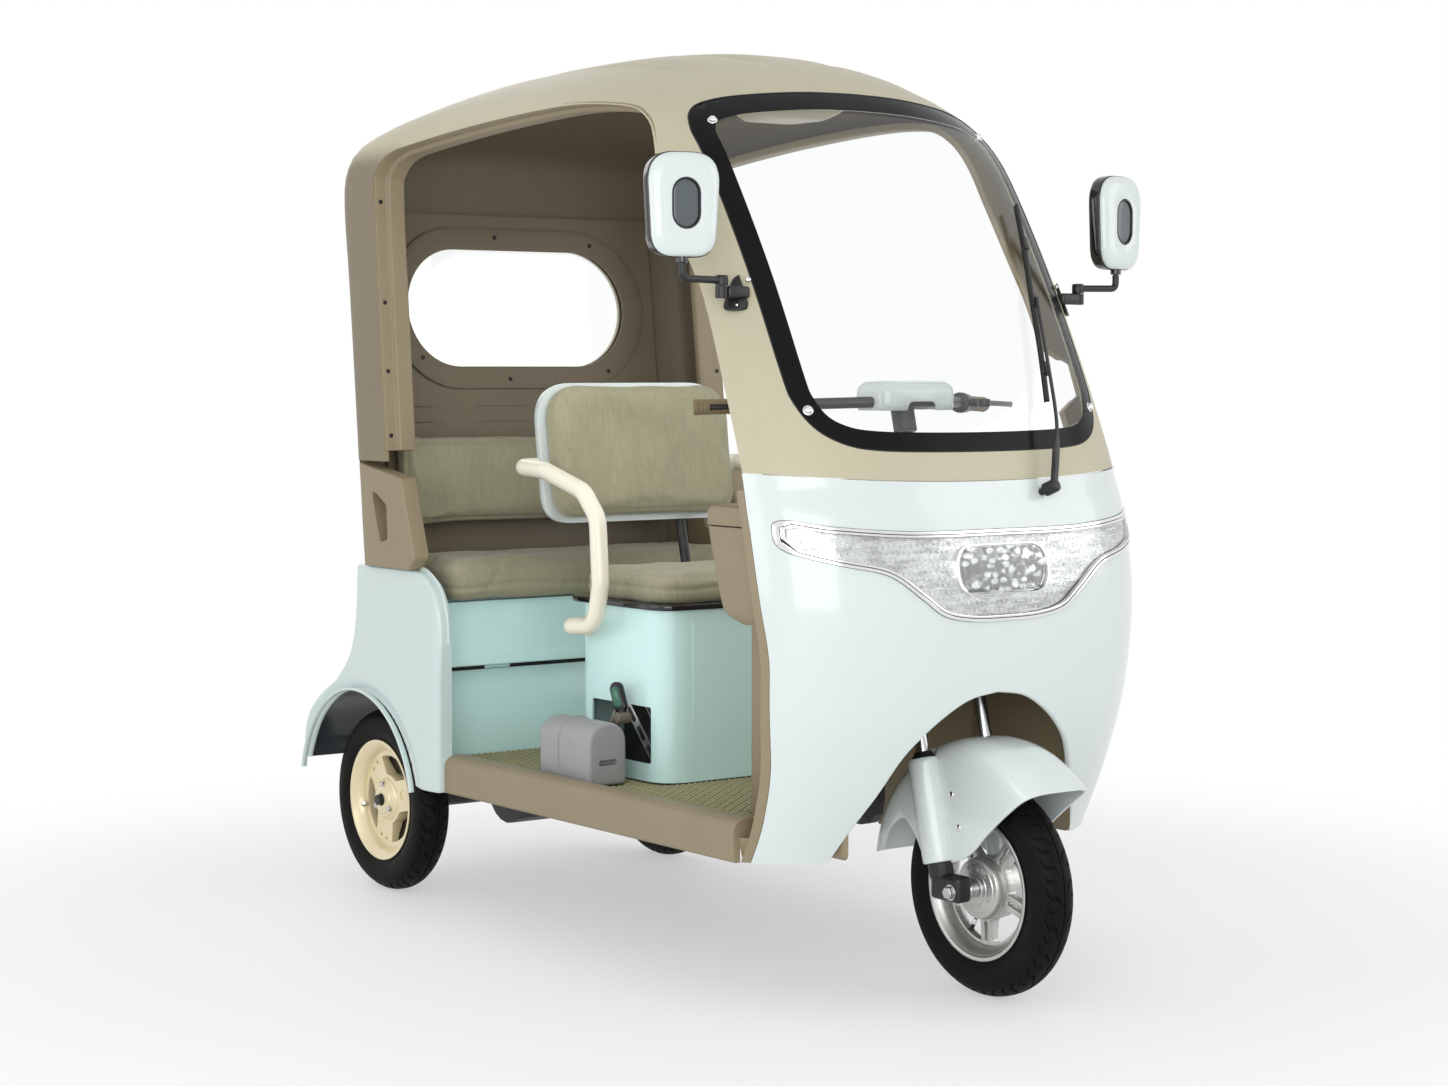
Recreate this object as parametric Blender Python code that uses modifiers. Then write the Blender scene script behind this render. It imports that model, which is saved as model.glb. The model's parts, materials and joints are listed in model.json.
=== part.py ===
"""Electric passenger tricycle: roofed cabin, driver's seat, rear bench and three 10 inch wheels.

Units are metres. +Z is up, the vehicle faces -Y, and +X is its left side. The origin lies on
the ground under the middle of the vehicle.
"""
import math

import bmesh
import bpy
from mathutils import Matrix, Vector

# Running gear
TYRE_RADIUS = 0.21
TYRE_WIDTH = 0.083
RIM_FLANGE_RADIUS = 0.139
RIM_SEAT_RADIUS = 0.127
WHEELBASE = 1.64
TRACK = 0.77
REAR_REACH = 0.265            # from the rear axle to the back of the rear body
RAKE = math.radians(14.0)     # steering axis, leaning back
AXLE_LEAD = 0.04              # front axle ahead of the steering axis, at axle height
FORK_HALF_SPREAD = 0.082
STANCHION_RADIUS = 0.0135
SLIDER_RADIUS = 0.024
AXLE_RADIUS = 0.007

# Body
BODY_HALF_WIDTH = 0.478
SILL_BOTTOM = 0.272
SILL_TOP = 0.355
FLOOR_TOP = 0.325
MAT_THICKNESS = 0.011
BELT_HEIGHT = 0.992           # where the tan cab meets the mint cowl, on the centre line
BELT_RISE = 0.09              # the joint rises by this much times x squared
ROOF_HEIGHT = 1.876
CAB_WALL = 0.010
COWL_WALL = 0.005
COWL_DEPTH = 0.31             # from the nose to the widest point
GAP = 0.0005                  # between pieces that touch
JOINT_GAP = 0.0015            # between painted panels

# Seats
SEAT_FRONT = 0.750            # behind the front axle
SEAT_LENGTH = 0.340
SEAT_HALF_WIDTH = 0.240
SEAT_BOX_TOP = 0.700
BENCH_FRONT = 0.255           # ahead of the rear axle
BENCH_HALF_WIDTH = 0.430
BENCH_TOP = 0.690
CUSHION_THICKNESS = 0.060

# Controls
GRIP_RADIUS = 0.016
BAR_RADIUS = 0.011
BAR_HEIGHT = 1.130
BAR_HALF_WIDTH = 0.380

TOTAL_LENGTH = TYRE_RADIUS + WHEELBASE + REAR_REACH
FRONT_AXLE_Y = TYRE_RADIUS - TOTAL_LENGTH / 2
REAR_AXLE_Y = FRONT_AXLE_Y + WHEELBASE

# Cowl: share of its height, set-back of its nose, share of the half width, roundness
COWL_STATIONS = [
    (0.00, 0.075, 0.967, 3.0),
    (0.21, 0.020, 0.987, 3.2),
    (0.42, -0.020, 1.000, 3.3),
    (0.68, -0.038, 1.000, 3.3),
    (0.91, -0.010, 1.000, 3.3),
    (1.00, 0.012, 0.998, 3.2),
]
# Cab: share of its height, set-back of its front, set-back of its rear from the rear axle,
# share of the half width, roundness, depth of the front and of the rear rounding
CAB_STATIONS = [
    (-0.265, -0.038, 0.032, 1.000, 3.3, 0.31, 0.09),
    (0.000, 0.012, 0.059, 0.998, 3.2, 0.31, 0.09),
    (0.066, 0.032, 0.066, 0.996, 3.2, 0.31, 0.09),
    (0.258, 0.104, 0.085, 0.992, 3.1, 0.31, 0.09),
    (0.462, 0.192, 0.106, 0.988, 3.0, 0.31, 0.09),
    (0.688, 0.305, 0.130, 0.983, 2.9, 0.32, 0.09),
    (0.760, 0.348, 0.128, 0.978, 2.8, 0.34, 0.11),
    (0.810, 0.385, 0.112, 0.968, 2.7, 0.38, 0.17),
    (0.850, 0.418, 0.070, 0.940, 2.6, 0.44, 0.30),
    (0.890, 0.462, -0.010, 0.870, 2.5, 0.50, 0.44),
    (0.930, 0.530, -0.120, 0.730, 2.4, 0.46, 0.48),
    (0.962, 0.620, -0.260, 0.545, 2.3, 0.37, 0.38),
    (0.984, 0.730, -0.410, 0.350, 2.2, 0.25, 0.25),
    (1.000, 0.880, -0.600, 0.140, 2.1, 0.08, 0.08),
]


def after_front(distance):
    """Y of a point this far behind the front axle."""
    return FRONT_AXLE_Y + distance


def after_rear(distance):
    """Y of a point this far behind the rear axle."""
    return REAR_AXLE_Y + distance


def read_stations(stations, share):
    """The row of values at a share of the height, on a smooth curve through the stations."""
    last = len(stations) - 1
    share = min(max(share, stations[0][0]), stations[last][0])
    i = 0
    while i < last - 1 and stations[i + 1][0] < share:
        i += 1
    a, b = stations[i], stations[i + 1]
    before, after = stations[max(i - 1, 0)], stations[min(i + 2, last)]
    span = b[0] - a[0]
    t = (share - a[0]) / span
    row = []
    for k in range(1, len(a)):
        slope_a = (b[k] - before[k]) / (b[0] - before[0])
        slope_b = (after[k] - a[k]) / (after[0] - a[0])
        row.append((2 * t ** 3 - 3 * t ** 2 + 1) * a[k] + (t ** 3 - 2 * t ** 2 + t) * span * slope_a
                   + (3 * t ** 2 - 2 * t ** 3) * b[k] + (t ** 3 - t ** 2) * span * slope_b)
    return row


def cab_row(z):
    return read_stations(CAB_STATIONS, (z - BELT_HEIGHT) / (ROOF_HEIGHT - BELT_HEIGHT))


def cowl_row(z):
    return read_stations(COWL_STATIONS, (z - SILL_BOTTOM) / (BELT_HEIGHT - SILL_BOTTOM))


def corner(count, power):
    """Points from the middle of a rounded end (0, 1) to its side (1, 0)."""
    points = []
    for i in range(count + 1):
        angle = math.pi / 2 * i / count
        points.append((math.sin(angle) ** (2 / power), math.cos(angle) ** (2 / power)))
    return points


def nose_curve(z, inset, count=10):
    """One half of the cowl's plan at a height, from the centre line to the widest point."""
    front, share, power = cowl_row(z)
    depth = COWL_DEPTH
    half = BODY_HALF_WIDTH * share
    return [(x * (half - inset), after_front(front + depth) - y * (depth - inset))
            for x, y in corner(count, power)]


def cab_ring(z, inset, count=9, side=4, rear=4):
    """The cab's whole plan at a height, inset from its skin."""
    front, back, share, power, front_depth, rear_depth = cab_row(z)
    half = BODY_HALF_WIDTH * share - inset
    widest = after_front(front + front_depth)
    tail = after_rear(back - rear_depth)
    if tail < widest:
        widest = tail = (widest + tail) / 2
    nose = after_front(front) + inset
    end = after_rear(back) - inset
    points = [(x * half, widest - y * (widest - nose)) for x, y in corner(count, power)]
    points += [(half, widest + (tail - widest) * i / side) for i in range(1, side)]
    points += [(x * half, tail + y * (end - tail)) for x, y in reversed(corner(rear, 2.6))]
    return points + [(-x, y) for x, y in reversed(points[1:-1])]


def skin_front(x, z):
    """Y of the front skin at a place across the vehicle and a height."""
    if z < BELT_HEIGHT:
        front, share, power = cowl_row(z)
        depth = COWL_DEPTH
    else:
        front, _, share, power, depth, _ = cab_row(z)
    across = min(abs(x) / (BODY_HALF_WIDTH * share), 1.0)
    return after_front(front + depth * (1 - (1 - across ** power) ** (1 / power)))


def steering_point(height):
    """The point of the steering axis at a height."""
    return Vector((0, after_front(AXLE_LEAD + (height - TYRE_RADIUS) * math.tan(RAKE)), height))


# Collections and materials

def make_collection(name):
    collection = bpy.data.collections.new(name)
    bpy.context.scene.collection.children.link(collection)
    return collection


def start():
    for old in list(bpy.data.objects):
        bpy.data.objects.remove(old, do_unlink=True)
    for old in list(bpy.data.meshes):
        bpy.data.meshes.remove(old)
    for old in list(bpy.data.collections):
        bpy.data.collections.remove(old)


start()
PARTS = make_collection("electric_tricycle")
CUTTERS = make_collection("cutters")
MATERIALS = {}


def material(name, colour, roughness, metallic=0.0):
    if name not in MATERIALS:
        made = bpy.data.materials.new(name)
        made.use_nodes = True
        shader = made.node_tree.nodes["Principled BSDF"]
        shader.inputs["Base Color"].default_value = (*colour, 1.0)
        shader.inputs["Roughness"].default_value = roughness
        shader.inputs["Metallic"].default_value = metallic
        made.diffuse_color = (*colour, 1.0)
        MATERIALS[name] = made
    return MATERIALS[name]


MINT = ("mint_paint", (0.62, 0.83, 0.81), 0.25)
TAN = ("tan_moulding", (0.50, 0.46, 0.35), 0.45)
DARK_TAN = ("dark_tan_moulding", (0.20, 0.165, 0.115), 0.55)
FABRIC = ("seat_fabric", (0.26, 0.235, 0.17), 0.9)
BLACK = ("black_plastic", (0.015, 0.015, 0.016), 0.45)
RUBBER = ("tyre_rubber", (0.012, 0.012, 0.013), 0.8)
ALLOY = ("silver_alloy", (0.55, 0.55, 0.54), 0.35, 0.9)
CREAM = ("cream_paint", (0.80, 0.70, 0.48), 0.35)
CHROME = ("chrome", (0.75, 0.75, 0.76), 0.08, 1.0)
STEEL = ("black_steel", (0.03, 0.03, 0.032), 0.5, 0.4)
GREY = ("grey_plastic", (0.36, 0.36, 0.38), 0.5)
CLEAR = ("clear_acrylic", (0.80, 0.86, 0.86), 0.05)
RED = ("red_lens", (0.45, 0.02, 0.02), 0.15)


def dress(obj, finish):
    """Names the object's material and puts the object among the parts."""
    obj.data.materials.clear()
    obj.data.materials.append(material(*finish))
    for collection in list(obj.users_collection):
        collection.objects.unlink(obj)
    PARTS.objects.link(obj)
    return obj


def put_aside(obj):
    """Makes the object a tool for cuts and joins, which the part doesn't show."""
    for collection in list(obj.users_collection):
        collection.objects.unlink(obj)
    CUTTERS.objects.link(obj)
    obj.hide_render = True
    obj.display_type = "WIRE"
    return obj


def from_bmesh(name, bm):
    bmesh.ops.recalc_face_normals(bm, faces=bm.faces)
    mesh = bpy.data.meshes.new(name)
    bm.to_mesh(mesh)
    bm.free()
    obj = bpy.data.objects.new(name, mesh)
    bpy.context.scene.collection.objects.link(obj)
    return obj


def soften(obj, angle=35):
    obj.data.shade_smooth()
    obj.data.set_sharp_from_angle(angle=math.radians(angle))
    return obj


# Shapes

def block(name, low, high, bevel=0.0, segments=2):
    """A box between two corners, with rounded edges."""
    bm = bmesh.new()
    low, high = Vector(low), Vector(high)
    size = high - low
    place = Matrix.Translation((low + high) / 2) @ Matrix.Diagonal((*size, 1.0))
    bmesh.ops.create_cube(bm, size=1.0, matrix=place)
    obj = from_bmesh(name, bm)
    return round_edges(obj, bevel, segments) if bevel else obj


def round_edges(obj, width, segments=2, angle=35):
    bevel = obj.modifiers.new("rounded edges", "BEVEL")
    bevel.width = width
    bevel.segments = segments
    bevel.limit_method = "ANGLE"
    bevel.angle_limit = math.radians(angle)
    return obj


def rod(name, start_point, end_point, radius, end_radius=None, sides=16):
    """A cylinder or cone between two points."""
    a, b = Vector(start_point), Vector(end_point)
    turn = (b - a).to_track_quat("Z", "Y").to_matrix().to_4x4()
    bm = bmesh.new()
    bmesh.ops.create_cone(bm, cap_ends=True, segments=sides, radius1=radius,
                          radius2=radius if end_radius is None else end_radius,
                          depth=(b - a).length, matrix=Matrix.Translation((a + b) / 2) @ turn)
    return soften(from_bmesh(name, bm))


def bent_path(points, bend, steps=3):
    """The route through the points, with each inner corner rounded to the bend radius."""
    points = [Vector(p) for p in points]
    route = [points[0]]
    for before, here, after in zip(points, points[1:], points[2:]):
        to_before, to_after = (before - here), (after - here)
        half_angle = to_before.angle(to_after) / 2
        reach = bend / math.tan(half_angle)
        reach = min(reach, to_before.length * 0.49, to_after.length * 0.49)
        a = here + to_before.normalized() * reach
        b = here + to_after.normalized() * reach
        for i in range(steps + 1):
            t = i / steps
            route.append(a * (1 - t) ** 2 + here * 2 * t * (1 - t) + b * t ** 2)
    return route + [points[-1]]


def tube(name, points, radius, resolution=2):
    """A round bar along a route, as a mesh with welded caps."""
    curve = bpy.data.curves.new(name, "CURVE")
    curve.dimensions = "3D"
    curve.bevel_depth = radius
    curve.bevel_resolution = resolution
    curve.use_fill_caps = True
    spline = curve.splines.new("POLY")
    spline.points.add(len(points) - 1)
    for place, point in zip(spline.points, points):
        place.co = (*point, 1.0)
    return curve_to_mesh(name, curve)


def curve_to_mesh(name, curve):
    guide = bpy.data.objects.new(name + "_guide", curve)
    bpy.context.scene.collection.objects.link(guide)
    bpy.context.view_layer.update()
    seen = guide.evaluated_get(bpy.context.evaluated_depsgraph_get())
    mesh = bpy.data.meshes.new_from_object(seen)
    mesh.materials.clear()
    place = guide.matrix_world.copy()
    bpy.data.objects.remove(guide, do_unlink=True)
    bpy.data.curves.remove(curve)
    bm = bmesh.new()
    bm.from_mesh(mesh)
    bpy.data.meshes.remove(mesh)
    bmesh.ops.remove_doubles(bm, verts=bm.verts, dist=0.00001)
    obj = from_bmesh(name, bm)
    obj.matrix_world = place
    return soften(obj)


AXIS_FRAMES = {
    "X": Matrix(((0, 0, 1, 0), (1, 0, 0, 0), (0, 1, 0, 0), (0, 0, 0, 1))),
    "Y": Matrix(((1, 0, 0, 0), (0, 0, -1, 0), (0, 1, 0, 0), (0, 0, 0, 1))),
    "Z": Matrix.Identity(4),
}


def slab(name, outline, low, high, axis):
    """A flat outline made solid between two places along an axis.

    The outline is (y, z) for X, (x, z) for Y and (x, y) for Z.
    """
    curve = bpy.data.curves.new(name, "CURVE")
    curve.dimensions = "2D"
    curve.fill_mode = "BOTH"
    curve.extrude = (high - low) / 2
    spline = curve.splines.new("POLY")
    spline.points.add(len(outline) - 1)
    for place, (u, v) in zip(spline.points, outline):
        place.co = (u, v, 0.0, 1.0)
    spline.use_cyclic_u = True
    obj = curve_to_mesh(name, curve)
    middle = (low + high) / 2 * (-1 if axis == "Y" else 1)
    obj.data.transform(AXIS_FRAMES[axis] @ Matrix.Translation((0, 0, middle)))
    return obj


def loft(name, loops):
    """A closed skin through loops of equally many points, capped at both ends."""
    bm = bmesh.new()
    rows = [[bm.verts.new(p) for p in loop] for loop in loops]
    count = len(loops[0])
    for lower, upper in zip(rows, rows[1:]):
        for i in range(count):
            j = (i + 1) % count
            bm.faces.new((lower[i], lower[j], upper[j], upper[i]))
    bm.faces.new(reversed(rows[0]))
    bm.faces.new(rows[-1])
    return from_bmesh(name, bm)


def turned(name, profile, centre, steps=32, axis="X"):
    """A closed profile of (radius, along) points turned about an axis through a centre."""
    bm = bmesh.new()
    points = [bm.verts.new((radius, 0, along)) for radius, along in profile]
    on_axis = profile[0][0] < 1e-6
    for a, b in zip(points, points[1:]):
        bm.edges.new((a, b))
    if not on_axis:
        bm.edges.new((points[-1], points[0]))
    mesh = bpy.data.meshes.new(name)
    bm.to_mesh(mesh)
    bm.free()
    obj = bpy.data.objects.new(name, mesh)
    bpy.context.scene.collection.objects.link(obj)
    screw = obj.modifiers.new("turned", "SCREW")
    screw.steps = steps
    screw.render_steps = steps
    screw.use_merge_vertices = True
    screw.merge_threshold = 0.0001
    screw.use_normal_calculate = True
    frame = {"X": Matrix.Rotation(math.radians(90), 4, "Y"),
             "Y": Matrix.Rotation(math.radians(-90), 4, "X"),
             "Z": Matrix.Identity(4)}[axis]
    obj.matrix_world = Matrix.Translation(centre) @ frame
    return obj


def ring_profile(inner, outer, low, high):
    """The section of a plain ring, for a turned shape: its outer side first, from the top."""
    return [(outer, high), (outer, low), (inner, low), (inner, high)]


def rounded_outline(points, radius, steps=4):
    """A closed outline with every corner rounded."""
    count = len(points)
    route = []
    for i in range(count):
        here = Vector(points[i])
        before = Vector(points[i - 1]) - here
        after = Vector(points[(i + 1) % count]) - here
        bend = radius[i] if isinstance(radius, (list, tuple)) else radius
        half_angle = before.angle(after) / 2
        reach = min(bend / math.tan(half_angle), before.length * 0.49, after.length * 0.49)
        a = here + before.normalized() * reach
        b = here + after.normalized() * reach
        for k in range(steps + 1):
            t = k / steps
            spot = a * (1 - t) ** 2 + here * 2 * t * (1 - t) + b * t ** 2
            route.append((spot.x, spot.y))
    return route


def stadium(half_width, half_height, steps=8):
    """A wide outline with round ends, about the origin."""
    straight = half_width - half_height
    points = []
    for side in (1, -1):
        for i in range(steps + 1):
            angle = side * (math.pi / 2 - math.pi * i / steps)
            points.append((side * straight + side * half_height * math.cos(angle),
                           half_height * math.sin(angle)))
    return points


def shifted(outline, across, up):
    return [(u + across, v + up) for u, v in outline]


def mirrored(outline):
    """A whole outline from its right half, which runs from the top centre to the bottom one."""
    return outline + [(-u, v) for u, v in reversed(outline) if abs(u) > 1e-6]


def combine(target, tool, operation):
    step = target.modifiers.new(operation.lower(), "BOOLEAN")
    step.operation = operation
    step.solver = "EXACT"
    step.object = put_aside(tool)
    return target


def cut(target, *tools):
    for tool in tools:
        combine(target, tool, "DIFFERENCE")
    return target


def join(target, *tools):
    for tool in tools:
        combine(target, tool, "UNION")
    return target


def keep_inside(target, tool):
    return combine(target, tool, "INTERSECT")


def settle(obj):
    """Replaces the object's mesh by what its modifiers make, and its origin by the world's."""
    bpy.context.view_layer.update()
    seen = obj.evaluated_get(bpy.context.evaluated_depsgraph_get())
    mesh = bpy.data.meshes.new_from_object(seen)
    mesh.transform(obj.matrix_world)
    obj.modifiers.clear()
    obj.data = mesh
    obj.matrix_world = Matrix.Identity(4)
    return obj


def hang_on(obj, pivot):
    """Puts the object's origin on its joint's axis, with the shape left where it is."""
    settle(obj)
    obj.data.transform(Matrix.Translation(-Vector(pivot)))
    obj.matrix_world = Matrix.Translation(pivot)
    return obj


# Cab and cowl

def cab_solid(name, inset, levels):
    """The cab's outer form, or the form of its inside, as a closed solid."""
    loops = []
    for share in levels:
        height = BELT_HEIGHT + share * (ROOF_HEIGHT - BELT_HEIGHT)
        drop = inset * min(max((share - 0.76) / 0.10, 0.0), 1.0)
        loops.append([(x, y, height - drop) for x, y in cab_ring(height, inset)])
    return loft(name, loops)


CAB_LEVELS = [-0.265, 0.0, 0.17, 0.34, 0.52, 0.68, 0.76, 0.81, 0.85, 0.89, 0.93, 0.962, 0.984, 1.0]
CAB_LEVELS_INSIDE = [-0.35] + CAB_LEVELS[1:]

DOOR_FRONT = [(0.105, 0.610), (0.120, 0.470), (0.155, 0.360), (0.200, 0.270)]
DOOR_OUTLINE = [
    (0.148, 0.900), (0.178, 1.010), (0.236, 1.160), (0.312, 1.335), (0.372, 1.430),
    (0.452, 1.560), (0.500, 1.655), (0.545, 1.700), (0.615, 1.725), (0.800, 1.737), (1.100, 1.724),
    (1.380, 1.700), (1.490, 1.684), (1.545, 1.650), (1.556, 1.580), (1.520, 1.200), (1.500, 0.998),
    (1.640, 0.9975), (1.605, 0.740), (1.100, 0.720), (0.148, 0.720),
]
GLASS_HALF = [
    (0.0, 1.757), (0.12, 1.754), (0.24, 1.744), (0.31, 1.733), (0.357, 1.715), (0.383, 1.680),
    (0.389, 1.620), (0.387, 1.400), (0.385, 1.200), (0.378, 1.140), (0.352, 1.092), (0.305, 1.064),
    (0.24, 1.053), (0.12, 1.049), (0.0, 1.048),
]
WINDOW_HALF_WIDTH = 0.305
WINDOW_HALF_HEIGHT = 0.140
WINDOW_HEIGHT = 1.349
GLASS_LAP = 0.030
GLASS_THICKNESS = 0.004
DRAWN_BELT = 0.992            # the belt, roof and wheelbase that the outlines here were drawn to
DRAWN_ROOF = 1.876
DRAWN_WHEELBASE = 1.64


def scaled_height(z):
    """A design height of the cab, moved with the belt and roof."""
    return BELT_HEIGHT + (z - DRAWN_BELT) * (ROOF_HEIGHT - BELT_HEIGHT) / (DRAWN_ROOF - DRAWN_BELT)


def offset_outline(outline, distance):
    """The outline pushed outwards by a distance, inwards if it is negative."""
    count = len(outline)
    area = sum(outline[i - 1][0] * outline[i][1] - outline[i][0] * outline[i - 1][1]
               for i in range(count))
    turn = 1 if area > 0 else -1
    moved = []
    for i in range(count):
        a, b = Vector(outline[i - 1]), Vector(outline[(i + 1) % count])
        along = (b - a).normalized()
        moved.append((outline[i][0] + turn * distance * along.y,
                      outline[i][1] - turn * distance * along.x))
    return moved


def glass_outline(grow):
    outline = mirrored([(x, scaled_height(z)) for x, z in GLASS_HALF])
    return offset_outline(outline, grow)


def belt_line(offset):
    """The joint between cab and cowl, from right to left."""
    points = []
    for i in range(13):
        x = -0.6 + 1.2 * i / 12
        points.append((x, BELT_HEIGHT + BELT_RISE * x * x + offset))
    return points


def door_outline():
    points = []
    for distance, z in DOOR_OUTLINE:
        y = after_front(distance) if distance < 1.0 else after_rear(distance - DRAWN_WHEELBASE)
        points.append((y, scaled_height(z)))
    return points


def cab_shell():
    shell = cab_solid("cab_shell", 0.0, CAB_LEVELS)
    cut(shell, cab_solid("cut_cab_inside", CAB_WALL, CAB_LEVELS_INSIDE))
    below_belt = belt_line(JOINT_GAP / 2) + [(0.6, 0.5), (-0.6, 0.5)]
    cut(shell, slab("cut_below_belt", below_belt, after_front(-0.3), after_front(0.60), "Y"))
    cut(shell, slab("cut_doors", door_outline(), -0.6, 0.6, "X"))
    front_face = (after_front(-0.3), after_front(0.62))
    cut(shell, slab("cut_glass_opening", glass_outline(-GLASS_LAP), *front_face, "Y"))
    rebate = slab("cut_glass_rebate", glass_outline(JOINT_GAP), *front_face, "Y")
    settle(cut(rebate, cab_solid("cut_rebate_floor", GLASS_THICKNESS + 0.0015, CAB_LEVELS_INSIDE)))
    cut(shell, rebate)
    window = shifted(stadium(WINDOW_HALF_WIDTH, WINDOW_HALF_HEIGHT), 0, WINDOW_HEIGHT)
    cut(shell, slab("cut_rear_window", window, after_rear(0.0), after_rear(0.3), "Y"))
    return dress(shell, TAN)


def windshield():
    pane = slab("windshield", glass_outline(0.0), after_front(-0.3), after_front(0.62), "Y")
    settle(pane)
    keep_inside(pane, cab_solid("keep_pane_outer", 0.0003, CAB_LEVELS_INSIDE))
    cut(pane, cab_solid("cut_pane_inner", GLASS_THICKNESS, CAB_LEVELS_INSIDE))
    return dress(pane, CLEAR)


LAMP_HALF = [
    (0.0, 0.902), (0.20, 0.903), (0.36, 0.915), (0.435, 0.927), (0.448, 0.905), (0.436, 0.868),
    (0.36, 0.843), (0.27, 0.822), (0.200, 0.775), (0.150, 0.742), (0.08, 0.729), (0.0, 0.727),
]
BEZEL_WIDTH = 0.012
LENS_THICKNESS = 0.004
LAMP_DEPTH = 0.026


def lamp_outline(grow):
    return offset_outline(mirrored(LAMP_HALF), grow)


def nose_solid(name, inset, low, high, back, levels=9, forward=0.0):
    """The cowl's front form as a closed solid with a flat back."""
    loops = []
    for i in range(levels):
        z = low + (high - low) * i / (levels - 1)
        half = nose_curve(z, inset)
        side = half[-1][0]
        right = [(x, y - forward) for x, y in half if y < back - 0.001]
        curve = right + [(side, back)]
        loops.append((z, curve))
    count = min(len(curve) for _, curve in loops)
    rings = []
    for z, curve in loops:
        curve = curve[:count - 1] + [curve[-1]]
        ring = curve + [(-x, y) for x, y in reversed(curve[1:])]
        rings.append([(x, y, z) for x, y in ring])
    return loft(name, rings)


def cowl_back_outline(offset):
    """Everything behind the cowl's rear edge, as a side view outline."""
    edge = [(0.181, 1.06), (0.178, 1.01), (0.148, 0.90), (0.118, 0.76), (0.104, 0.68)] + DOOR_FRONT
    curve = [(after_front(distance + offset), z) for distance, z in edge]
    return [(after_front(0.9), 1.06)] + curve + [(after_front(0.2), 0.2), (after_front(0.9), 0.2)]


ARCH_HALF = [
    (0.0, 0.592), (0.07, 0.581), (0.13, 0.550), (0.18, 0.510), (0.215, 0.470), (0.25, 0.405),
    (0.29, 0.330), (0.325, 0.240),
]


def front_cowl():
    back = after_front(0.36)
    shell = nose_solid("front_cowl", 0.0, SILL_BOTTOM, BELT_HEIGHT + 0.04, back)
    inner = nose_solid("cut_cowl_inside", COWL_WALL, SILL_BOTTOM - 0.01, BELT_HEIGHT + 0.05,
                       back + 0.05)
    cut(shell, inner)
    above = belt_line(-JOINT_GAP / 2) + [(0.6, 1.2), (-0.6, 1.2)]
    cut(shell, slab("cut_above_belt", above, after_front(-0.3), after_front(0.60), "Y"))
    cut(shell, slab("cut_behind_cowl", cowl_back_outline(0.0), -0.6, 0.6, "X"))
    arch = mirrored(ARCH_HALF)
    cut(shell, slab("cut_wheel_arch", arch, after_front(-0.3), after_front(0.40), "Y"))
    lamp = slab("cut_lamp_opening", lamp_outline(0.0), after_front(-0.3), after_front(0.2), "Y")
    cut(shell, lamp)
    pivot_hole = rod("cut_wiper_hole", wiper_pivot() - WIPER_AXIS * 0.05,
                     wiper_pivot() + WIPER_AXIS * 0.05, 0.009)
    cut(shell, pivot_hole)
    return dress(shell, MINT)


def lamp_ring(name, grow_outer, grow_inner, proud, behind):
    """A layer of the headlamp that follows the cowl's curve."""
    back = after_front(0.36)
    piece = slab(name, lamp_outline(grow_outer), after_front(-0.3), after_front(0.25), "Y")
    if grow_inner is not None:
        hole = slab("cut_" + name, lamp_outline(grow_inner), after_front(-0.35),
                    after_front(0.3), "Y")
        cut(piece, hole)
    settle(piece)
    keep_inside(piece, nose_solid("keep_" + name, 0.0, 0.66, 0.98, back + 0.06, 6, proud))
    cut(piece, nose_solid("behind_" + name, 0.0, 0.64, 1.0, back + 0.1, 6, proud - behind))
    return piece


def headlamp():
    bezel = lamp_ring("headlamp_bezel", -JOINT_GAP, -BEZEL_WIDTH, 0.006, 0.012)
    dress(bezel, CHROME)
    lens = lamp_ring("headlamp_lens", -BEZEL_WIDTH - GAP, None, 0.004, LENS_THICKNESS)
    dress(lens, CLEAR)
    housing = lamp_ring("headlamp_housing", -JOINT_GAP, None, -0.0075, LAMP_DEPTH)
    pocket = lamp_ring("cut_lamp_pocket", -BEZEL_WIDTH, None, -0.002, LAMP_DEPTH)
    settle(pocket)
    cut(housing, pocket)
    dress(housing, CHROME)
    return bezel, lens, housing


# Wiper

WIPER_SIDE = 0.130
WIPER_HEIGHT = 0.967
WIPER_REACH = 0.42            # pivot to the middle of the blade
WIPER_LEAN = math.radians(23)
WIPER_TURN = math.radians(19)
GLASS_LEAN = math.radians(26.5)
WIPER_AXIS = Vector((math.sin(WIPER_TURN), -math.cos(WIPER_TURN) * math.cos(GLASS_LEAN),
                     math.cos(WIPER_TURN) * math.sin(GLASS_LEAN))).normalized()
WIPER_ACROSS = Vector((math.cos(WIPER_TURN), math.sin(WIPER_TURN), 0))
WIPER_UP = WIPER_ACROSS.cross(WIPER_AXIS) * -1


def wiper_pivot():
    return Vector((WIPER_SIDE, skin_front(WIPER_SIDE, WIPER_HEIGHT), WIPER_HEIGHT))


def wiper_direction():
    return (WIPER_ACROSS * math.sin(WIPER_LEAN) + WIPER_UP * math.cos(WIPER_LEAN)).normalized()


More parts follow.
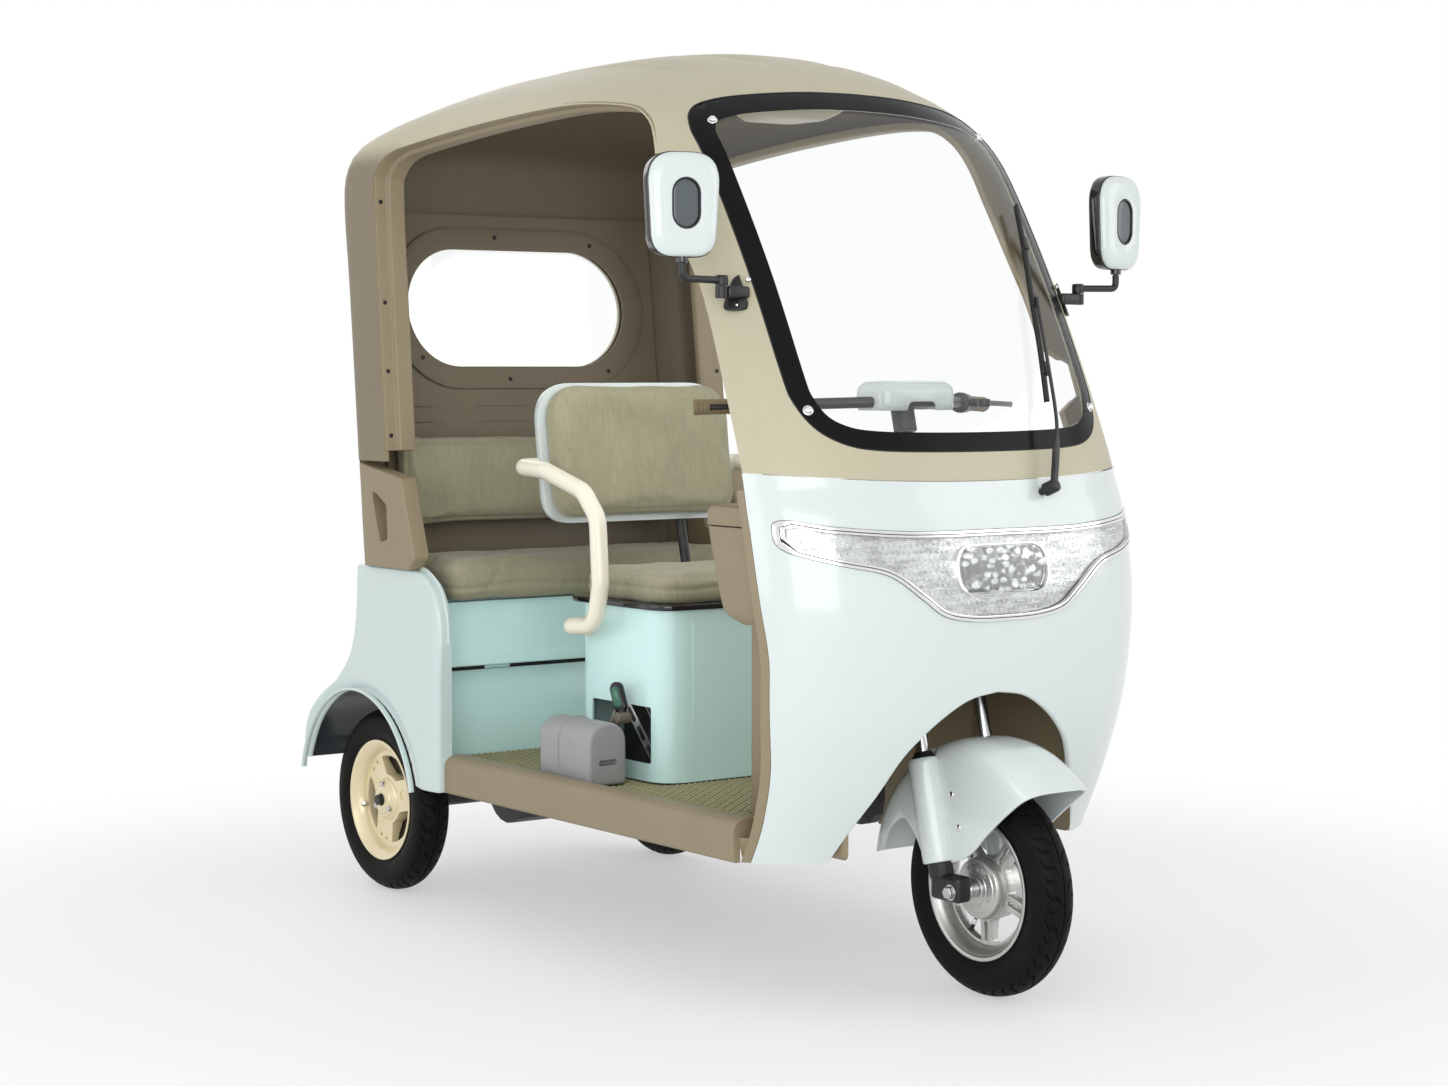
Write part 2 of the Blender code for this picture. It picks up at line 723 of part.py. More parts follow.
def wiper():
    pivot = wiper_pivot()
    along = wiper_direction()
    stand = 0.030
    root = pivot + WIPER_AXIS * stand
    arm = rod("wiper_arm", pivot - WIPER_AXIS * 0.03, pivot + WIPER_AXIS * (stand + 0.008), 0.007)
    head = rod("join_wiper_head", pivot + WIPER_AXIS * 0.010, pivot + WIPER_AXIS * (stand + 0.010), 0.013)
    joint = root + along * 0.14 + WIPER_AXIS * 0.032
    blade_middle = pivot + along * WIPER_REACH + WIPER_AXIS * 0.067
    strap = tube("join_wiper_strap", [root, joint, blade_middle], 0.0062)
    join(arm, head, strap)
    hang_on(arm, pivot)
    dress(arm, BLACK)
    low = blade_middle - along * 0.235 - WIPER_AXIS * 0.020
    high = blade_middle + along * 0.235 - WIPER_AXIS * 0.009
    blade = rod("wiper_blade", low, high, 0.0055, sides=10)
    hang_on(blade, pivot)
    dress(blade, BLACK)
    return arm, blade


# Front lining and chassis

SHIELD_WALL = 0.008
TUNNEL_HALF_WIDTH = 0.293
TUNNEL_BACK = 0.385
COLUMN_RADIUS = 0.0125
HEAD_TUBE_LOW = 0.625
HEAD_TUBE_HIGH = 0.800
SHIELD_TOP = 0.985


def leg_shield():
    edge = [(0.178, 0.984), (0.148, 0.90), (0.118, 0.76), (0.104, 0.68)] + DOOR_FRONT
    front = [(after_front(d + JOINT_GAP), z) for d, z in edge]
    back = [(after_front(d + 0.018), z) for d, z in reversed(edge)]
    shield = slab("leg_shield", front + back, -0.47, 0.47, "X")
    settle(shield)
    keep_inside(shield, nose_solid("keep_shield", 0.0, 0.273, 0.99, after_front(0.5), 9))
    low = (-TUNNEL_HALF_WIDTH, after_front(0.078), 0.2755)
    high = (TUNNEL_HALF_WIDTH, after_front(TUNNEL_BACK), SHIELD_TOP)
    join(shield, block("join_tunnel", low, high, 0.012, 1))
    hollow_low = (low[0] + SHIELD_WALL, low[1] - 0.2, low[2] - 0.1)
    hollow_high = (high[0] - SHIELD_WALL, high[1] - SHIELD_WALL, high[2] - SHIELD_WALL)
    bins = []
    for side in (-1, 1):
        across = sorted((side * 0.298, side * 0.446))
        bin_low = (across[0], after_front(0.1335), 0.725)
        bin_high = (across[1], after_front(0.335), 0.948)
        bins.append((bin_low, bin_high))
        join(shield, block("join_bin", bin_low, bin_high, 0.012, 1))
    cut(shield, block("cut_tunnel", hollow_low, hollow_high))
    cut(shield, block("cut_backbone_notch", (-0.035, high[1] - 0.05, 0.2), (0.035, high[1] + 0.05, 0.322)))
    for bin_low, bin_high in bins:
        pocket_low = [v + SHIELD_WALL for v in bin_low]
        pocket_high = [v - SHIELD_WALL for v in bin_high]
        pocket_low[1] = after_front(0.02)
        cut(shield, block("cut_bin", pocket_low, pocket_high))
    bracket = block("join_pedal_bracket", (PEDAL_SIDE - 0.045, after_front(TUNNEL_BACK - 0.003),
                    PEDAL_PIVOT_Z - 0.014), (PEDAL_SIDE - 0.033, after_front(PEDAL_PIVOT + 0.014),
                    PEDAL_PIVOT_Z + 0.014))
    pin = rod("join_pedal_pin", (PEDAL_SIDE - 0.040, after_front(PEDAL_PIVOT), PEDAL_PIVOT_Z),
              (PEDAL_SIDE + 0.022, after_front(PEDAL_PIVOT), PEDAL_PIVOT_Z), 0.005)
    join(shield, bracket, pin)
    cut(shield, rod("cut_column", steering_point(0.90), steering_point(1.05), COLUMN_RADIUS + 0.010))
    return dress(shield, DARK_TAN)


PEDAL_SIDE = -0.130
PEDAL_PIVOT = 0.412
PEDAL_PIVOT_Z = 0.500
PEDAL_LENGTH = 0.105


def brake_pedal():
    pivot = Vector((PEDAL_SIDE, after_front(PEDAL_PIVOT), PEDAL_PIVOT_Z))
    boss = rod("brake_pedal", pivot - Vector((0.018, 0, 0)), pivot + Vector((0.018, 0, 0)), 0.011)
    foot = pivot + Vector((0, 0.050, -PEDAL_LENGTH))
    stem = tube("join_pedal_stem", bent_path([pivot, pivot + Vector((0, 0.02, -0.06)), foot], 0.03),
                0.0065, 1)
    pad = block("join_pad", foot - Vector((0.035, 0.006, 0.022)), foot + Vector((0.035, 0.008, 0.022)),
                0.003)
    join(boss, stem, pad)
    cut(boss, rod("cut_pedal_bore", pivot - Vector((0.05, 0, 0)), pivot + Vector((0.05, 0, 0)), 0.0054))
    hang_on(boss, pivot)
    return dress(boss, STEEL)


RAIL_SIDE = 0.190
RAIL_RADIUS = 0.019
RAIL_HEIGHT = FLOOR_TOP - 0.008 - GAP - RAIL_RADIUS
REAR_RAIL_HEIGHT = 0.440
REAR_TIE = (0.118, 0.4557)
CROSS_RADIUS = 0.015
SPRING_SIDE = 0.245


def chassis_frame():
    def rail(side):
        x = side * RAIL_SIDE
        route = [(x, after_front(0.42), RAIL_HEIGHT), (x, after_rear(-0.20), RAIL_HEIGHT),
                 (x, after_rear(-0.11), REAR_RAIL_HEIGHT), (x, after_rear(0.125), REAR_RAIL_HEIGHT)]
        return bent_path(route, 0.06)

    def cross(y, z, half):
        return rod("join_cross", (-half, y, z), (half, y, z), CROSS_RADIUS, sides=10)

    frame = tube("chassis_frame", rail(1), RAIL_RADIUS, 1)
    join(frame, tube("join_rail", rail(-1), RAIL_RADIUS, 1))
    join(frame, cross(after_front(0.42), RAIL_HEIGHT, 0.40),
         cross(after_front(0.92), RAIL_HEIGHT, 0.40),
         cross(after_rear(-0.30), RAIL_HEIGHT, 0.40),
         cross(after_rear(REAR_TIE[0]), REAR_TIE[1], 0.30),
         cross(after_rear(0.0), REAR_RAIL_HEIGHT, 0.27))
    riser = [(0, after_front(0.424), RAIL_HEIGHT - 0.001), (0, after_front(0.345), RAIL_HEIGHT),
             (0, after_front(0.345), 0.58), tuple(steering_point(0.712) + Vector((0, 0.018, -0.013)))]
    join(frame, tube("join_backbone", bent_path(riser, 0.05), RAIL_RADIUS, 1))
    low, high = steering_point(HEAD_TUBE_LOW), steering_point(HEAD_TUBE_HIGH)
    join(frame, rod("join_head_tube", low, high, 0.025, sides=16))
    along = (high - low).normalized()
    cut(frame, rod("cut_head_bore", low - along * 0.1, high + along * 0.1, COLUMN_RADIUS + 0.0008))
    return dress(frame, STEEL)


def plan_outline(right_half):
    """A whole plan from its right half, which runs from the front centre to the rear one."""
    return right_half + [(-x, y) for x, y in reversed(right_half) if abs(x) > 1e-6]


SILL_HALF_WIDTH = 0.452
SILL_WIDTH = 0.052


def floor_pan():
    notch = TUNNEL_HALF_WIDTH + GAP
    front, notch_back = after_front(0.2185), after_front(TUNNEL_BACK + GAP)
    rear, rear_side = after_rear(-BENCH_FRONT + 0.027), after_rear(-0.3505)
    inner = BENCH_HALF_WIDTH - 0.003
    plan = plan_outline([(0.0, notch_back), (notch, notch_back), (notch, front),
                         (SILL_HALF_WIDTH, front), (SILL_HALF_WIDTH, rear_side), (0.0, rear_side)])
    pan = slab("floor_pan", plan, SILL_BOTTOM, SILL_TOP, "Z")
    round_edges(pan, 0.008, 2)
    settle(pan)
    well = SILL_HALF_WIDTH - SILL_WIDTH
    cut(pan, block("cut_floor_top", (-well, front - 0.1, FLOOR_TOP), (well, rear + 0.1, SILL_TOP + 0.1)))
    under = SILL_HALF_WIDTH - 0.015
    cut(pan, block("cut_floor_under", (-under, front - 0.1, SILL_BOTTOM - 0.1),
                   (under, rear + 0.1, FLOOR_TOP - 0.008)))
    join(pan, block("join_floor_tail", (-inner, rear_side - 0.010, FLOOR_TOP - 0.008),
                    (inner, rear, FLOOR_TOP)))
    return dress(pan, TAN)


def mat_top():
    return FLOOR_TOP + GAP + MAT_THICKNESS


def floor_mat():
    well = SILL_HALF_WIDTH - SILL_WIDTH - 0.001
    notch = TUNNEL_HALF_WIDTH + 0.002
    plan = plan_outline([(0.0, after_front(TUNNEL_BACK + 0.002)), (notch, after_front(TUNNEL_BACK + 0.002)),
                         (notch, after_front(0.235)), (well, after_front(0.235)),
                         (well, after_rear(-BENCH_FRONT + 0.0135)),
                         (0.0, after_rear(-BENCH_FRONT + 0.0135))])
    mat = slab("floor_mat", plan, FLOOR_TOP + GAP, mat_top(), "Z")
    return dress(mat, TAN)


# Rear body, bench and rear wall

REAR_PANEL = BENCH_FRONT - 0.015        # front face of the bench's panel, ahead of the rear axle
ARCH_RADIUS = 0.258
REAR_BODY_OUTLINE = [
    (-0.350, SILL_BOTTOM), (-0.350, 0.600), (-0.343, 0.665), (-0.318, 0.718), (-0.270, 0.750),
    (-0.230, 0.7575), (0.030, 0.7575), (0.024, 0.640), (0.040, 0.560), (0.090, 0.495),
    (0.170, 0.450), (0.232, 0.400), (0.262, 0.340), (REAR_REACH, 0.285),
]


def rear_body_outline(grow):
    return [(after_rear(y), z) for y, z in offset_outline(REAR_BODY_OUTLINE, grow)]


def rear_body():
    body = slab("rear_body", rear_body_outline(0.0), -BODY_HALF_WIDTH, BODY_HALF_WIDTH, "X")
    round_edges(body, 0.018, 2, 60)
    settle(body)
    wall = 0.005
    inner_outline = [(y, z) for y, z in rear_body_outline(-wall)]
    low_front, low_back = inner_outline[0], inner_outline[-1]
    inner_outline = [(low_front[0], 0.15)] + inner_outline[1:-1] + [(low_back[0], 0.15)]
    half = BODY_HALF_WIDTH - wall
    cut(body, slab("cut_rear_inside", inner_outline, -half, half, "X"))
    ledge = BENCH_HALF_WIDTH + 0.002
    cut(body, block("cut_rear_middle", (-ledge, after_rear(-0.5), 0.1),
                    (ledge, after_rear(0.012), 0.9)))
    for side in (-1, 1):
        ring = []
        for i in range(17):
            angle = math.radians(-4 + 188 * i / 16)
            reach = ARCH_RADIUS + 0.024 - 0.0185 * max(math.cos(angle), 0.0)
            ring.append((after_rear(reach * math.cos(angle)), TYRE_RADIUS + reach * math.sin(angle) + 0.085
                         * max(0.0, -math.sin(angle))))
        across = sorted((side * (BODY_HALF_WIDTH - 0.004), side * (BODY_HALF_WIDTH + 0.012)))
        lip = slab("join_arch_lip", ring, *across, "X")
        join(body, lip)
    for side in (-1, 1):
        cut(body, rod("cut_rear_arch", (side * 0.33, REAR_AXLE_Y, TYRE_RADIUS),
                      (side * 0.60, REAR_AXLE_Y, TYRE_RADIUS), ARCH_RADIUS, sides=40))
    cut(body, block("cut_below_sill", (-1, after_rear(-0.40), 0.0), (1, after_rear(0.5), SILL_BOTTOM)))
    return dress(body, MINT)


def tail_lamp(name, side):
    across = sorted((side * 0.345, side * 0.425))
    lamp = block(name, (across[0], after_rear(0.010), 0.640), (across[1], after_rear(0.048), 0.725), 0.006)
    cut(lamp, slab("cut_" + name, rear_body_outline(GAP), -0.5, 0.5, "X"))
    return dress(lamp, RED)


def bench_box():
    foot = FLOOR_TOP + GAP
    front = after_rear(-REAR_PANEL)
    panel = block("bench_box", (-BENCH_HALF_WIDTH + 0.002, front, foot),
                  (BENCH_HALF_WIDTH - 0.002, front + 0.010, BENCH_TOP))
    case_low = (-0.375, front + 0.005, 0.500)
    case_high = (0.375, after_rear(-0.004), BENCH_TOP)
    join(panel, block("join_case", case_low, case_high))
    cut(panel, block("cut_case", (-0.369, front + 0.010, 0.506), (0.369, after_rear(-0.010), BENCH_TOP - 0.006)))
    cut(panel, block("cut_case_mouth", (-0.345, front - 0.1, 0.556), (0.345, front + 0.05, 0.664)))
    return dress(panel, MINT)


DOOR_LOW = 0.5385
DOOR_HIGH = 0.6840


def storage_door():
    front = after_rear(-REAR_PANEL) - 0.0325
    door = block("storage_door", (-0.400, front, DOOR_LOW), (0.400, front + 0.032, DOOR_HIGH), 0.004)
    pocket = block("cut_door_pocket", (-0.345, front + 0.006, DOOR_LOW + 0.018),
                   (0.345, front + 0.1, DOOR_HIGH - 0.018))
    cut(door, pocket)
    hang_on(door, (0, front + 0.004, DOOR_LOW + 0.002))
    return dress(door, MINT)


def cushion(name, low, high, bevel=0.02):
    """A plain padded block: the place and size of the soft part."""
    return dress(block(name, low, high, bevel, 2), FABRIC)


def bench_cushion():
    return cushion("bench_cushion", (-BENCH_HALF_WIDTH + 0.010, after_rear(-0.325), BENCH_TOP + GAP),
                   (BENCH_HALF_WIDTH - 0.010, after_rear(-0.020), BENCH_TOP + 0.092), 0.028)


WALL_FOOT = 0.762
WALL_TOP = 1.600
WALL_INSET = 0.0150                     # from the cab's outer skin to the wall's rear face
WALL_THICKNESS = 0.012
PAD_THICKNESS = 0.058
LINING_LEVELS = CAB_LEVELS_INSIDE[:7]


def lining(name, outline, inset, thickness):
    """A layer inside the cab's rear that follows its curve, cut to an outline seen from behind."""
    layer = slab(name, outline, after_rear(-0.16), after_rear(0.20), "Y")
    settle(layer)
    keep_inside(layer, cab_solid("keep_" + name, inset, LINING_LEVELS))
    cut(layer, cab_solid("cut_" + name, inset + thickness, LINING_LEVELS))
    return settle(layer)


def window_outline(grow):
    return shifted(stadium(WINDOW_HALF_WIDTH + grow, WINDOW_HALF_HEIGHT + grow), 0, WINDOW_HEIGHT)


def rear_wall():
    outline = rounded_outline([(-0.385, WALL_FOOT), (0.385, WALL_FOOT), (0.385, WALL_TOP),
                               (-0.385, WALL_TOP)], [0.01, 0.01, 0.06, 0.06])
    wall = lining("rear_wall", outline, WALL_INSET, WALL_THICKNESS)
    join(wall, lining("join_band", window_outline(0.052), WALL_INSET + 0.004, WALL_THICKNESS + 0.002))
    cut(wall, slab("cut_band_window", window_outline(-0.002), after_rear(-0.2), after_rear(0.3), "Y"))
    return dress(wall, DARK_TAN)


def rear_window_pane():
    return dress(lining("rear_window_pane", window_outline(0.022), CAB_WALL + GAP, 0.0035), CLEAR)


def bench_backrest():
    outline = rounded_outline([(-0.385, 0.830), (0.385, 0.830), (0.385, 1.064), (-0.385, 1.064)], 0.035, 3)
    inset = WALL_INSET + WALL_THICKNESS + 0.001
    return dress(lining("bench_backrest", outline, inset, PAD_THICKNESS), FABRIC)


GUARD_OUTLINE = [(-0.003, 0.9950), (-0.036, 0.7585), (-0.238, 0.7585), (-0.264, 0.785), (-0.205, 0.962)]
GUARD_HOLE = [(-0.066, 0.937), (-0.138, 0.899), (-0.142, 0.822), (-0.108, 0.815)]


def side_guard(name, side):
    across = sorted((side * (BODY_HALF_WIDTH - 0.002), side * (BENCH_HALF_WIDTH + 0.004)))
    outline = rounded_outline([(after_rear(y), z) for y, z in GUARD_OUTLINE], 0.012, 2)
    guard = settle(round_edges(slab(name, outline, *across, "X"), 0.005, 2, 60))
    hole = rounded_outline([(after_rear(y), z) for y, z in GUARD_HOLE], 0.012, 2)
    cut(guard, slab("cut_" + name, hole, -0.6, 0.6, "X"))
    keep_inside(guard, cab_solid("keep_" + name, 0.001, CAB_LEVELS_INSIDE[:4]))
    return dress(guard, TAN)


# Driver's seat

SEAT_BACK = SEAT_FRONT + SEAT_LENGTH
SEAT_CORNER = 0.070
SEAT_BOX_WALL = 0.004
SEAT_BASE_THICKNESS = 0.0125
WINDOW_IN_BOX = ((0.800, 0.375), (1.020, 0.375), (1.020, 0.495), (0.800, 0.495))


def seat_plan(front, back, half, corner_radius, grow=0.0):
    outline = [(-half - grow, after_front(front - grow)), (half + grow, after_front(front - grow)),
               (half + grow, after_front(back + grow)), (-half - grow, after_front(back + grow))]
    return rounded_outline(outline, corner_radius, 5)


def seat_box():
    foot = mat_top() + GAP
    outer = seat_plan(SEAT_FRONT, SEAT_BACK, SEAT_HALF_WIDTH, SEAT_CORNER)
    inner = seat_plan(SEAT_FRONT, SEAT_BACK, SEAT_HALF_WIDTH, SEAT_CORNER, -SEAT_BOX_WALL)
    box = soften(slab("seat_box", outer, foot, SEAT_BOX_TOP, "Z"))
    cut(box, slab("cut_seat_box", inner, foot - 0.1, SEAT_BOX_TOP + 0.1, "Z"))
    outline = rounded_outline([(after_front(y), z) for y, z in WINDOW_IN_BOX], 0.010, 2)
    cut(box, slab("cut_box_window", outline, -0.5, 0.0, "X"))
    return dress(box, MINT)


def battery_pack():
    foot = mat_top() + GAP
    pack = block("battery_pack", (-0.140, after_front(SEAT_FRONT + 0.040), foot),
                 (0.205, after_front(SEAT_BACK - 0.040), foot + 0.300), 0.004, 1)
    return dress(pack, BLACK)


def seat_base():
    outline = seat_plan(SEAT_FRONT - 0.010, SEAT_BACK + 0.035, SEAT_HALF_WIDTH + 0.010, SEAT_CORNER)
    base = slab("seat_base", outline, SEAT_BOX_TOP + GAP, SEAT_BOX_TOP + GAP + SEAT_BASE_THICKNESS, "Z")
    hang_on(base, seat_hinge())
    return dress(base, BLACK)


def seat_hinge():
    return Vector((0, after_front(SEAT_FRONT - 0.008), SEAT_BOX_TOP + 0.002))


def seat_cushion():
    low = SEAT_BOX_TOP + 2 * GAP + SEAT_BASE_THICKNESS
    outline = seat_plan(SEAT_FRONT - 0.006, SEAT_BACK + 0.010, SEAT_HALF_WIDTH + 0.006, SEAT_CORNER)
    soft = slab("seat_cushion", outline, low, low + CUSHION_THICKNESS, "Z")
    round_edges(soft, 0.018, 2, 60)
    hang_on(soft, seat_hinge())
    return dress(soft, FABRIC)


BACKREST_LEAN = math.radians(8)
BACKREST_LOW = 0.880
BACKREST_HIGH = 1.175
BACKREST_FACE = 1.130


def lean_back(obj):
    settle(obj)
    foot = Vector((0, after_front(BACKREST_FACE), BACKREST_LOW))
    lean = Matrix.Translation(foot) @ Matrix.Rotation(-BACKREST_LEAN, 4, "X")
    obj.data.transform(lean @ Matrix.Translation(-foot))
    return obj


def backrest_cushion():
    soft = block("backrest_cushion", (-0.240, after_front(BACKREST_FACE), BACKREST_LOW),
                 (0.240, after_front(BACKREST_FACE + 0.056), BACKREST_HIGH), 0.022, 2)
    lean_back(soft)
    return dress(soft, FABRIC)


def backrest_shell():
    front, back = after_front(BACKREST_FACE + 0.0565), after_front(BACKREST_FACE + 0.0945)
    outline = rounded_outline([(-0.250, BACKREST_LOW - 0.008), (0.250, BACKREST_LOW - 0.008),
                               (0.250, BACKREST_HIGH + 0.010), (-0.250, BACKREST_HIGH + 0.010)], 0.045, 4)
    shell = soften(slab("backrest_shell", outline, front, back, "Y"))
    cut(shell, slab("cut_backrest", offset_outline(outline, -0.005), front + 0.005, back + 0.1, "Y"))
    lean_back(shell)
    for side in (-1, 1):
        x = side * 0.120
        foot = after_front(SEAT_BACK + 0.0125)
        post = tube("join_seat_post", bent_path([(x, foot, 0.590), (x, foot, 0.640),
                    (x, after_front(1.160), 0.700), (x, after_front(1.222), 0.960)], 0.04, 2), 0.0115, 1)
        join(shell, post)
    return dress(shell, MINT)


ARM_SIDE = 0.295
ARM_RADIUS = 0.019


def armrest(name, side):
    route = [(0.2515, 1.221, 0.990), (0.292, 1.221, 0.990), (ARM_SIDE, 1.120, 0.985),
             (ARM_SIDE, 0.970, 0.945), (ARM_SIDE, 0.915, 0.890), (ARM_SIDE, 0.905, 0.750),
             (ARM_SIDE, 0.925, 0.660), (ARM_SIDE, 1.030, 0.652), (0.2415, 1.030, 0.652)]
    points = [(side * x, after_front(y), z) for x, y, z in route]
    arm = tube(name, bent_path(points, 0.045), ARM_RADIUS)
    return dress(arm, CREAM)


# Parking brake

BRAKE_SIDE = (-0.392, -0.292)
BRAKE_PIVOT = Vector((0, 0.852, 0.470))


def parking_brake_housing():
    low, high = after_front(0.808), after_front(1.000)
    foot = mat_top() + GAP
    outline = rounded_outline([(low, foot), (high, foot), (high, 0.452), (low + 0.045, 0.478),
                               (low, 0.430)], [0.004, 0.004, 0.03, 0.04, 0.03], 3)
    housing = slab("parking_brake_housing", outline, *BRAKE_SIDE, "X")
    round_edges(housing, 0.006, 2, 50)
    settle(housing)
    middle = (BRAKE_SIDE[0] + BRAKE_SIDE[1]) / 2
    cut(housing, block("cut_brake_slot", (middle - 0.022, low - 0.05, 0.380), (middle + 0.022, low + 0.020, 0.392)))
    return dress(housing, GREY)


def parking_brake_lever():
    x = BRAKE_SIDE[1] + 0.022

    def spot(y, z):
        return Vector((x, after_front(y), z))

    pivot = spot(BRAKE_PIVOT.y, BRAKE_PIVOT.z)
    lever = rod("parking_brake_lever", pivot - Vector((0.0215, 0, 0)), pivot + Vector((0.012, 0, 0)), 0.012)
    claw = [pivot, spot(0.887, 0.464), spot(0.890, 0.436), spot(0.872, 0.392)]
    join(lever, tube("join_claw", bent_path(claw, 0.02, 3), 0.0085))
    join(lever, rod("join_brake_handle", spot(0.862, 0.474), spot(0.888, 0.535), 0.012, 0.015, 14))
    hang_on(lever, pivot)
    return dress(lever, GREY)


# Springs and rear axle

SPRING_LOW = TYRE_RADIUS + 0.0405
SPRING_HIGH = REAR_RAIL_HEIGHT - CROSS_RADIUS - GAP
SPRING_COIL = 0.026
SPRING_WIRE = 0.006


def rear_spring(name, side):
    turns, steps = 5, 8
    low, high = SPRING_LOW + SPRING_WIRE, SPRING_HIGH - SPRING_WIRE
    points = []
    for i in range(turns * steps + 1):
        share = i / (turns * steps)
        angle = 2 * math.pi * i / steps
        points.append((side * SPRING_SIDE + SPRING_COIL * math.cos(angle),
                       REAR_AXLE_Y + SPRING_COIL * math.sin(angle), low + (high - low) * share))
    return dress(tube(name, points, SPRING_WIRE, 0), STEEL)


WHEEL_SIDE = TRACK / 2
HUB_HALF = 0.032
STUB_RADIUS = 0.012


def rear_axle():
    centre = Vector((0, REAR_AXLE_Y, TYRE_RADIUS))

    def along(a, b, radius, name="join_axle", sides=16):
        return rod(name, centre + Vector((a, 0, 0)), centre + Vector((b, 0, 0)), radius, sides=sides)

    axle = along(-0.310, 0.310, 0.030, "rear_axle")
    join(axle, along(-0.075, 0.045, 0.088, sides=20), along(0.040, 0.150, 0.062))
    for side in (-1, 1):
        drum_in, drum_out = side * 0.300, side * 0.334
        join(axle, along(drum_in, drum_out, 0.088, sides=20))
        join(axle, along(side * 0.330, side * (WHEEL_SIDE + HUB_HALF + 0.010), STUB_RADIUS))
        x = side * SPRING_SIDE
        join(axle, block("join_spring_seat", (x - 0.034, REAR_AXLE_Y - 0.034, TYRE_RADIUS + 0.010),
                         (x + 0.034, REAR_AXLE_Y + 0.034, SPRING_LOW - GAP)))
    hang_on(axle, centre)
    return dress(axle, STEEL)


# Wheels

WHEEL_STEPS = 28


def tyre(name, centre):
    half = TYRE_WIDTH / 2
    outer = [(0.1285, 0.0290), (0.1430, 0.0325), (0.1720, half), (0.1940, 0.0370), (0.2065, 0.0210),
             (TYRE_RADIUS, 0.0)]
    inner = [(0.1285, 0.0225), (0.1800, 0.0300)]
    profile = outer + [(r, -a) for r, a in reversed(outer[:-1])]
    profile += [(r, -a) for r, a in inner] + [(r, a) for r, a in reversed(inner)]
    return wheel_piece(turned(name, profile, centre, WHEEL_STEPS), centre, RUBBER)


def wheel_piece(obj, centre, finish):
    """Turns a wheel's faceted ring so that a corner points straight down, and hangs it on its axle."""
    settle(obj)
    obj.data.transform(Matrix.Translation(-Vector(centre)))
    lowest = min(obj.data.vertices, key=lambda v: v.co.z).co
    turn = math.atan2(lowest.y, -lowest.z)
    obj.data.transform(Matrix.Rotation(-turn, 4, "X"))
    obj.matrix_world = Matrix.Translation(centre)
    soften(obj)
    return dress(obj, finish)


RIM_PROFILE = [
    (RIM_FLANGE_RADIUS, 0.0365), (RIM_FLANGE_RADIUS, 0.0335), (RIM_SEAT_RADIUS, 0.0325),
    (RIM_SEAT_RADIUS, -0.0325), (RIM_FLANGE_RADIUS, -0.0335), (RIM_FLANGE_RADIUS, -0.0365),
    (0.1310, -0.0365), (0.1180, -0.0250), (0.1090, -0.0080), (0.1090, 0.0080), (0.1180, 0.0250),
    (0.1310, 0.0365),
]


def polar(radius, degrees):
    angle = math.radians(degrees)
    return radius * math.sin(angle), -radius * math.cos(angle)


def spoke_windows(count, spoke_half, hub_edge, rim_edge, slot):
    """The gaps between the spokes of one wheel, and the slots that split each spoke in two."""
    pitch = 360 / count
    low_angle = math.degrees(math.asin(spoke_half / hub_edge))
    high_angle = math.degrees(math.asin(spoke_half / rim_edge))
    outlines = []
    for i in range(count):
        base = i * pitch
        gap = [(hub_edge, low_angle), (rim_edge, high_angle), (rim_edge, pitch / 3), (rim_edge, pitch * 2 / 3),
               (rim_edge, pitch - high_angle), (hub_edge, pitch - low_angle), (hub_edge, pitch / 2)]
        outlines.append([polar(r, base + a) for r, a in gap])
        if slot:
            slot_low = math.degrees(math.asin(slot / (hub_edge + 0.004)))
            slot_high = math.degrees(math.asin(slot / (rim_edge - 0.002)))
            outlines.append([polar(hub_edge + 0.004, base - slot_low), polar(rim_edge - 0.002, base - slot_high),
                             polar(rim_edge - 0.002, base + slot_high), polar(hub_edge + 0.004, base + slot_low)])
    return outlines


def rim(name, centre, finish, spokes):
    """A cast wheel: the rim, its hub, and a plate between them with the gaps cut out."""
    centre = Vector(centre)
    ring = settle(turned(name, RIM_PROFILE, centre, WHEEL_STEPS))
    count, spoke_half, hub_radius, slot, hub_half = spokes

    def along(half, radius, label, sides=WHEEL_STEPS):
        return rod(label, centre - Vector((half, 0, 0)), centre + Vector((half, 0, 0)), radius, sides=sides)

    join(ring, along(0.0095, 0.1135, "join_spoke_plate"))
    settle(ring)
    for number, outline in enumerate(spoke_windows(count, spoke_half, hub_radius + 0.004, 0.1070, slot)):
        outline = [(centre.y + y, centre.z + z) for y, z in outline]
        cut(ring, slab("cut_spoke_gap", outline, centre.x - 0.05, centre.x + 0.05, "X"))
    settle(ring)
    join(ring, along(hub_half, hub_radius, "join_hub", 20))
    bore = AXLE_RADIUS if centre.x == 0 else STUB_RADIUS
    cut(ring, along(0.1, bore + 0.0006, "cut_hub_bore", 12))
    return wheel_piece(ring, centre, finish)


FRONT_SPOKES = (5, 0.0135, 0.058, 0.0045, 0.040)
REAR_SPOKES = (3, 0.0260, 0.050, 0.0, HUB_HALF)


def front_centre():
    return Vector((0, FRONT_AXLE_Y, TYRE_RADIUS))


def rear_centre(side):
    return Vector((side * WHEEL_SIDE, REAR_AXLE_Y, TYRE_RADIUS))


def front_rim():
    return rim("front_rim", front_centre(), ALLOY, FRONT_SPOKES)


def front_tyre():
    return tyre("front_tyre", front_centre())


def rear_wheel(name, side):
    return (rim("rear_rim_" + name, rear_centre(side), CREAM, REAR_SPOKES),
            tyre("rear_tyre_" + name, rear_centre(side)))


# Front fork

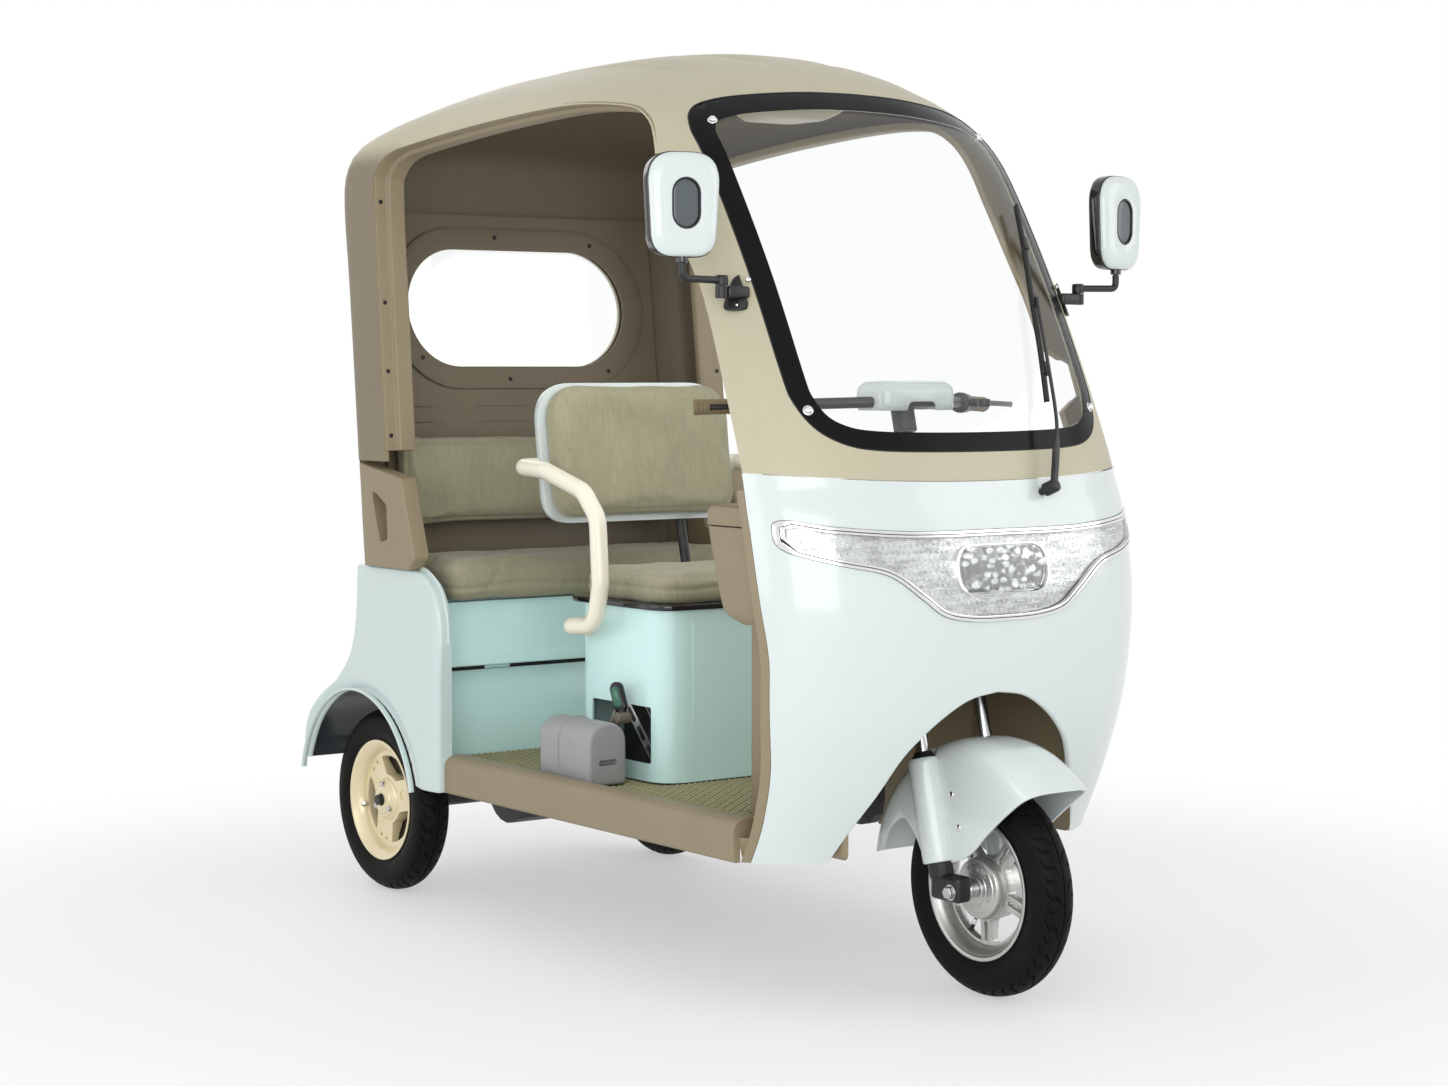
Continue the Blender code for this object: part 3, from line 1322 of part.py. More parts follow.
FORK_UP = Vector((0, math.sin(RAKE), math.cos(RAKE)))
FORK_TRAVEL = 0.050
CLAMP_LOW = 0.5815
CLAMP_HIGH = 0.6100
SLIDER_LOW = 0.228
SLIDER_HIGH = 0.455
SLIDER_FLOOR = SLIDER_LOW + 0.034
STANCHION_LOW = SLIDER_FLOOR + FORK_TRAVEL + 0.004
STEM_TOP = 1.112


def leg_point(side, height):
    return steering_point(height) + Vector((side * FORK_HALF_SPREAD, 0, 0))


def steering_fork():
    low, high = steering_point(CLAMP_LOW), steering_point(CLAMP_HIGH)
    middle = (low + high) / 2
    bm = bmesh.new()
    size = Matrix.Diagonal((2 * FORK_HALF_SPREAD + 0.052, 0.056, (high - low).length, 1.0))
    bmesh.ops.create_cube(bm, size=1.0, matrix=Matrix.Translation(middle) @ Matrix.Rotation(-RAKE, 4, "X") @ size)
    fork = round_edges(from_bmesh("steering_fork", bm), 0.012, 2)
    settle(fork)
    for side in (-1, 1):
        join(fork, rod("join_stanchion", leg_point(side, STANCHION_LOW), leg_point(side, CLAMP_HIGH - 0.004),
                       STANCHION_RADIUS, sides=18))
    join(fork, rod("join_stem", steering_point(CLAMP_HIGH - 0.006), steering_point(STEM_TOP),
                   COLUMN_RADIUS, sides=20))
    hang_on(fork, steering_point(HEAD_TUBE_LOW))
    return dress(fork, STEEL)


def fork_brace(name, grow):
    """The bridge between the two sliders, under the fender."""
    y = steering_point(0.443).y
    return block(name, (-0.066 - grow, y - 0.013 - grow, 0.437 - grow), (0.066 + grow, y + 0.013 + grow, 0.450 + grow))


def fork_sliders():
    sliders = None
    for side in (-1, 1):
        leg = rod("fork_sliders" if side < 0 else "join_slider", leg_point(side, SLIDER_LOW),
                  leg_point(side, SLIDER_HIGH), SLIDER_RADIUS, sides=18)
        sliders = join(sliders, leg) if sliders else leg
    join(sliders, fork_brace("join_fork_brace", 0.0))
    for side in (-1, 1):
        bore = rod("cut_slider_bore", leg_point(side, SLIDER_FLOOR), leg_point(side, SLIDER_HIGH + 0.05),
                   STANCHION_RADIUS + 0.001, sides=18)
        across = sorted((side * 0.062, side * 0.100))
        lug = block("join_axle_lug", (across[0], FRONT_AXLE_Y - 0.020, TYRE_RADIUS - 0.020),
                    (across[1], FRONT_AXLE_Y + 0.062, TYRE_RADIUS + 0.030), 0.007, 2)
        join(sliders, lug)
        cut(sliders, bore)
    cut(sliders, rod("cut_axle_bore", front_centre() - Vector((0.2, 0, 0)), front_centre() + Vector((0.2, 0, 0)),
                     AXLE_RADIUS + 0.0006, sides=16))
    hang_on(sliders, front_centre())
    return dress(sliders, STEEL)


def front_axle():
    axle = rod("front_axle", front_centre() - Vector((0.108, 0, 0)), front_centre() + Vector((0.108, 0, 0)),
               AXLE_RADIUS, sides=16)
    for side in (-1, 1):
        join(axle, rod("join_axle_nut", front_centre() + Vector((side * 0.1006, 0, 0)),
                       front_centre() + Vector((side * 0.112, 0, 0)), 0.013, sides=6))
    hang_on(axle, front_centre())
    return dress(axle, STEEL)


FENDER_RADIUS = 0.290
FENDER_CENTRE = Vector((0, -0.011, 0.002))      # from the axle
FENDER_HALF = 0.079
FENDER_WALL = 0.006
FENDER_EDGE = [
    (-0.330, 0.470), (-0.250, 0.437), (-0.190, 0.412), (-0.136, 0.376), (-0.080, 0.331), (-0.030, 0.285),
    (0.020, 0.263), (0.063, 0.2585), (0.104, 0.264), (0.130, 0.300), (0.165, 0.330), (0.205, 0.305),
    (0.235, 0.256), (0.320, 0.244), (0.320, 0.560), (-0.330, 0.560),
]


def fender_ring(name, radius, half, hub):
    """A drum about the front axle with rounded shoulders, or its inside."""
    profile = [(0.05, half), (radius - 0.050, half), (radius - 0.022, half * 0.93), (radius - 0.006, half * 0.68),
               (radius, half * 0.30), (radius, -half * 0.30), (radius - 0.006, -half * 0.68),
               (radius - 0.022, -half * 0.93), (radius - 0.050, -half), (0.05, -half)]
    return settle(turned(name, profile, hub, 28))


def front_fender():
    hub = front_centre() + FENDER_CENTRE
    fender = fender_ring("front_fender", FENDER_RADIUS, FENDER_HALF, hub)
    cut(fender, fender_ring("cut_fender_inside", FENDER_RADIUS - FENDER_WALL, FENDER_HALF - FENDER_WALL, hub))
    settle(fender)
    edge = [(after_front(y), z) for y, z in FENDER_EDGE]
    settle(keep_inside(fender, slab("keep_fender", edge, -0.2, 0.2, "X")))
    for side in (-1, 1):
        low, high = leg_point(side, 0.259), leg_point(side, SLIDER_HIGH)
        along = (high - low) * 0.3
        sleeve = rod("join_sleeve", low, high, SLIDER_RADIUS + 0.0085, sides=20)
        cut(sleeve, rod("cut_sleeve", low - along, high + along, SLIDER_RADIUS + 0.0015, sides=20))
        settle(sleeve)
        cut(fender, rod("cut_sleeve_room", low - along, high + along, SLIDER_RADIUS + 0.0040, sides=20))
        join(fender, sleeve)
        settle(fender)
    cut(fender, fork_brace("cut_fork_brace", 0.0012))
    hang_on(fender, front_centre())
    return dress(fender, MINT)


# Handlebar

BAR_BEND = (0.100, 0.250, BAR_HEIGHT + 0.010)
BAR_TIP = (BAR_HALF_WIDTH, 0.455, BAR_HEIGHT)
GRIP_START = 0.50
GRIP_END = 0.99
LEVER_START = 0.40


def bar_point(side, share):
    """A point of the handlebar's straight end, from its bend (0) to its tip (1)."""
    a = Vector((side * BAR_BEND[0], after_front(BAR_BEND[1]), BAR_BEND[2]))
    b = Vector((side * BAR_TIP[0], after_front(BAR_TIP[1]), BAR_TIP[2]))
    return a.lerp(b, share)


def bar_forward(side):
    """The level direction square to the handlebar's end, ahead of it."""
    along = (bar_point(side, 1) - bar_point(side, 0)).normalized()
    ahead = along.cross(Vector((0, 0, 1))).normalized()
    return ahead if ahead.y < 0 else -ahead


def handlebar():
    middle = (0, after_front(0.248), 1.141)
    route = [bar_point(-1, 0.985), bar_point(-1, 0), middle, bar_point(1, 0), bar_point(1, 0.985)]
    bar = tube("handlebar", bent_path(route, 0.04), BAR_RADIUS)
    top = steering_point(STEM_TOP)
    join(bar, rod("join_stem_clamp", top - FORK_UP * 0.034, top + FORK_UP * 0.034, COLUMN_RADIUS + 0.011, sides=20))
    join(bar, rod("join_left_grip", bar_point(1, GRIP_START), bar_point(1, GRIP_END), GRIP_RADIUS))
    for side in (-1, 1):
        base = bar_point(side, LEVER_START)
        out = base + bar_forward(side) * 0.034
        join(bar, rod("join_lever_perch", base, out, 0.009, sides=12),
             rod("join_switch_box", bar_point(side, LEVER_START - 0.07), bar_point(side, LEVER_START + 0.06), 0.021,
                 sides=12))
    settle(bar)
    cut(bar, rod("cut_stem_socket", top - FORK_UP * 0.2, top + FORK_UP * 0.0005, COLUMN_RADIUS + 0.0005, sides=20))
    hang_on(bar, steering_point(HEAD_TUBE_LOW))
    return dress(bar, BLACK)


def throttle_grip():
    grip = rod("throttle_grip", bar_point(-1, GRIP_START), bar_point(-1, GRIP_END), GRIP_RADIUS, sides=18)
    cut(grip, rod("cut_grip_bore", bar_point(-1, GRIP_START - 0.1), bar_point(-1, GRIP_END + 0.1),
                  BAR_RADIUS + 0.0006, sides=18))
    hang_on(grip, bar_point(-1, GRIP_START))
    return dress(grip, RUBBER)


def brake_lever(name, side):
    ahead = bar_forward(side)
    pivot = bar_point(side, LEVER_START) + ahead * 0.0475
    upright = Vector((0, 0, 1))
    lever = rod(name, pivot - upright * 0.008, pivot + upright * 0.008, 0.0115, sides=14)
    route = [pivot, bar_point(side, 0.52) + ahead * 0.052, bar_point(side, 0.72) + ahead * 0.062,
             bar_point(side, 0.90) + ahead * 0.066]
    join(lever, tube("join_lever_blade", bent_path(route, 0.10, 3), 0.0060))
    hang_on(lever, pivot)
    return dress(lever, BLACK)


def instrument_pod():
    low = (-0.095, after_front(0.205), 1.105)
    high = (0.095, after_front(0.312), 1.182)
    pod = block("instrument_pod", low, high, 0.020, 3)
    settle(pod)
    cut(pod, block("cut_pod", (-0.200, after_front(0.2115), 1.000), (0.200, after_front(0.3055), 1.1755)))
    for side in (-1, 1):
        across = sorted((side * 0.0885, side * 0.0952))
        join(pod, block("join_pod_cheek", (across[0], after_front(0.2112), 1.156),
                        (across[1], after_front(0.3058), 1.1757)))
    hang_on(pod, steering_point(HEAD_TUBE_LOW))
    return dress(pod, BLACK)


# Mirrors

MIRROR_HINGE = (0.457, 0.250, 1.350)
MIRROR_CENTRE = (0.555, 0.240, 1.508)
MIRROR_WIDTH = 0.150
MIRROR_HEIGHT = 0.195
MIRROR_DEPTH = 0.046
MIRROR_TURN = math.radians(12)


def mirror_spot(side, spot, up=0.0):
    return Vector((side * spot[0], after_front(spot[1]), spot[2] + up))


def mirror_bracket(name, side):
    hinge = mirror_spot(side, MIRROR_HINGE)
    across = sorted((side * 0.370, side * 0.450))
    bracket = block(name, (across[0], hinge.y - 0.016, hinge.z - 0.013), (across[1], hinge.y + 0.016, hinge.z + 0.011),
                    0.006, 2)
    join(bracket, rod("join_barrel", hinge - Vector((0, 0, 0.0128)), hinge + Vector((0, 0, 0.0105)), 0.0125, sides=16))
    cut(bracket, rod("cut_barrel", hinge - Vector((0, 0, 0.008)), hinge + Vector((0, 0, 0.05)), 0.0048, sides=12))
    cut(bracket, cab_solid("cut_" + name, -GAP, CAB_LEVELS_INSIDE))
    return dress(bracket, BLACK)


def mirror_arm(name, side):
    hinge = mirror_spot(side, MIRROR_HINGE, 0.011)
    neck = mirror_spot(side, (MIRROR_CENTRE[0], MIRROR_CENTRE[1], 1.400))
    arm = rod(name, hinge, hinge + Vector((0, 0, 0.020)), 0.0125, sides=16)
    join(arm, rod("join_arm_pin", hinge - Vector((0, 0, 0.016)), hinge + Vector((0, 0, 0.005)), 0.0042, sides=12))
    route = [hinge + Vector((0, 0, 0.010)), Vector((neck.x, neck.y, hinge.z + 0.011)), neck]
    join(arm, tube("join_arm_tube", bent_path(route, 0.014, 3), 0.0070))
    join(arm, rod("join_neck_pin", neck - Vector((0, 0, 0.002)), neck + Vector((0, 0, 0.030)), 0.0045, sides=12))
    hang_on(arm, hinge)
    return dress(arm, BLACK)


def mirror_outline(grow):
    """A rounded outline about the origin, narrower at its foot."""
    half, tall = MIRROR_WIDTH / 2 + grow, MIRROR_HEIGHT / 2 + grow
    corners = [(-half * 0.86, -tall), (half * 0.86, -tall), (half, tall), (-half, tall)]
    return rounded_outline(corners, [0.045, 0.045, 0.055, 0.055], 4)


def turn_mirror(obj, side):
    settle(obj)
    centre = mirror_spot(side, MIRROR_CENTRE)
    obj.data.transform(Matrix.Translation(centre) @ Matrix.Rotation(side * MIRROR_TURN, 4, "Z"))
    return obj


def mirror_head(name, side):
    half = MIRROR_DEPTH / 2
    head = slab(name, mirror_outline(0.0), -half, half, "Y")
    settle(round_edges(head, 0.014, 2, 60))
    cut(head, slab("cut_glass_seat", mirror_outline(-0.009), half - 0.004, half + 0.1, "Y"))
    turn_mirror(head, side)
    neck = mirror_spot(side, (MIRROR_CENTRE[0], MIRROR_CENTRE[1], 1.401))
    join(head, rod("join_neck", neck, neck + Vector((0, 0, 0.030)), 0.011, sides=16))
    cut(head, rod("cut_neck", neck - Vector((0, 0, 0.05)), neck + Vector((0, 0, 0.031)), 0.0051, sides=12))
    hang_on(head, mirror_spot(side, MIRROR_CENTRE))
    return dress(head, MINT)


def mirror_glass(name, side):
    half = MIRROR_DEPTH / 2
    glass = slab(name, mirror_outline(-0.0095), half - 0.0035, half - 0.0005, "Y")
    turn_mirror(glass, side)
    hang_on(glass, mirror_spot(side, MIRROR_CENTRE))
    return dress(glass, CHROME)


# The whole vehicle

def build():
    for piece in (cab_shell, windshield, front_cowl, headlamp, wiper, leg_shield, brake_pedal, chassis_frame,
                  floor_pan, floor_mat, rear_body, bench_box, storage_door, bench_cushion, rear_wall,
                  rear_window_pane, bench_backrest, seat_box, battery_pack, seat_base, seat_cushion,
                  backrest_cushion, backrest_shell, parking_brake_housing, parking_brake_lever, rear_axle,
                  front_rim, front_tyre, steering_fork, fork_sliders, front_axle, front_fender, handlebar,
                  throttle_grip, instrument_pod):
        piece()
    for word, side in (("right", -1), ("left", 1)):
        for label, piece in (("tail_lamp", tail_lamp), ("side_guard", side_guard), ("armrest", armrest),
                             ("rear_spring", rear_spring), ("brake_lever", brake_lever),
                             ("mirror_bracket", mirror_bracket), ("mirror_arm", mirror_arm),
                             ("mirror_head", mirror_head), ("mirror_glass", mirror_glass)):
            piece(label + "_" + word, side)
        rear_wheel(word, side)


if __name__ == "__main__":
    build()
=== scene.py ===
"""The looks of an electric passenger tricycle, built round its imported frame.

Units are metres. +Z is up, the vehicle faces -Y, and +X is its left side.
"""
import json
import math

import bmesh
import bpy
import numpy as np
from bpy.props import FloatProperty, FloatVectorProperty, IntProperty, PointerProperty
from bpy.types import Operator, Panel, PropertyGroup
from mathutils import Matrix, Vector, noise


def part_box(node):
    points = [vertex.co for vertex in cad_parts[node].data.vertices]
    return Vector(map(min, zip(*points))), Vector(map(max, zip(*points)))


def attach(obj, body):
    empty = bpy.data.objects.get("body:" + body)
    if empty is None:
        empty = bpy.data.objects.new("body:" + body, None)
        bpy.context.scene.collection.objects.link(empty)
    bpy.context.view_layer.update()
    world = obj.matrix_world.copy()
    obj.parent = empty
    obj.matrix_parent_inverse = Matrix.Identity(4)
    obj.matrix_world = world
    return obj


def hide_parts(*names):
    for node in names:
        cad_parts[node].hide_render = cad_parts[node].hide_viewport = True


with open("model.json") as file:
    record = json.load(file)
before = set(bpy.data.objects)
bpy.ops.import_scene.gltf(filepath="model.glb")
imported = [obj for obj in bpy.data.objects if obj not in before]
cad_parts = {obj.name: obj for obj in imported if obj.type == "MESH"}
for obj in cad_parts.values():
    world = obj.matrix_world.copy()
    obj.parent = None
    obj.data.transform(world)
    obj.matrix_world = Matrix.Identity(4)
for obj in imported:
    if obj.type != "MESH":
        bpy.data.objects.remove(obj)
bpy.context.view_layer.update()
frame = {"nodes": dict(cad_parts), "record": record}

bl_info = {
    "name": "Electric passenger tricycle",
    "version": (1, 0, 0),
    "blender": (4, 5, 0),
    "location": "3D View > Sidebar > Tricycle",
    "description": "Builds the finished surfaces of a roofed electric tricycle round its frame",
    "category": "Add Mesh",
}


def low(node):
    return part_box(node)[0]


def high(node):
    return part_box(node)[1]


def middle(node):
    return (low(node) + high(node)) / 2


# Sizes and colours that a user would change

def length(label, words, value):
    return FloatProperty(name=label, description=words, default=value, min=0.0, unit="LENGTH", precision=4)


def angle(label, words, degrees):
    return FloatProperty(name=label, description=words, default=math.radians(degrees), unit="ROTATION")


def share(label, words, value):
    return FloatProperty(name=label, description=words, default=value, min=0.0, max=1.0, subtype="FACTOR")


def colour(label, words, value):
    return FloatVectorProperty(name=label, description=words, default=value, size=3, min=0.0, max=1.0,
                               subtype="COLOR")


class TricycleSizes(PropertyGroup):
    """Sizes of the body and running gear, which start at the frame's own."""
    half_width: length("Half width", "Middle of the body to its side", high("rear_body").x - 0.012)
    belt: length("Belt height", "Joint between cab and cowl, on the centre line", 0.992)
    roof: length("Roof height", "Top of the roof", high("cab_shell").z)
    sill_low: length("Sill foot", "Lowest edge of the body", low("front_cowl").z)
    cab_wall: length("Cab wall", "Thickness of the cab moulding", 0.010)
    cowl_wall: length("Cowl wall", "Thickness of the cowl moulding", 0.005)
    seam: length("Panel seam", "Gap between painted panels", 0.0015)
    tyre_radius: length("Tyre radius", "Axle to tread", high("front_tyre").z / 2)
    tyre_half: length("Tyre half width", "Half the tyre's width", high("front_tyre").x)
    fork_spread: length("Fork half spread", "Centre line to a fork leg", 0.082)
    rake: angle("Rake", "Lean of the steering axis", 14.0)
    lobe: length("Roof groove depth", "Depth of the long grooves in the roof", 0.013)


class TricycleColours(PropertyGroup):
    """Colours of the finishes, as linear light."""
    mint: colour("Mint", "Glossy body paint", (0.662, 0.732, 0.722))
    # The body's mint darkened as painted shade, for the rear body
    rear_mint: colour("Rear mint", "Rear body", (0.575, 0.680, 0.665))
    inner_mint: colour("Inner mint", "Seat column and bench panels", (0.655, 0.915, 0.895))
    tan: colour("Tan", "Roof and pillars", (0.500, 0.465, 0.335))
    mid_tan: colour("Middle tan", "Door flanges, sill and guards", (0.270, 0.220, 0.137))
    dark_tan: colour("Dark tan", "Cab lining and rear wall", (0.140, 0.112, 0.072))
    mat: colour("Mat", "Floor mat", (0.365, 0.350, 0.198))
    fabric: colour("Fabric", "Seat covers", (0.305, 0.290, 0.192))
    cream: colour("Cream", "Armrests", (0.860, 0.825, 0.690))
    cream_rim: colour("Cream rim", "Rear wheels", (0.780, 0.680, 0.450))
    alloy: colour("Alloy", "Front wheel", (0.560, 0.555, 0.540))
    grey: colour("Grey", "Parking brake box and lever", (0.320, 0.320, 0.335))
    black: colour("Black", "Plastic fittings", (0.008, 0.008, 0.009))
    rubber: colour("Rubber", "Tyres and blades", (0.0050, 0.0047, 0.0042))
    chrome: colour("Chrome", "Headlamp trim and bolts", (0.80, 0.80, 0.81))
    red: colour("Red", "Tail lamps", (0.42, 0.012, 0.012))
    green: colour("Green", "Inset of the parking brake's handle", (0.010, 0.120, 0.070))


class TricycleSoft(PropertyGroup):
    """How the cushions are stuffed."""
    voxel: length("Voxel", "Size of the remeshed faces", 0.007)
    pressure: FloatProperty(name="Pressure", description="Stuffing pressure", default=4.0, min=0.0)
    frames: IntProperty(name="Frames", description="Length of the simulation", default=20, min=2)
    swell: length("Swell", "Most that a point of a cushion may move", 0.012)


class TricycleStage(PropertyGroup):
    """Where the picture is taken from, and its light."""
    eye: FloatVectorProperty(name="Eye", description="Place of the camera", default=(-3.515, -4.7725, 1.205),
                             size=3, subtype="XYZ", unit="LENGTH")
    heading: angle("Heading", "Turn of the camera from straight at the nose", 36.27)
    pitch: angle("Pitch", "How far the camera looks down", 3.62)
    lens: FloatProperty(name="Lens", description="Focal length in millimetres", default=68.4, min=1.0)
    sky: FloatProperty(name="Sky", description="Strength of the light from all round", default=0.72, min=0.0)
    lift: share("Floor lift", "How much of the floor's white doesn't take shadow", 0.45)
    key: FloatProperty(name="Key", description="Power of the large lamp in front", default=105.0, min=0.0)


def sizes():
    return bpy.context.scene.tricycle_sizes


def colours():
    return bpy.context.scene.tricycle_colours


def soft():
    return bpy.context.scene.tricycle_soft


def stage_setup():
    return bpy.context.scene.tricycle_stage


FRONT_AXLE_Y = middle("front_tyre").y
REAR_AXLE_Y = middle("rear_tyre_left").y
DRAWN_BELT = 0.992
DRAWN_ROOF = 1.876
DRAWN_WHEELBASE = 1.64
COWL_DEPTH = 0.31
AXLE_LEAD = 0.04


def after_front(distance):
    """Y of a point this far behind the front axle."""
    return FRONT_AXLE_Y + distance


def after_rear(distance):
    """Y of a point this far behind the rear axle."""
    return REAR_AXLE_Y + distance


def sided(side, spot):
    """A point given as across, behind the front axle and up, on the right (-1) or left (1)."""
    return Vector((side * spot[0], after_front(spot[1]), spot[2]))


# Shader expressions

class Value:
    """A shader socket that takes Python's own arithmetic."""

    def __init__(self, nodes, socket):
        self.nodes = nodes
        self.socket = socket

    def maths(self, operation, *values):
        return self.nodes.node("ShaderNodeMath", {"operation": operation}, dict(enumerate(values)))

    def __add__(self, other):
        return self.maths("ADD", self, other)

    def __radd__(self, other):
        return self.maths("ADD", other, self)

    def __sub__(self, other):
        return self.maths("SUBTRACT", self, other)

    def __rsub__(self, other):
        return self.maths("SUBTRACT", other, self)

    def __mul__(self, other):
        return self.maths("MULTIPLY", self, other)

    def __rmul__(self, other):
        return self.maths("MULTIPLY", other, self)

    def __truediv__(self, other):
        return self.maths("DIVIDE", self, other)

    def __rtruediv__(self, other):
        return self.maths("DIVIDE", other, self)

    def __pow__(self, other):
        return self.maths("POWER", self, other)

    def sine(self):
        return self.maths("SINE", self)

    def kept(self):
        """The value held between 0 and 1."""
        return self.nodes.node("ShaderNodeClamp", None, {0: self})

    def ramp(self, start, end):
        """0 up to start, 1 from end on, and smooth between."""
        return self.nodes.node("ShaderNodeMapRange", {"interpolation_type": "SMOOTHSTEP"},
                               {0: self, 1: start, 2: end})


class Nodes:
    """A node tree, and the one way in which nodes are added to it."""

    def __init__(self, tree):
        self.tree = tree

    def node(self, kind, settings=None, inputs=None, output=0):
        made = self.tree.nodes.new(kind)
        for key, value in (settings or {}).items():
            setattr(made, key, value)
        for key, value in (inputs or {}).items():
            if isinstance(value, Value):
                self.tree.links.new(value.socket, made.inputs[key])
            else:
                made.inputs[key].default_value = value
        return Value(self, made.outputs[output])

    def blend(self, factor, first, second, end):
        """Ends the tree in the first shader where the factor is 0 and in the second where it is 1."""
        made = self.node("ShaderNodeMixShader", None, {0: factor, 1: first, 2: second})
        self.tree.links.new(made.socket, self.tree.nodes[end].inputs["Surface"])

    def seen(self):
        """1 for rays of the camera, of gloss and of glass, and 0 for those that carry light."""
        camera_ray, *others = [self.node("ShaderNodeLightPath", None, None, name)
                               for name in ("Is Camera Ray", "Is Glossy Ray", "Is Transmission Ray")]
        for ray in others:
            camera_ray = ray.maths("MAXIMUM", camera_ray, ray)
        return camera_ray


class Finish(Nodes):
    """A procedural material of one Principled shader."""

    def __init__(self, name):
        self.material = bpy.data.materials.new(name)
        self.material.use_nodes = True
        super().__init__(self.material.node_tree)
        self.shader = self.tree.nodes["Principled BSDF"]
        self.gloss = Value(self, self.shader.outputs[0])

    def spot(self):
        """The place on the piece, in metres."""
        return self.node("ShaderNodeTexCoord", None, None, "Object")

    def axis(self, vector, name):
        return self.node("ShaderNodeSeparateXYZ", None, {0: vector}, name)

    def scaled(self, vector, by):
        return self.node("ShaderNodeVectorMath", {"operation": "MULTIPLY"}, {0: vector, 1: by})

    def noise(self, vector, scale, detail=2.0, roughness=0.5):
        return self.node("ShaderNodeTexNoise", None,
                         {"Vector": vector, "Scale": scale, "Detail": detail, "Roughness": roughness})

    def cells(self, vector, scale, feature="F1"):
        return self.node("ShaderNodeTexVoronoi", {"feature": feature}, {"Vector": vector, "Scale": scale})

    def mix(self, factor, a, b):
        """Colour a where the factor is 0 and colour b where it is 1."""
        settings = {"data_type": "RGBA"}
        paint = [c if isinstance(c, Value) else (*c[:3], 1.0) for c in (a, b)]
        return self.node("ShaderNodeMix", settings, {0: factor, 6: paint[0], 7: paint[1]}, 2)

    def coloured(self, factor, a, b):
        """Colours the finish from a where the factor is 0 to b where it is 1."""
        self.feed("Base Color", self.mix(factor, a, b))

    def bump(self, height, distance, strength=1.0):
        made = self.node("ShaderNodeBump", None,
                         {"Height": height, "Distance": distance, "Strength": strength})
        self.feed("Normal", made)

    def feed(self, name, value):
        self.tree.links.new(value.socket, self.shader.inputs[name])

    def fix(self, **constants):
        for name, value in constants.items():
            self.shader.inputs[name.replace("_", " ").title().replace("Ior", "IOR")].default_value = value


def tint(paint, factor):
    """The colour made lighter or darker by a factor."""
    return tuple(min(c * factor, 1.0) for c in paint)


FINISHES = {}


def finish_maker(maker, name=None):
    """Makes each finish once, under the function's own name or the one given."""
    name = name or maker.__name__

    def made():
        if name not in FINISHES:
            FINISHES[name] = maker(Finish(name)).material
        return FINISHES[name]
    return made


def plain_finish(name, kind, paint, *values):
    """A finish of one colour: the name of a colour of the settings, or the colour itself."""
    def maker(finish):
        return kind(finish, getattr(colours(), paint) if isinstance(paint, str) else paint, *values)
    return finish_maker(maker, name)


def gloss_paint(finish, paint, roughness):
    """Sprayed gloss: a faint cloudiness in the colour and an even, very fine ripple."""
    spot = finish.spot()
    cloud = finish.noise(spot, 3.0, 3.0)
    finish.coloured(cloud, tint(paint, 0.975), tint(paint, 1.02))
    haze = finish.noise(spot, 14.0, 4.0)
    finish.feed("Roughness", roughness + (haze - 0.5) * 0.06)
    finish.fix(coat_weight=0.35, coat_roughness=0.06, specular_ior_level=0.5)
    finish.bump(finish.noise(spot, 260.0, 1.0), 0.00012, 0.25)
    return finish


def moulded(finish, paint, roughness, grain_scale=900.0, depth=0.00025, second=None, place=None):
    """Moulded plastic: a fine leathery grain, with a second colour where the place is 1."""
    spot = finish.spot()
    patch = finish.noise(spot, 5.0, 4.0)
    fine = finish.noise(spot, 60.0, 3.0)
    shade = (patch * 0.7 + fine * 0.3)
    tone = finish.mix(shade, tint(paint, 0.90), tint(paint, 1.10))
    if second:
        tone = finish.mix(place, tone, finish.mix(shade, tint(second, 0.90), tint(second, 1.10)))
    finish.feed("Base Color", tone)
    finish.feed("Roughness", roughness + (fine - 0.5) * 0.12)
    grain = finish.cells(spot, grain_scale, "SMOOTH_F1")
    finish.bump(grain + fine * 0.4, depth, 0.55)
    return finish


mint_paint = plain_finish("mint_paint", gloss_paint, "mint", 0.20)
# Painted shade: the body's mint made darker for the rear body
rear_mint = plain_finish("rear_mint", gloss_paint, "rear_mint", 0.20)
inner_mint = plain_finish("inner_mint", gloss_paint, "inner_mint", 0.22)
cream_paint = plain_finish("cream_paint", gloss_paint, "cream", 0.26)
tan_moulding = plain_finish("tan_moulding", moulded, "tan", 0.42)
middle_tan_moulding = plain_finish("middle_tan_moulding", moulded, "mid_tan", 0.48)
dark_tan_moulding = plain_finish("dark_tan_moulding", moulded, "dark_tan", 0.55)
black_plastic = plain_finish("black_plastic", moulded, "black", 0.38, 1300.0, 0.00015)
black_gloss = plain_finish("black_gloss", gloss_paint, "black", 0.12)
black_rubber = plain_finish("black_rubber", moulded, "rubber", 0.62, 700.0, 0.0002)
grey_plastic = plain_finish("grey_plastic", moulded, "grey", 0.42, 1000.0, 0.0002)
dark_inset = plain_finish("dark_inset", gloss_paint, (0.045, 0.052, 0.056), 0.25)
green_inset = plain_finish("green_inset", gloss_paint, "green", 0.2)
warm_grey = plain_finish("warm_grey", moulded, (0.155, 0.130, 0.100), 0.45, 900.0, 0.0002)
olive_grip = plain_finish("olive_grip", moulded, (0.190, 0.150, 0.075), 0.6, 600.0, 0.0004)
battery_case = plain_finish("battery_case", moulded, (0.028, 0.028, 0.030), 0.5, 800.0, 0.0003)
slate_inset = plain_finish("slate_inset", gloss_paint, (0.075, 0.092, 0.098), 0.22)


@finish_maker
def band_black(finish):
    """The printed band round the windscreen."""
    spot = finish.spot()
    finish.coloured(finish.noise(spot, 20.0), (0.004, 0.004, 0.004), (0.008, 0.008, 0.009))
    finish.feed("Roughness", 0.16 + finish.noise(spot, 12.0) * 0.08)
    finish.fix(specular_ior_level=0.10)
    return finish


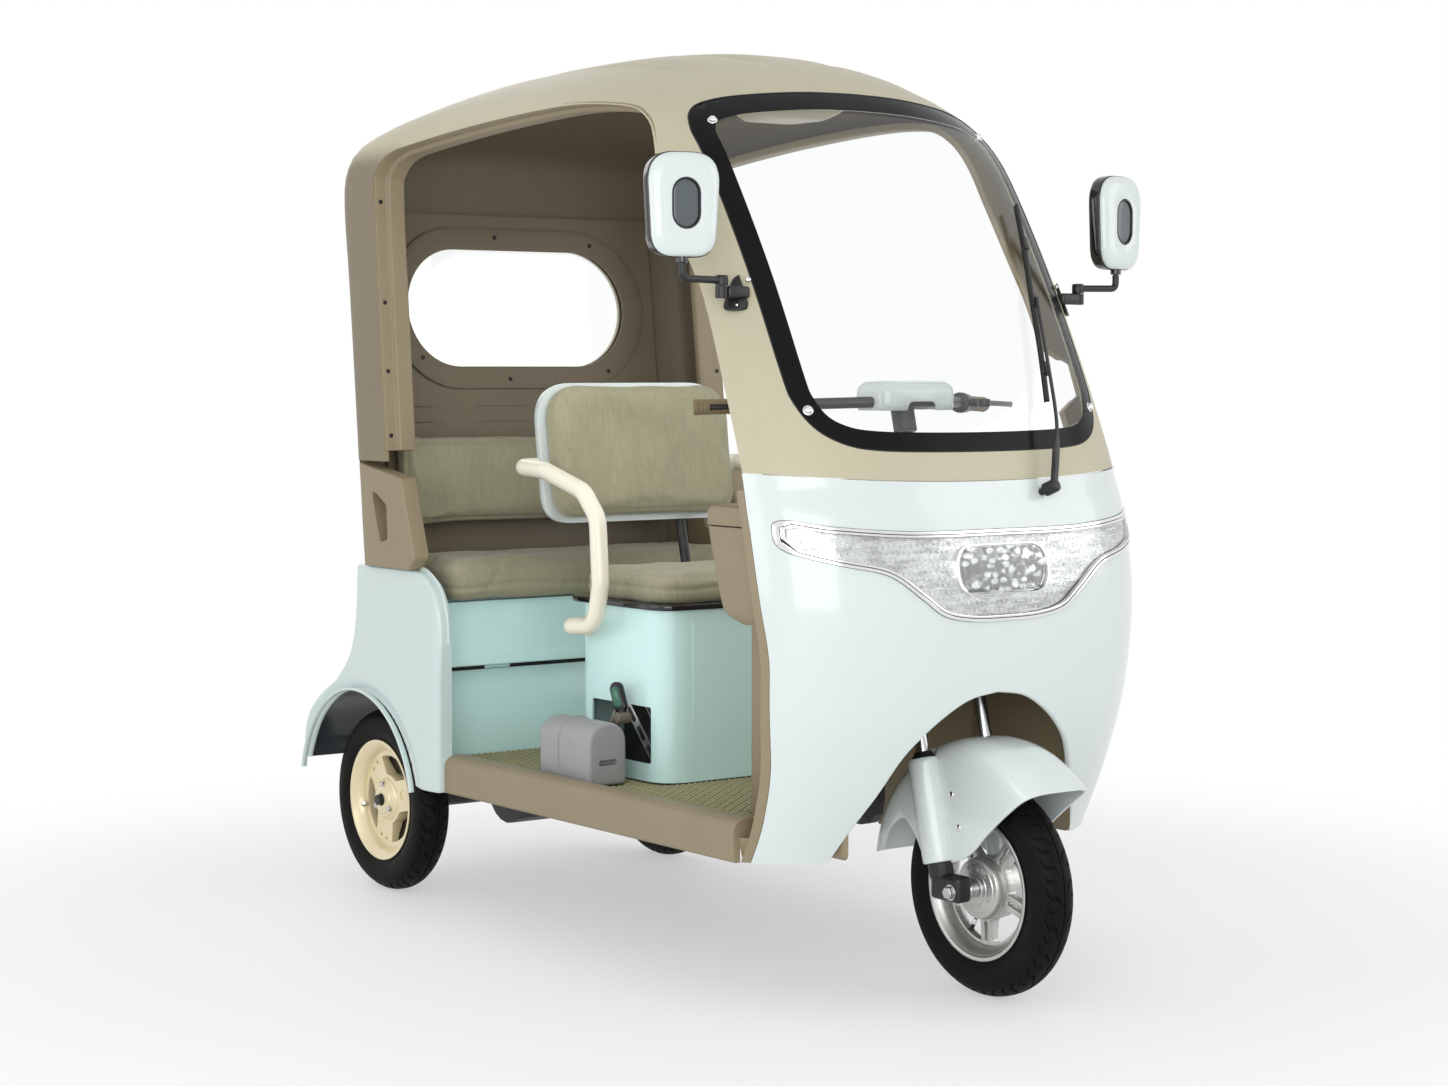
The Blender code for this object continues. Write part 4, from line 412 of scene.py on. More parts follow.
@finish_maker
def cream_alloy(finish):
    paint = colours().cream_rim
    spot = finish.spot()
    flake = finish.noise(spot, 900.0, 1.0)
    cloud = finish.noise(spot, 18.0, 3.0)
    finish.coloured(cloud, tint(paint, 0.93), tint(paint, 1.05))
    finish.feed("Roughness", 0.30 + (flake - 0.5) * 0.10)
    finish.fix(metallic=0.25, coat_weight=0.25)
    finish.bump(flake, 0.00010, 0.3)
    return finish


@finish_maker
def cab_moulding(finish):
    """The cab's plastic: pale over the front and the roof, with painted shade darkening the rear pillars."""
    spot = finish.spot()
    lower = 1 - finish.axis(spot, "Z").ramp(1.655, 1.715)
    rear = finish.axis(spot, "Y").ramp(after_rear(-0.205), after_rear(-0.197))
    # Painted shade: a darker tan on the rear pillars below the roof.
    return moulded(finish, colours().tan, 0.42, second=tint(colours().mid_tan, 0.74), place=rear * lower)


@finish_maker
def tan_mat(finish):
    paint = colours().mat
    spot = finish.spot()
    dirt = finish.noise(spot, 9.0, 5.0)
    height = finish.axis(spot, "Z")
    # Darker on the mat's sheet and paler towards the tops of its studs.
    stud_rise = ((height - high("floor_mat").z + 0.003) / 0.003).kept()
    base = finish.mix(stud_rise, tint(paint, 0.55), tint(paint, 1.15))
    finish.coloured(dirt * 0.45, base, tint(paint, 0.70))
    finish.feed("Roughness", 0.72 + (dirt - 0.5) * 0.2)
    finish.bump(finish.noise(spot, 500.0, 2.0), 0.0002, 0.5)
    return finish


@finish_maker
def seat_fabric(finish):
    """Brushed cloth: a fine cross weave, soft streaks down the nap and paler rubbed patches."""
    paint = colours().fabric
    spot = finish.spot()
    nap = finish.noise(finish.scaled(spot, (160.0, 60.0, 16.0)), 1.0, 4.0, 0.65)
    rubbed = finish.noise(spot, 7.0, 5.0, 0.62)
    scuff = finish.noise(finish.scaled(spot, (30.0, 9.0, 12.0)), 1.0, 3.0, 0.7).ramp(0.60, 0.78)
    shade = (nap * 0.55 + rubbed * 0.75 - 0.15).kept()
    base = finish.mix(shade, tint(paint, 0.68), tint(paint, 1.42))
    finish.coloured(scuff * 0.16, base, tint(paint, 1.75))
    finish.feed("Roughness", 0.86 + (rubbed - 0.5) * 0.15)
    across = (finish.axis(spot, "X") * 3600.0).sine()
    along = (finish.axis(spot, "Y") * 3600.0).sine()
    up = (finish.axis(spot, "Z") * 3600.0).sine()
    finish.fix(sheen_weight=0.25, sheen_roughness=0.5, specular_ior_level=0.25)
    finish.bump(across * along * 0.25 + across * up * 0.25 + nap * 1.6 + rubbed, 0.0005, 0.55)
    return finish


@finish_maker
def tyre_rubber(finish):
    """Black rubber with a dusty bloom."""
    paint = colours().rubber
    spot = finish.spot()
    dust = finish.noise(spot, 24.0, 5.0, 0.6)
    finish.coloured(dust.ramp(0.45, 0.85), paint, tint(paint, 2.4))
    finish.feed("Roughness", 0.55 + (dust - 0.5) * 0.3)
    finish.fix(specular_ior_level=0.10)
    fine = finish.noise(spot, 650.0, 2.0)
    finish.bump(fine + dust * 0.5, 0.00025, 0.5)
    return finish


@finish_maker
def silver_alloy(finish):
    """Cast alloy under clear lacquer: sand-cast grain and uneven stains."""
    paint = colours().alloy
    spot = finish.spot()
    grain = finish.noise(spot, 420.0, 3.0)
    stain = finish.noise(spot, 30.0, 4.0)
    finish.coloured(stain, tint(paint, 0.82), tint(paint, 1.12))
    finish.feed("Roughness", 0.34 + (grain - 0.5) * 0.16)
    finish.feed("Metallic", 0.86 + (stain - 0.5) * 0.1)
    finish.bump(grain, 0.00018, 0.5)
    return finish


@finish_maker
def chrome(finish):
    paint = colours().chrome
    spot = finish.spot()
    smear = finish.noise(spot, 22.0, 4.0)
    finish.coloured(smear, tint(paint, 0.94), paint)
    finish.feed("Roughness", 0.07 + smear * 0.06)
    finish.fix(metallic=1.0)
    return finish


@finish_maker
def lamp_facets(finish):
    """The projector's facets: chrome with bright and dark patches painted into its colour as painted
    reflections.
    """
    spot = finish.spot()
    patch = finish.cells(finish.scaled(spot, (1.0, 0.2, 1.7)), 42.0).ramp(0.25, 0.60)
    fine = finish.noise(spot, 90.0, 3.0).ramp(0.40, 0.60)
    # Painted reflection: the patches darken the chrome's colour.
    finish.coloured((patch * 0.8 + fine * 0.45).kept(), (0.86, 0.87, 0.87), (0.13, 0.13, 0.135))
    finish.feed("Roughness", 0.12 + fine * 0.15)
    finish.fix(metallic=0.9)
    return finish


@finish_maker
def lamp_mirror(finish):
    """The lamp's bright inside: pale metallised plastic broken up by fine prisms, with painted reflections as
    darker bands and cells in its colour.
    """
    paint = tint(colours().chrome, 1.05)
    spot = finish.spot()
    prism = finish.cells(finish.scaled(spot, (1.0, 0.3, 1.6)), 120.0)
    painted_reflection_bands = finish.noise(finish.scaled(spot, (8.0, 1.0, 30.0)), 3.0, 2.0).ramp(0.42, 0.62)
    # Painted reflection: bands and prism cells darken the colour.
    finish.coloured((painted_reflection_bands * 0.4 + prism * 0.5).kept(), tint(paint, 1.0), tint(paint, 0.42))
    finish.feed("Roughness", 0.22 + prism * 0.15)
    finish.fix(metallic=0.55)
    finish.bump(prism, 0.0008, 0.5)
    return finish


@finish_maker
def black_steel(finish):
    """Powder-coated steel with the coat's own pebbling and some road dust."""
    spot = finish.spot()
    dust = finish.noise(spot, 16.0, 5.0)
    pebble = finish.noise(spot, 500.0, 2.0)
    finish.coloured(dust.ramp(0.5, 0.9), (0.020, 0.020, 0.021), (0.070, 0.064, 0.055))
    finish.feed("Roughness", 0.42 + (dust - 0.5) * 0.25)
    finish.fix(metallic=0.3)
    finish.bump(pebble, 0.0002, 0.5)
    return finish


@finish_maker
def polished_steel(finish):
    spot = finish.spot()
    turned_lines = finish.noise(finish.scaled(spot, (60.0, 60.0, 900.0)), 1.0, 2.0)
    finish.coloured(turned_lines, (0.42, 0.42, 0.43), (0.62, 0.62, 0.63))
    finish.feed("Roughness", 0.18 + turned_lines * 0.12)
    finish.fix(metallic=1.0)
    return finish


@finish_maker
def dusty_tan(finish):
    """The wheel's backing plate, under road dust."""
    paint = tint(colours().cream_rim, 0.18)
    spot = finish.spot()
    dust = finish.noise(spot, 22.0, 5.0, 0.6)
    finish.coloured(dust, tint(paint, 0.65), tint(paint, 1.25))
    finish.feed("Roughness", 0.62 + (dust - 0.5) * 0.2)
    finish.bump(finish.noise(spot, 300.0, 3.0), 0.0002, 0.5)
    return finish


@finish_maker
def red_lens(finish):
    paint = colours().red
    spot = finish.spot()
    rib = (finish.axis(spot, "X") * 900.0).sine()
    finish.coloured(finish.noise(spot, 40.0), paint, tint(paint, 1.5))
    finish.feed("Roughness", 0.12 + finish.noise(spot, 30.0) * 0.06)
    finish.fix(coat_weight=0.5)
    finish.bump(rib, 0.0004, 0.6)
    return finish


@finish_maker
def mirror_face(finish):
    spot = finish.spot()
    finish.coloured(finish.noise(spot, 12.0), (0.86, 0.87, 0.88), (0.92, 0.92, 0.93))
    finish.feed("Roughness", 0.015 + finish.noise(spot, 25.0, 4.0) * 0.02)
    finish.fix(metallic=1.0)
    return finish


def see_through(finish, tone, haze, strength=1.0):
    """Thin clear sheet: mostly what lies behind, with a gloss that grows at the edges of the view."""
    spot = finish.spot()
    smear = finish.noise(spot, 6.0, 4.0)
    clear = finish.node("ShaderNodeBsdfTransparent", None, {"Color": (*tone, 1.0)})
    edge = finish.node("ShaderNodeLayerWeight", None, None, "Facing") ** 5
    factor = (0.04 + edge * strength + smear * haze).kept()
    finish.coloured(smear, (0.90, 0.92, 0.92), (0.94, 0.95, 0.95))
    finish.feed("Roughness", 0.03 + smear * 0.03)
    finish.fix(metallic=1.0)
    finish.blend(factor, clear, finish.gloss, "Material Output")
    return finish


@finish_maker
def clear_pane(finish):
    return see_through(finish, (0.985, 0.992, 0.99), 0.0, 0.5)


@finish_maker
def lamp_lens(finish):
    return see_through(finish, (0.97, 0.975, 0.975), 0.01, 0.8)


SLOT_FINISHES = {
    "mint_paint": mint_paint, "tan_moulding": middle_tan_moulding, "dark_tan_moulding": dark_tan_moulding,
    "tan_mat": tan_mat, "seat_fabric": seat_fabric, "black_plastic": black_plastic,
    "black_rubber": black_rubber, "tyre_rubber": tyre_rubber, "silver_alloy": silver_alloy,
    "cream_alloy": cream_alloy, "cream_paint": cream_paint, "headlamp_chrome": chrome,
    "clear_pane": clear_pane, "red_lens": red_lens, "black_steel": black_steel, "black_alloy": black_plastic,
    "battery_case": battery_case, "grey_plastic": grey_plastic, "mirror_face": mirror_face,
}


# Mesh tools

def held(value):
    """The value held between 0 and 1."""
    return min(max(value, 0.0), 1.0)


def oblong(low_u, low_v, high_u, high_v):
    """The corners of an upright oblong."""
    return [(low_u, low_v), (high_u, low_v), (high_u, high_v), (low_u, high_v)]


def from_bmesh(name, bm, turned=False):
    """The piece that a bmesh holds; its faces are turned outwards unless they already are."""
    if not turned:
        bmesh.ops.recalc_face_normals(bm, faces=bm.faces)
    mesh = bpy.data.meshes.new(name)
    bm.to_mesh(mesh)
    bm.free()
    obj = bpy.data.objects.new(name, mesh)
    bpy.context.scene.collection.objects.link(obj)
    return obj


def settle(obj):
    """Replaces the object's mesh by what its modifiers make."""
    if not obj.modifiers:
        return obj
    bpy.context.view_layer.update()
    seen = obj.evaluated_get(bpy.context.evaluated_depsgraph_get())
    mesh = bpy.data.meshes.new_from_object(seen)
    obj.modifiers.clear()
    obj.data = mesh
    return obj


def paint(obj, *finishes):
    obj.data.materials.clear()
    for finish in finishes:
        obj.data.materials.append(finish())
    return obj


def shade(obj, degrees=35):
    obj.data.shade_smooth()
    obj.data.set_sharp_from_angle(angle=math.radians(degrees))
    return obj


def put(obj, body, slot, *nodes, degrees=35):
    """Shades a finished piece, ties it to its body and hides the nodes that it stands for; its slot is not
    used.
    """
    shade(settle(obj), degrees)
    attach(obj, body)
    if nodes:
        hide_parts(*nodes)
    return obj


def bevelled(obj, width, segments=3, degrees=35):
    bevel = obj.modifiers.new("rounded edges", "BEVEL")
    bevel.width = width
    bevel.segments = segments
    bevel.limit_method = "ANGLE"
    bevel.angle_limit = math.radians(degrees)
    return settle(obj)


def block(name, near, far, bevel=0.0, segments=3):
    """A box between two corners, with rounded edges."""
    bm = bmesh.new()
    near, far = Vector(near), Vector(far)
    place = Matrix.Translation((near + far) / 2) @ Matrix.Diagonal((*(far - near), 1.0))
    bmesh.ops.create_cube(bm, size=1.0, matrix=place)
    obj = from_bmesh(name, bm)
    return bevelled(obj, bevel, segments) if bevel else obj


def rod(name, start_point, end_point, radius, end_radius=None, sides=32):
    """A cylinder or cone between two points."""
    a, b = Vector(start_point), Vector(end_point)
    turn = (b - a).to_track_quat("Z", "Y").to_matrix().to_4x4()
    bm = bmesh.new()
    bmesh.ops.create_cone(bm, cap_ends=True, segments=sides, radius1=radius,
                          radius2=radius if end_radius is None else end_radius,
                          depth=(b - a).length, matrix=Matrix.Translation((a + b) / 2) @ turn)
    return from_bmesh(name, bm)


def spun(name, profile, start_point, direction, steps=48):
    """An open profile of (radius, along) points turned about an axis; it is closed at both ends."""
    a = Vector(start_point)
    turn = Vector(direction).to_track_quat("Z", "Y").to_matrix().to_4x4()
    rings = []
    for radius, along in profile:
        rings.append([Vector((radius * math.cos(t), radius * math.sin(t), along))
                      for t in (2 * math.pi * i / steps for i in range(steps))])
    obj = loft(name, rings)
    obj.data.transform(Matrix.Translation(a) @ turn)
    return obj


def turned_ring(name, profile, centre, steps=96):
    """A closed profile of (radius, along) points turned about the X axis through a centre."""
    rings = [[(along, -radius * math.sin(turn), -radius * math.cos(turn)) for radius, along in profile]
             for turn in (2 * math.pi * i / steps for i in range(steps))]
    obj = loft(name, rings + rings[:1], caps=False)
    obj.data.transform(Matrix.Translation(centre))
    return obj


def bend_points(before, here, after, bend, steps):
    """Points round a corner between its two neighbours, at a bend radius."""
    to_before, to_after = before - here, after - here
    reach = min(bend / math.tan(to_before.angle(to_after) / 2), to_before.length * 0.49,
                to_after.length * 0.49)
    a = here + to_before.normalized() * reach
    b = here + to_after.normalized() * reach
    return [a * (1 - t) ** 2 + here * 2 * t * (1 - t) + b * t ** 2
            for t in (k / steps for k in range(steps + 1))]


def bent_path(points, bend, steps=8):
    """The route through the points, with each inner corner rounded to the bend radius."""
    points = [Vector(p) for p in points]
    route = [points[0]]
    for before, here, after in zip(points, points[1:], points[2:]):
        route += bend_points(before, here, after, bend, steps)
    return route + [points[-1]]


def swept(name, route, section, closed=False, up=None):
    """A flat section carried along a route; the section's (u, v) lie to the side and up."""
    route = [Vector(p) for p in route]
    count = len(route)
    rings = []
    normal = Vector(up) if up else None
    for i, here in enumerate(route):
        before = route[i - 1] if (i or closed) else here
        after = route[(i + 1) % count] if (i + 1 < count or closed) else here
        along = (after - before).normalized()
        if normal is None:
            normal = along.orthogonal().normalized()
        side = along.cross(Vector(up) if up else normal).normalized()
        normal = side.cross(along).normalized()
        shape = section(i / max(count - 1, 1)) if callable(section) else section
        rings.append([here + side * u + normal * v for u, v in shape])
    return loft(name, rings + rings[:1], caps=False) if closed else loft(name, rings)


def round_section(radius, sides=16, flat=1.0):
    return [(radius * math.cos(2 * math.pi * i / sides), radius * flat * math.sin(2 * math.pi * i / sides))
            for i in range(sides)]


def tube(name, points, radius, sides=20):
    return swept(name, points, round_section(radius, sides))


def loft(name, loops, caps=True):
    """A closed skin through loops of equally many points, capped at both ends."""
    bm = bmesh.new()
    rows = [[bm.verts.new(p) for p in loop] for loop in (loops if caps else loops[:-1])]
    if not caps:
        rows.append(rows[0])
    count = len(loops[0])
    for lower, upper in zip(rows, rows[1:]):
        for i in range(count):
            j = (i + 1) % count
            bm.faces.new((lower[i], lower[j], upper[j], upper[i]))
    if caps:
        bm.faces.new(reversed(rows[0]))
        bm.faces.new(rows[-1])
    return from_bmesh(name, bm)


def slab(name, outline, near, far, axis):
    """A flat outline made solid between two places along an axis.

    The outline is (y, z) for X, (x, z) for Y and (x, y) for Z.
    """
    order = {"X": lambda u, v, w: (w, u, v), "Y": lambda u, v, w: (u, w, v), "Z": lambda u, v, w: (u, v, w)}
    bm = bmesh.new()
    ends = [[bm.verts.new(order[axis](u, v, w)) for u, v in outline] for w in (near, far)]
    count = len(outline)
    for i in range(count):
        j = (i + 1) % count
        bm.faces.new((ends[0][i], ends[0][j], ends[1][j], ends[1][i]))
    bm.faces.new(reversed(ends[0]))
    bm.faces.new(ends[1])
    return from_bmesh(name, bm)


def flowing(points, steps=6, closed=False):
    """A smooth curve through the points, which keeps their order."""
    points = [Vector(p) for p in points]
    count = len(points)
    route = []
    for i in range(count if closed else count - 1):
        if closed:
            a, b, c, d = (points[(i + k) % count] for k in (-1, 0, 1, 2))
        else:
            a, b, c, d = (points[min(max(i + k, 0), count - 1)] for k in (-1, 0, 1, 2))
        for k in range(steps):
            t = k / steps
            route.append(((2 * b) + (c - a) * t + (2 * a - 5 * b + 4 * c - d) * t ** 2
                          + (3 * b - a - 3 * c + d) * t ** 3) / 2)
    if not closed:
        route.append(points[-1])
    return [tuple(p) for p in route]


def rounded_outline(points, radius, steps=6):
    """A closed outline with every corner rounded."""
    points = [Vector(p) for p in points]
    route = []
    for i, here in enumerate(points):
        bend = radius[i] if isinstance(radius, (list, tuple)) else radius
        route += bend_points(points[i - 1], here, points[(i + 1) % len(points)], bend, steps)
    return [(spot.x, spot.y) for spot in route]


def stadium(half_width, half_height, steps=24):
    """A wide outline with round ends, about the origin."""
    straight = half_width - half_height
    points = []
    for side in (1, -1):
        for i in range(steps + 1):
            turn = side * (math.pi / 2 - math.pi * i / steps)
            points.append((side * straight + side * half_height * math.cos(turn),
                           half_height * math.sin(turn)))
    return points


def shifted(outline, across, up):
    return [(u + across, v + up) for u, v in outline]


def mirrored(outline):
    """A whole outline from its right half, which runs from the top centre to the bottom one."""
    return outline + [(-u, v) for u, v in reversed(outline) if abs(u) > 1e-6]


def offset_outline(outline, distance):
    """The outline pushed outwards by a distance, inwards if it is negative."""
    count = len(outline)
    area = sum(outline[i - 1][0] * outline[i][1] - outline[i][0] * outline[i - 1][1] for i in range(count))
    turn = 1 if area > 0 else -1
    moved = []
    for i in range(count):
        a, b = Vector(outline[i - 1]), Vector(outline[(i + 1) % count])
        along = (b - a).normalized()
        moved.append((outline[i][0] + turn * distance * along.y, outline[i][1] - turn * distance * along.x))
    return moved


def clean_offset(outline, distance):
    """An offset outline without the places that fall nearer to the old one, as they do in sharp corners."""
    moved = offset_outline(outline, distance)
    u, v = np.array(moved).T
    clear = edge_distance(outline, u, v) > abs(distance) - 0.00003
    return [spot for spot, free in zip(moved, clear) if free]


def edge_distance(outline, u, v):
    """How far places lie from a closed outline."""
    nearest = np.full(len(u), 10.0)
    for a, b in zip(outline, outline[1:] + outline[:1]):
        along = (b[0] - a[0], b[1] - a[1])
        square = max(along[0] ** 2 + along[1] ** 2, 1e-12)
        t = np.clip(((u - a[0]) * along[0] + (v - a[1]) * along[1]) / square, 0.0, 1.0)
        nearest = np.minimum(nearest, np.hypot(u - a[0] - along[0] * t, v - a[1] - along[1] * t))
    return nearest


def combine(target, tool, operation):
    step = target.modifiers.new(operation.lower(), "BOOLEAN")
    step.operation = operation
    step.solver = "EXACT"
    step.material_mode = "TRANSFER"
    step.object = tool
    settle(target)
    bpy.data.objects.remove(tool, do_unlink=True)
    return target


def cut(target, *tools):
    for tool in tools:
        combine(target, tool, "DIFFERENCE")
    return target


def join(target, *tools):
    for tool in tools:
        combine(target, tool, "UNION")
    return target


def keep_inside(target, tool):
    return combine(target, tool, "INTERSECT")


def together(name, forms):
    """One piece of several forms that don't touch each other."""
    bm = bmesh.new()
    kinds = []
    for form in forms:
        start = len(bm.faces)
        bm.from_mesh(settle(form).data)
        bm.faces.ensure_lookup_table()
        own = list(form.data.materials)
        for face in bm.faces[start:]:
            if own:
                kind = own[face.material_index]
                if kind not in kinds:
                    kinds.append(kind)
                face.material_index = kinds.index(kind)
        bpy.data.objects.remove(form, do_unlink=True)
    obj = from_bmesh(name, bm)
    for kind in kinds:
        obj.data.materials.append(kind)
    return obj


def ruled(obj, axis, spacing):
    """Cuts the faces of a piece by planes at even spacing, so that its flat faces can be bent."""
    bm = bmesh.new()
    bm.from_mesh(settle(obj).data)
    normal = Vector([1.0 if k == axis else 0.0 for k in range(3)])
    near = min(v.co[axis] for v in bm.verts)
    far = max(v.co[axis] for v in bm.verts)
    for i in range(1, int((far - near) / spacing)):
        everything = list(bm.verts) + list(bm.edges) + list(bm.faces)
        bmesh.ops.bisect_plane(bm, geom=everything, plane_co=normal * (near + i * spacing), plane_no=normal)
    bm.to_mesh(obj.data)
    bm.free()
    return obj


def reshape(obj, move):
    """Moves every point of a piece to where the function says."""
    for vertex in obj.data.vertices:
        vertex.co = move(vertex.co.copy())
    obj.data.update()
    return obj


def copied(obj, name, matrix):
    """A second piece of the same shape, put elsewhere."""
    twin = bpy.data.objects.new(name, obj.data.copy())
    twin.data.transform(matrix)
    bpy.context.scene.collection.objects.link(twin)
    if matrix.determinant() < 0:
        twin.data.flip_normals()
    return twin


def moved(obj, name, matrix):
    """The piece itself, put in its place under its final name."""
    obj.data.transform(matrix)
    if matrix.determinant() < 0:
        obj.data.flip_normals()
    obj.name = name
    return obj


def dome(name, centre, direction, radius, height, steps=24):
    """A fastener's low round head, which stands on a surface."""
    profile = [(radius, -0.002), (radius, height * 0.25), (radius * 0.94, height * 0.55),
               (radius * 0.76, height * 0.82), (radius * 0.42, height * 0.97), (radius * 0.06, height)]
    return spun(name, profile, centre, direction, steps)


def screw_head(name, centre, direction, radius, height=0.0022):
    """A pan head with a cross recess."""
    head = dome(name, centre, direction, radius, height)
    turn = Vector(direction).to_track_quat("Z", "Y").to_matrix().to_4x4()
    for long_side, short_side in ((radius * 0.62, radius * 0.13), (radius * 0.13, radius * 0.62)):
        slot = block("cut_cross", (-long_side, -short_side, height * 0.35),
                     (long_side, short_side, height * 2))
        slot.data.transform(Matrix.Translation(centre) @ turn)
        cut(head, slot)
    return head


MIRROR_X = Matrix.Diagonal((-1.0, 1.0, 1.0, 1.0))
SIDES = (("right", -1), ("left", 1))


# The body's form, as in the frame but with many more points

# Cowl: share of its height, set-back of its nose, share of the half width, roundness
COWL_STATIONS = [
    (0.00, 0.075, 0.967, 3.0),
    (0.21, 0.020, 0.987, 3.2),
    (0.42, -0.020, 1.000, 3.3),
    (0.68, -0.038, 1.000, 3.3),
    (0.91, -0.010, 1.000, 3.3),
    (1.00, 0.012, 0.998, 3.2),
]
# Cab: share of its height, set-back of its front, set-back of its rear from the rear axle,
# share of the half width, roundness, depth of the front and of the rear rounding
CAB_STATIONS = [
    (-0.265, -0.038, 0.032, 1.000, 3.3, 0.31, 0.09),
    (0.000, 0.012, 0.059, 0.998, 3.2, 0.31, 0.09),
    (0.066, 0.032, 0.066, 0.996, 3.2, 0.31, 0.09),
    (0.258, 0.104, 0.085, 0.992, 3.1, 0.31, 0.09),
    (0.462, 0.192, 0.106, 0.988, 3.0, 0.31, 0.09),
    (0.688, 0.305, 0.130, 0.983, 2.9, 0.32, 0.09),
    (0.760, 0.348, 0.128, 0.978, 2.8, 0.34, 0.11),
    (0.810, 0.385, 0.112, 0.968, 2.7, 0.38, 0.17),
    (0.850, 0.418, 0.070, 0.940, 2.6, 0.44, 0.30),
    (0.890, 0.462, -0.010, 0.870, 2.5, 0.50, 0.44),
    (0.930, 0.530, -0.120, 0.730, 2.4, 0.46, 0.48),
    (0.962, 0.620, -0.260, 0.545, 2.3, 0.37, 0.38),
    (0.984, 0.730, -0.410, 0.350, 2.2, 0.25, 0.25),
    (1.000, 0.880, -0.600, 0.140, 2.1, 0.08, 0.08),
]
REAR_ROUNDNESS = 2.6
CAB_LEVELS = [-0.265, 0.0, 0.17, 0.34, 0.52, 0.68, 0.76, 0.81, 0.85, 0.89, 0.93, 0.962, 0.984, 1.0]


def read_stations(stations, place):
    """The row of values at a share of the height, on a smooth curve through the stations."""
    last = len(stations) - 1
    place = min(max(place, stations[0][0]), stations[last][0])
    i = 0
    while i < last - 1 and stations[i + 1][0] < place:
        i += 1
    a, b = stations[i], stations[i + 1]
    before, after = stations[max(i - 1, 0)], stations[min(i + 2, last)]
    span = b[0] - a[0]
    t = (place - a[0]) / span
    row = []
    for k in range(1, len(a)):
        slope_a = (b[k] - before[k]) / (b[0] - before[0])
        slope_b = (after[k] - a[k]) / (after[0] - a[0])
        row.append((2 * t ** 3 - 3 * t ** 2 + 1) * a[k] + (t ** 3 - 2 * t ** 2 + t) * span * slope_a
                   + (3 * t ** 2 - 2 * t ** 3) * b[k] + (t ** 3 - t ** 2) * span * slope_b)
    return row


def cab_row(z):
    return read_stations(CAB_STATIONS, (z - sizes().belt) / (sizes().roof - sizes().belt))


def cowl_row(z):
    return read_stations(COWL_STATIONS, (z - sizes().sill_low) / (sizes().belt - sizes().sill_low))


def scaled_height(z):
    """A drawn height of the cab, moved with the belt and roof."""
    return sizes().belt + (z - DRAWN_BELT) * (sizes().roof - sizes().belt) / (DRAWN_ROOF - DRAWN_BELT)


def corner(count, power):
    """Points from the middle of a rounded end (0, 1) to its side (1, 0)."""
    points = []
    for i in range(count + 1):
        turn = math.pi / 2 * (i / count) ** 1.25
        points.append((math.sin(turn) ** (2 / power), max(math.cos(turn), 0.0) ** (2 / power)))
    return points


def nose_curve(z, inset, count=36):
    """One half of the cowl's plan at a height, from the centre line to the widest point."""
    front, width, power = cowl_row(z)
    half = sizes().half_width * width
    return [(x * (half - inset), after_front(front + COWL_DEPTH) - y * (COWL_DEPTH - inset))
            for x, y in corner(count, power)]


def cab_plan(z):
    """The places that shape the cab's plan at a height: half width, nose, widest, tail, end, roundness."""
    front, back, width, power, front_depth, rear_depth = cab_row(z)
    widest = after_front(front + front_depth)
    tail = after_rear(back - rear_depth)
    if tail < widest:
        widest = tail = (widest + tail) / 2
    return sizes().half_width * width, after_front(front), widest, tail, after_rear(back), power


def cab_ring(z, inset, count=34, side=18, rear=18):
    """The cab's whole plan at a height, inset from its skin."""
    half, nose, widest, tail, end, power = cab_plan(z)
    half, nose, end = half - inset, nose + inset, end - inset
    points = [(x * half, widest - y * (widest - nose)) for x, y in corner(count, power)]
    points += [(half, widest + (tail - widest) * i / side) for i in range(1, side)]
    points += [(x * half, tail + y * (end - tail)) for x, y in reversed(corner(rear, REAR_ROUNDNESS))]
    return points + [(-x, y) for x, y in reversed(points[1:-1])]


def cab_side(y, z):
    """X of the cab's left skin at a place along the vehicle and a height."""
    half, nose, widest, tail, end, power = cab_plan(z)
    if y < widest:
        return half * (1 - min((widest - y) / (widest - nose), 1.0) ** power) ** (1 / power)
    if y > tail:
        return half * (1 - min((y - tail) / (end - tail), 1.0) ** REAR_ROUNDNESS) ** (1 / REAR_ROUNDNESS)
    return half


def skin_front(x, z):
    """Y of the front skin at a place across the vehicle and a height."""
    if z < sizes().belt:
        front, width, power = cowl_row(z)
        depth = COWL_DEPTH
    else:
        front, _, width, power, depth, _ = cab_row(z)
    across = min(abs(x) / (sizes().half_width * width), 1.0)
    return after_front(front + depth * (1 - (1 - across ** power) ** (1 / power)))


def skin_point(x, z, proud=0.0):
    """A point of the front skin, moved out of it by a distance."""
    return Vector((x, skin_front(x, z), z)) + skin_normal(x, z) * proud


def skin_normal(x, z):
    step = 0.004
    across = Vector((2 * step, skin_front(x + step, z) - skin_front(x - step, z), 0))
    up = Vector((0, skin_front(x, z + step) - skin_front(x, z - step), 2 * step))
    return across.cross(up).normalized()


def steering_point(height):
    """The point of the steering axis at a height."""
    run = (height - sizes().tyre_radius) * math.tan(sizes().rake)
    return Vector((0, after_front(AXLE_LEAD + run), height))


def dense(levels, most):
    """The levels with more between them, none further apart than a share of the height."""
    result = [levels[0]]
    for a, b in zip(levels, levels[1:]):
        count = math.ceil((b - a) / most)
        result += [a + (b - a) * i / count for i in range(1, count + 1)]
    return result


ROOF_LEVELS = (dense(CAB_LEVELS[1:9], 0.030) + dense(CAB_LEVELS[8:12], 0.0040)[1:]
               + dense(CAB_LEVELS[11:], 0.0012)[1:])
INSIDE_LEVELS = [-0.35] + ROOF_LEVELS   # from well below the belt, for the forms that are cut away
FRONT_RUN = (after_front(-0.3), after_front(0.62))     # from ahead of the skin to behind the pillars
GROOVES = (0.105, 0.262)                # across from the centre line
GROOVE_HALF = 0.038
GROOVE_RUN = (after_front(0.50), after_rear(-0.02))
GROOVE_FADES = (0.22, 0.30)             # lengths over which a groove starts and ends


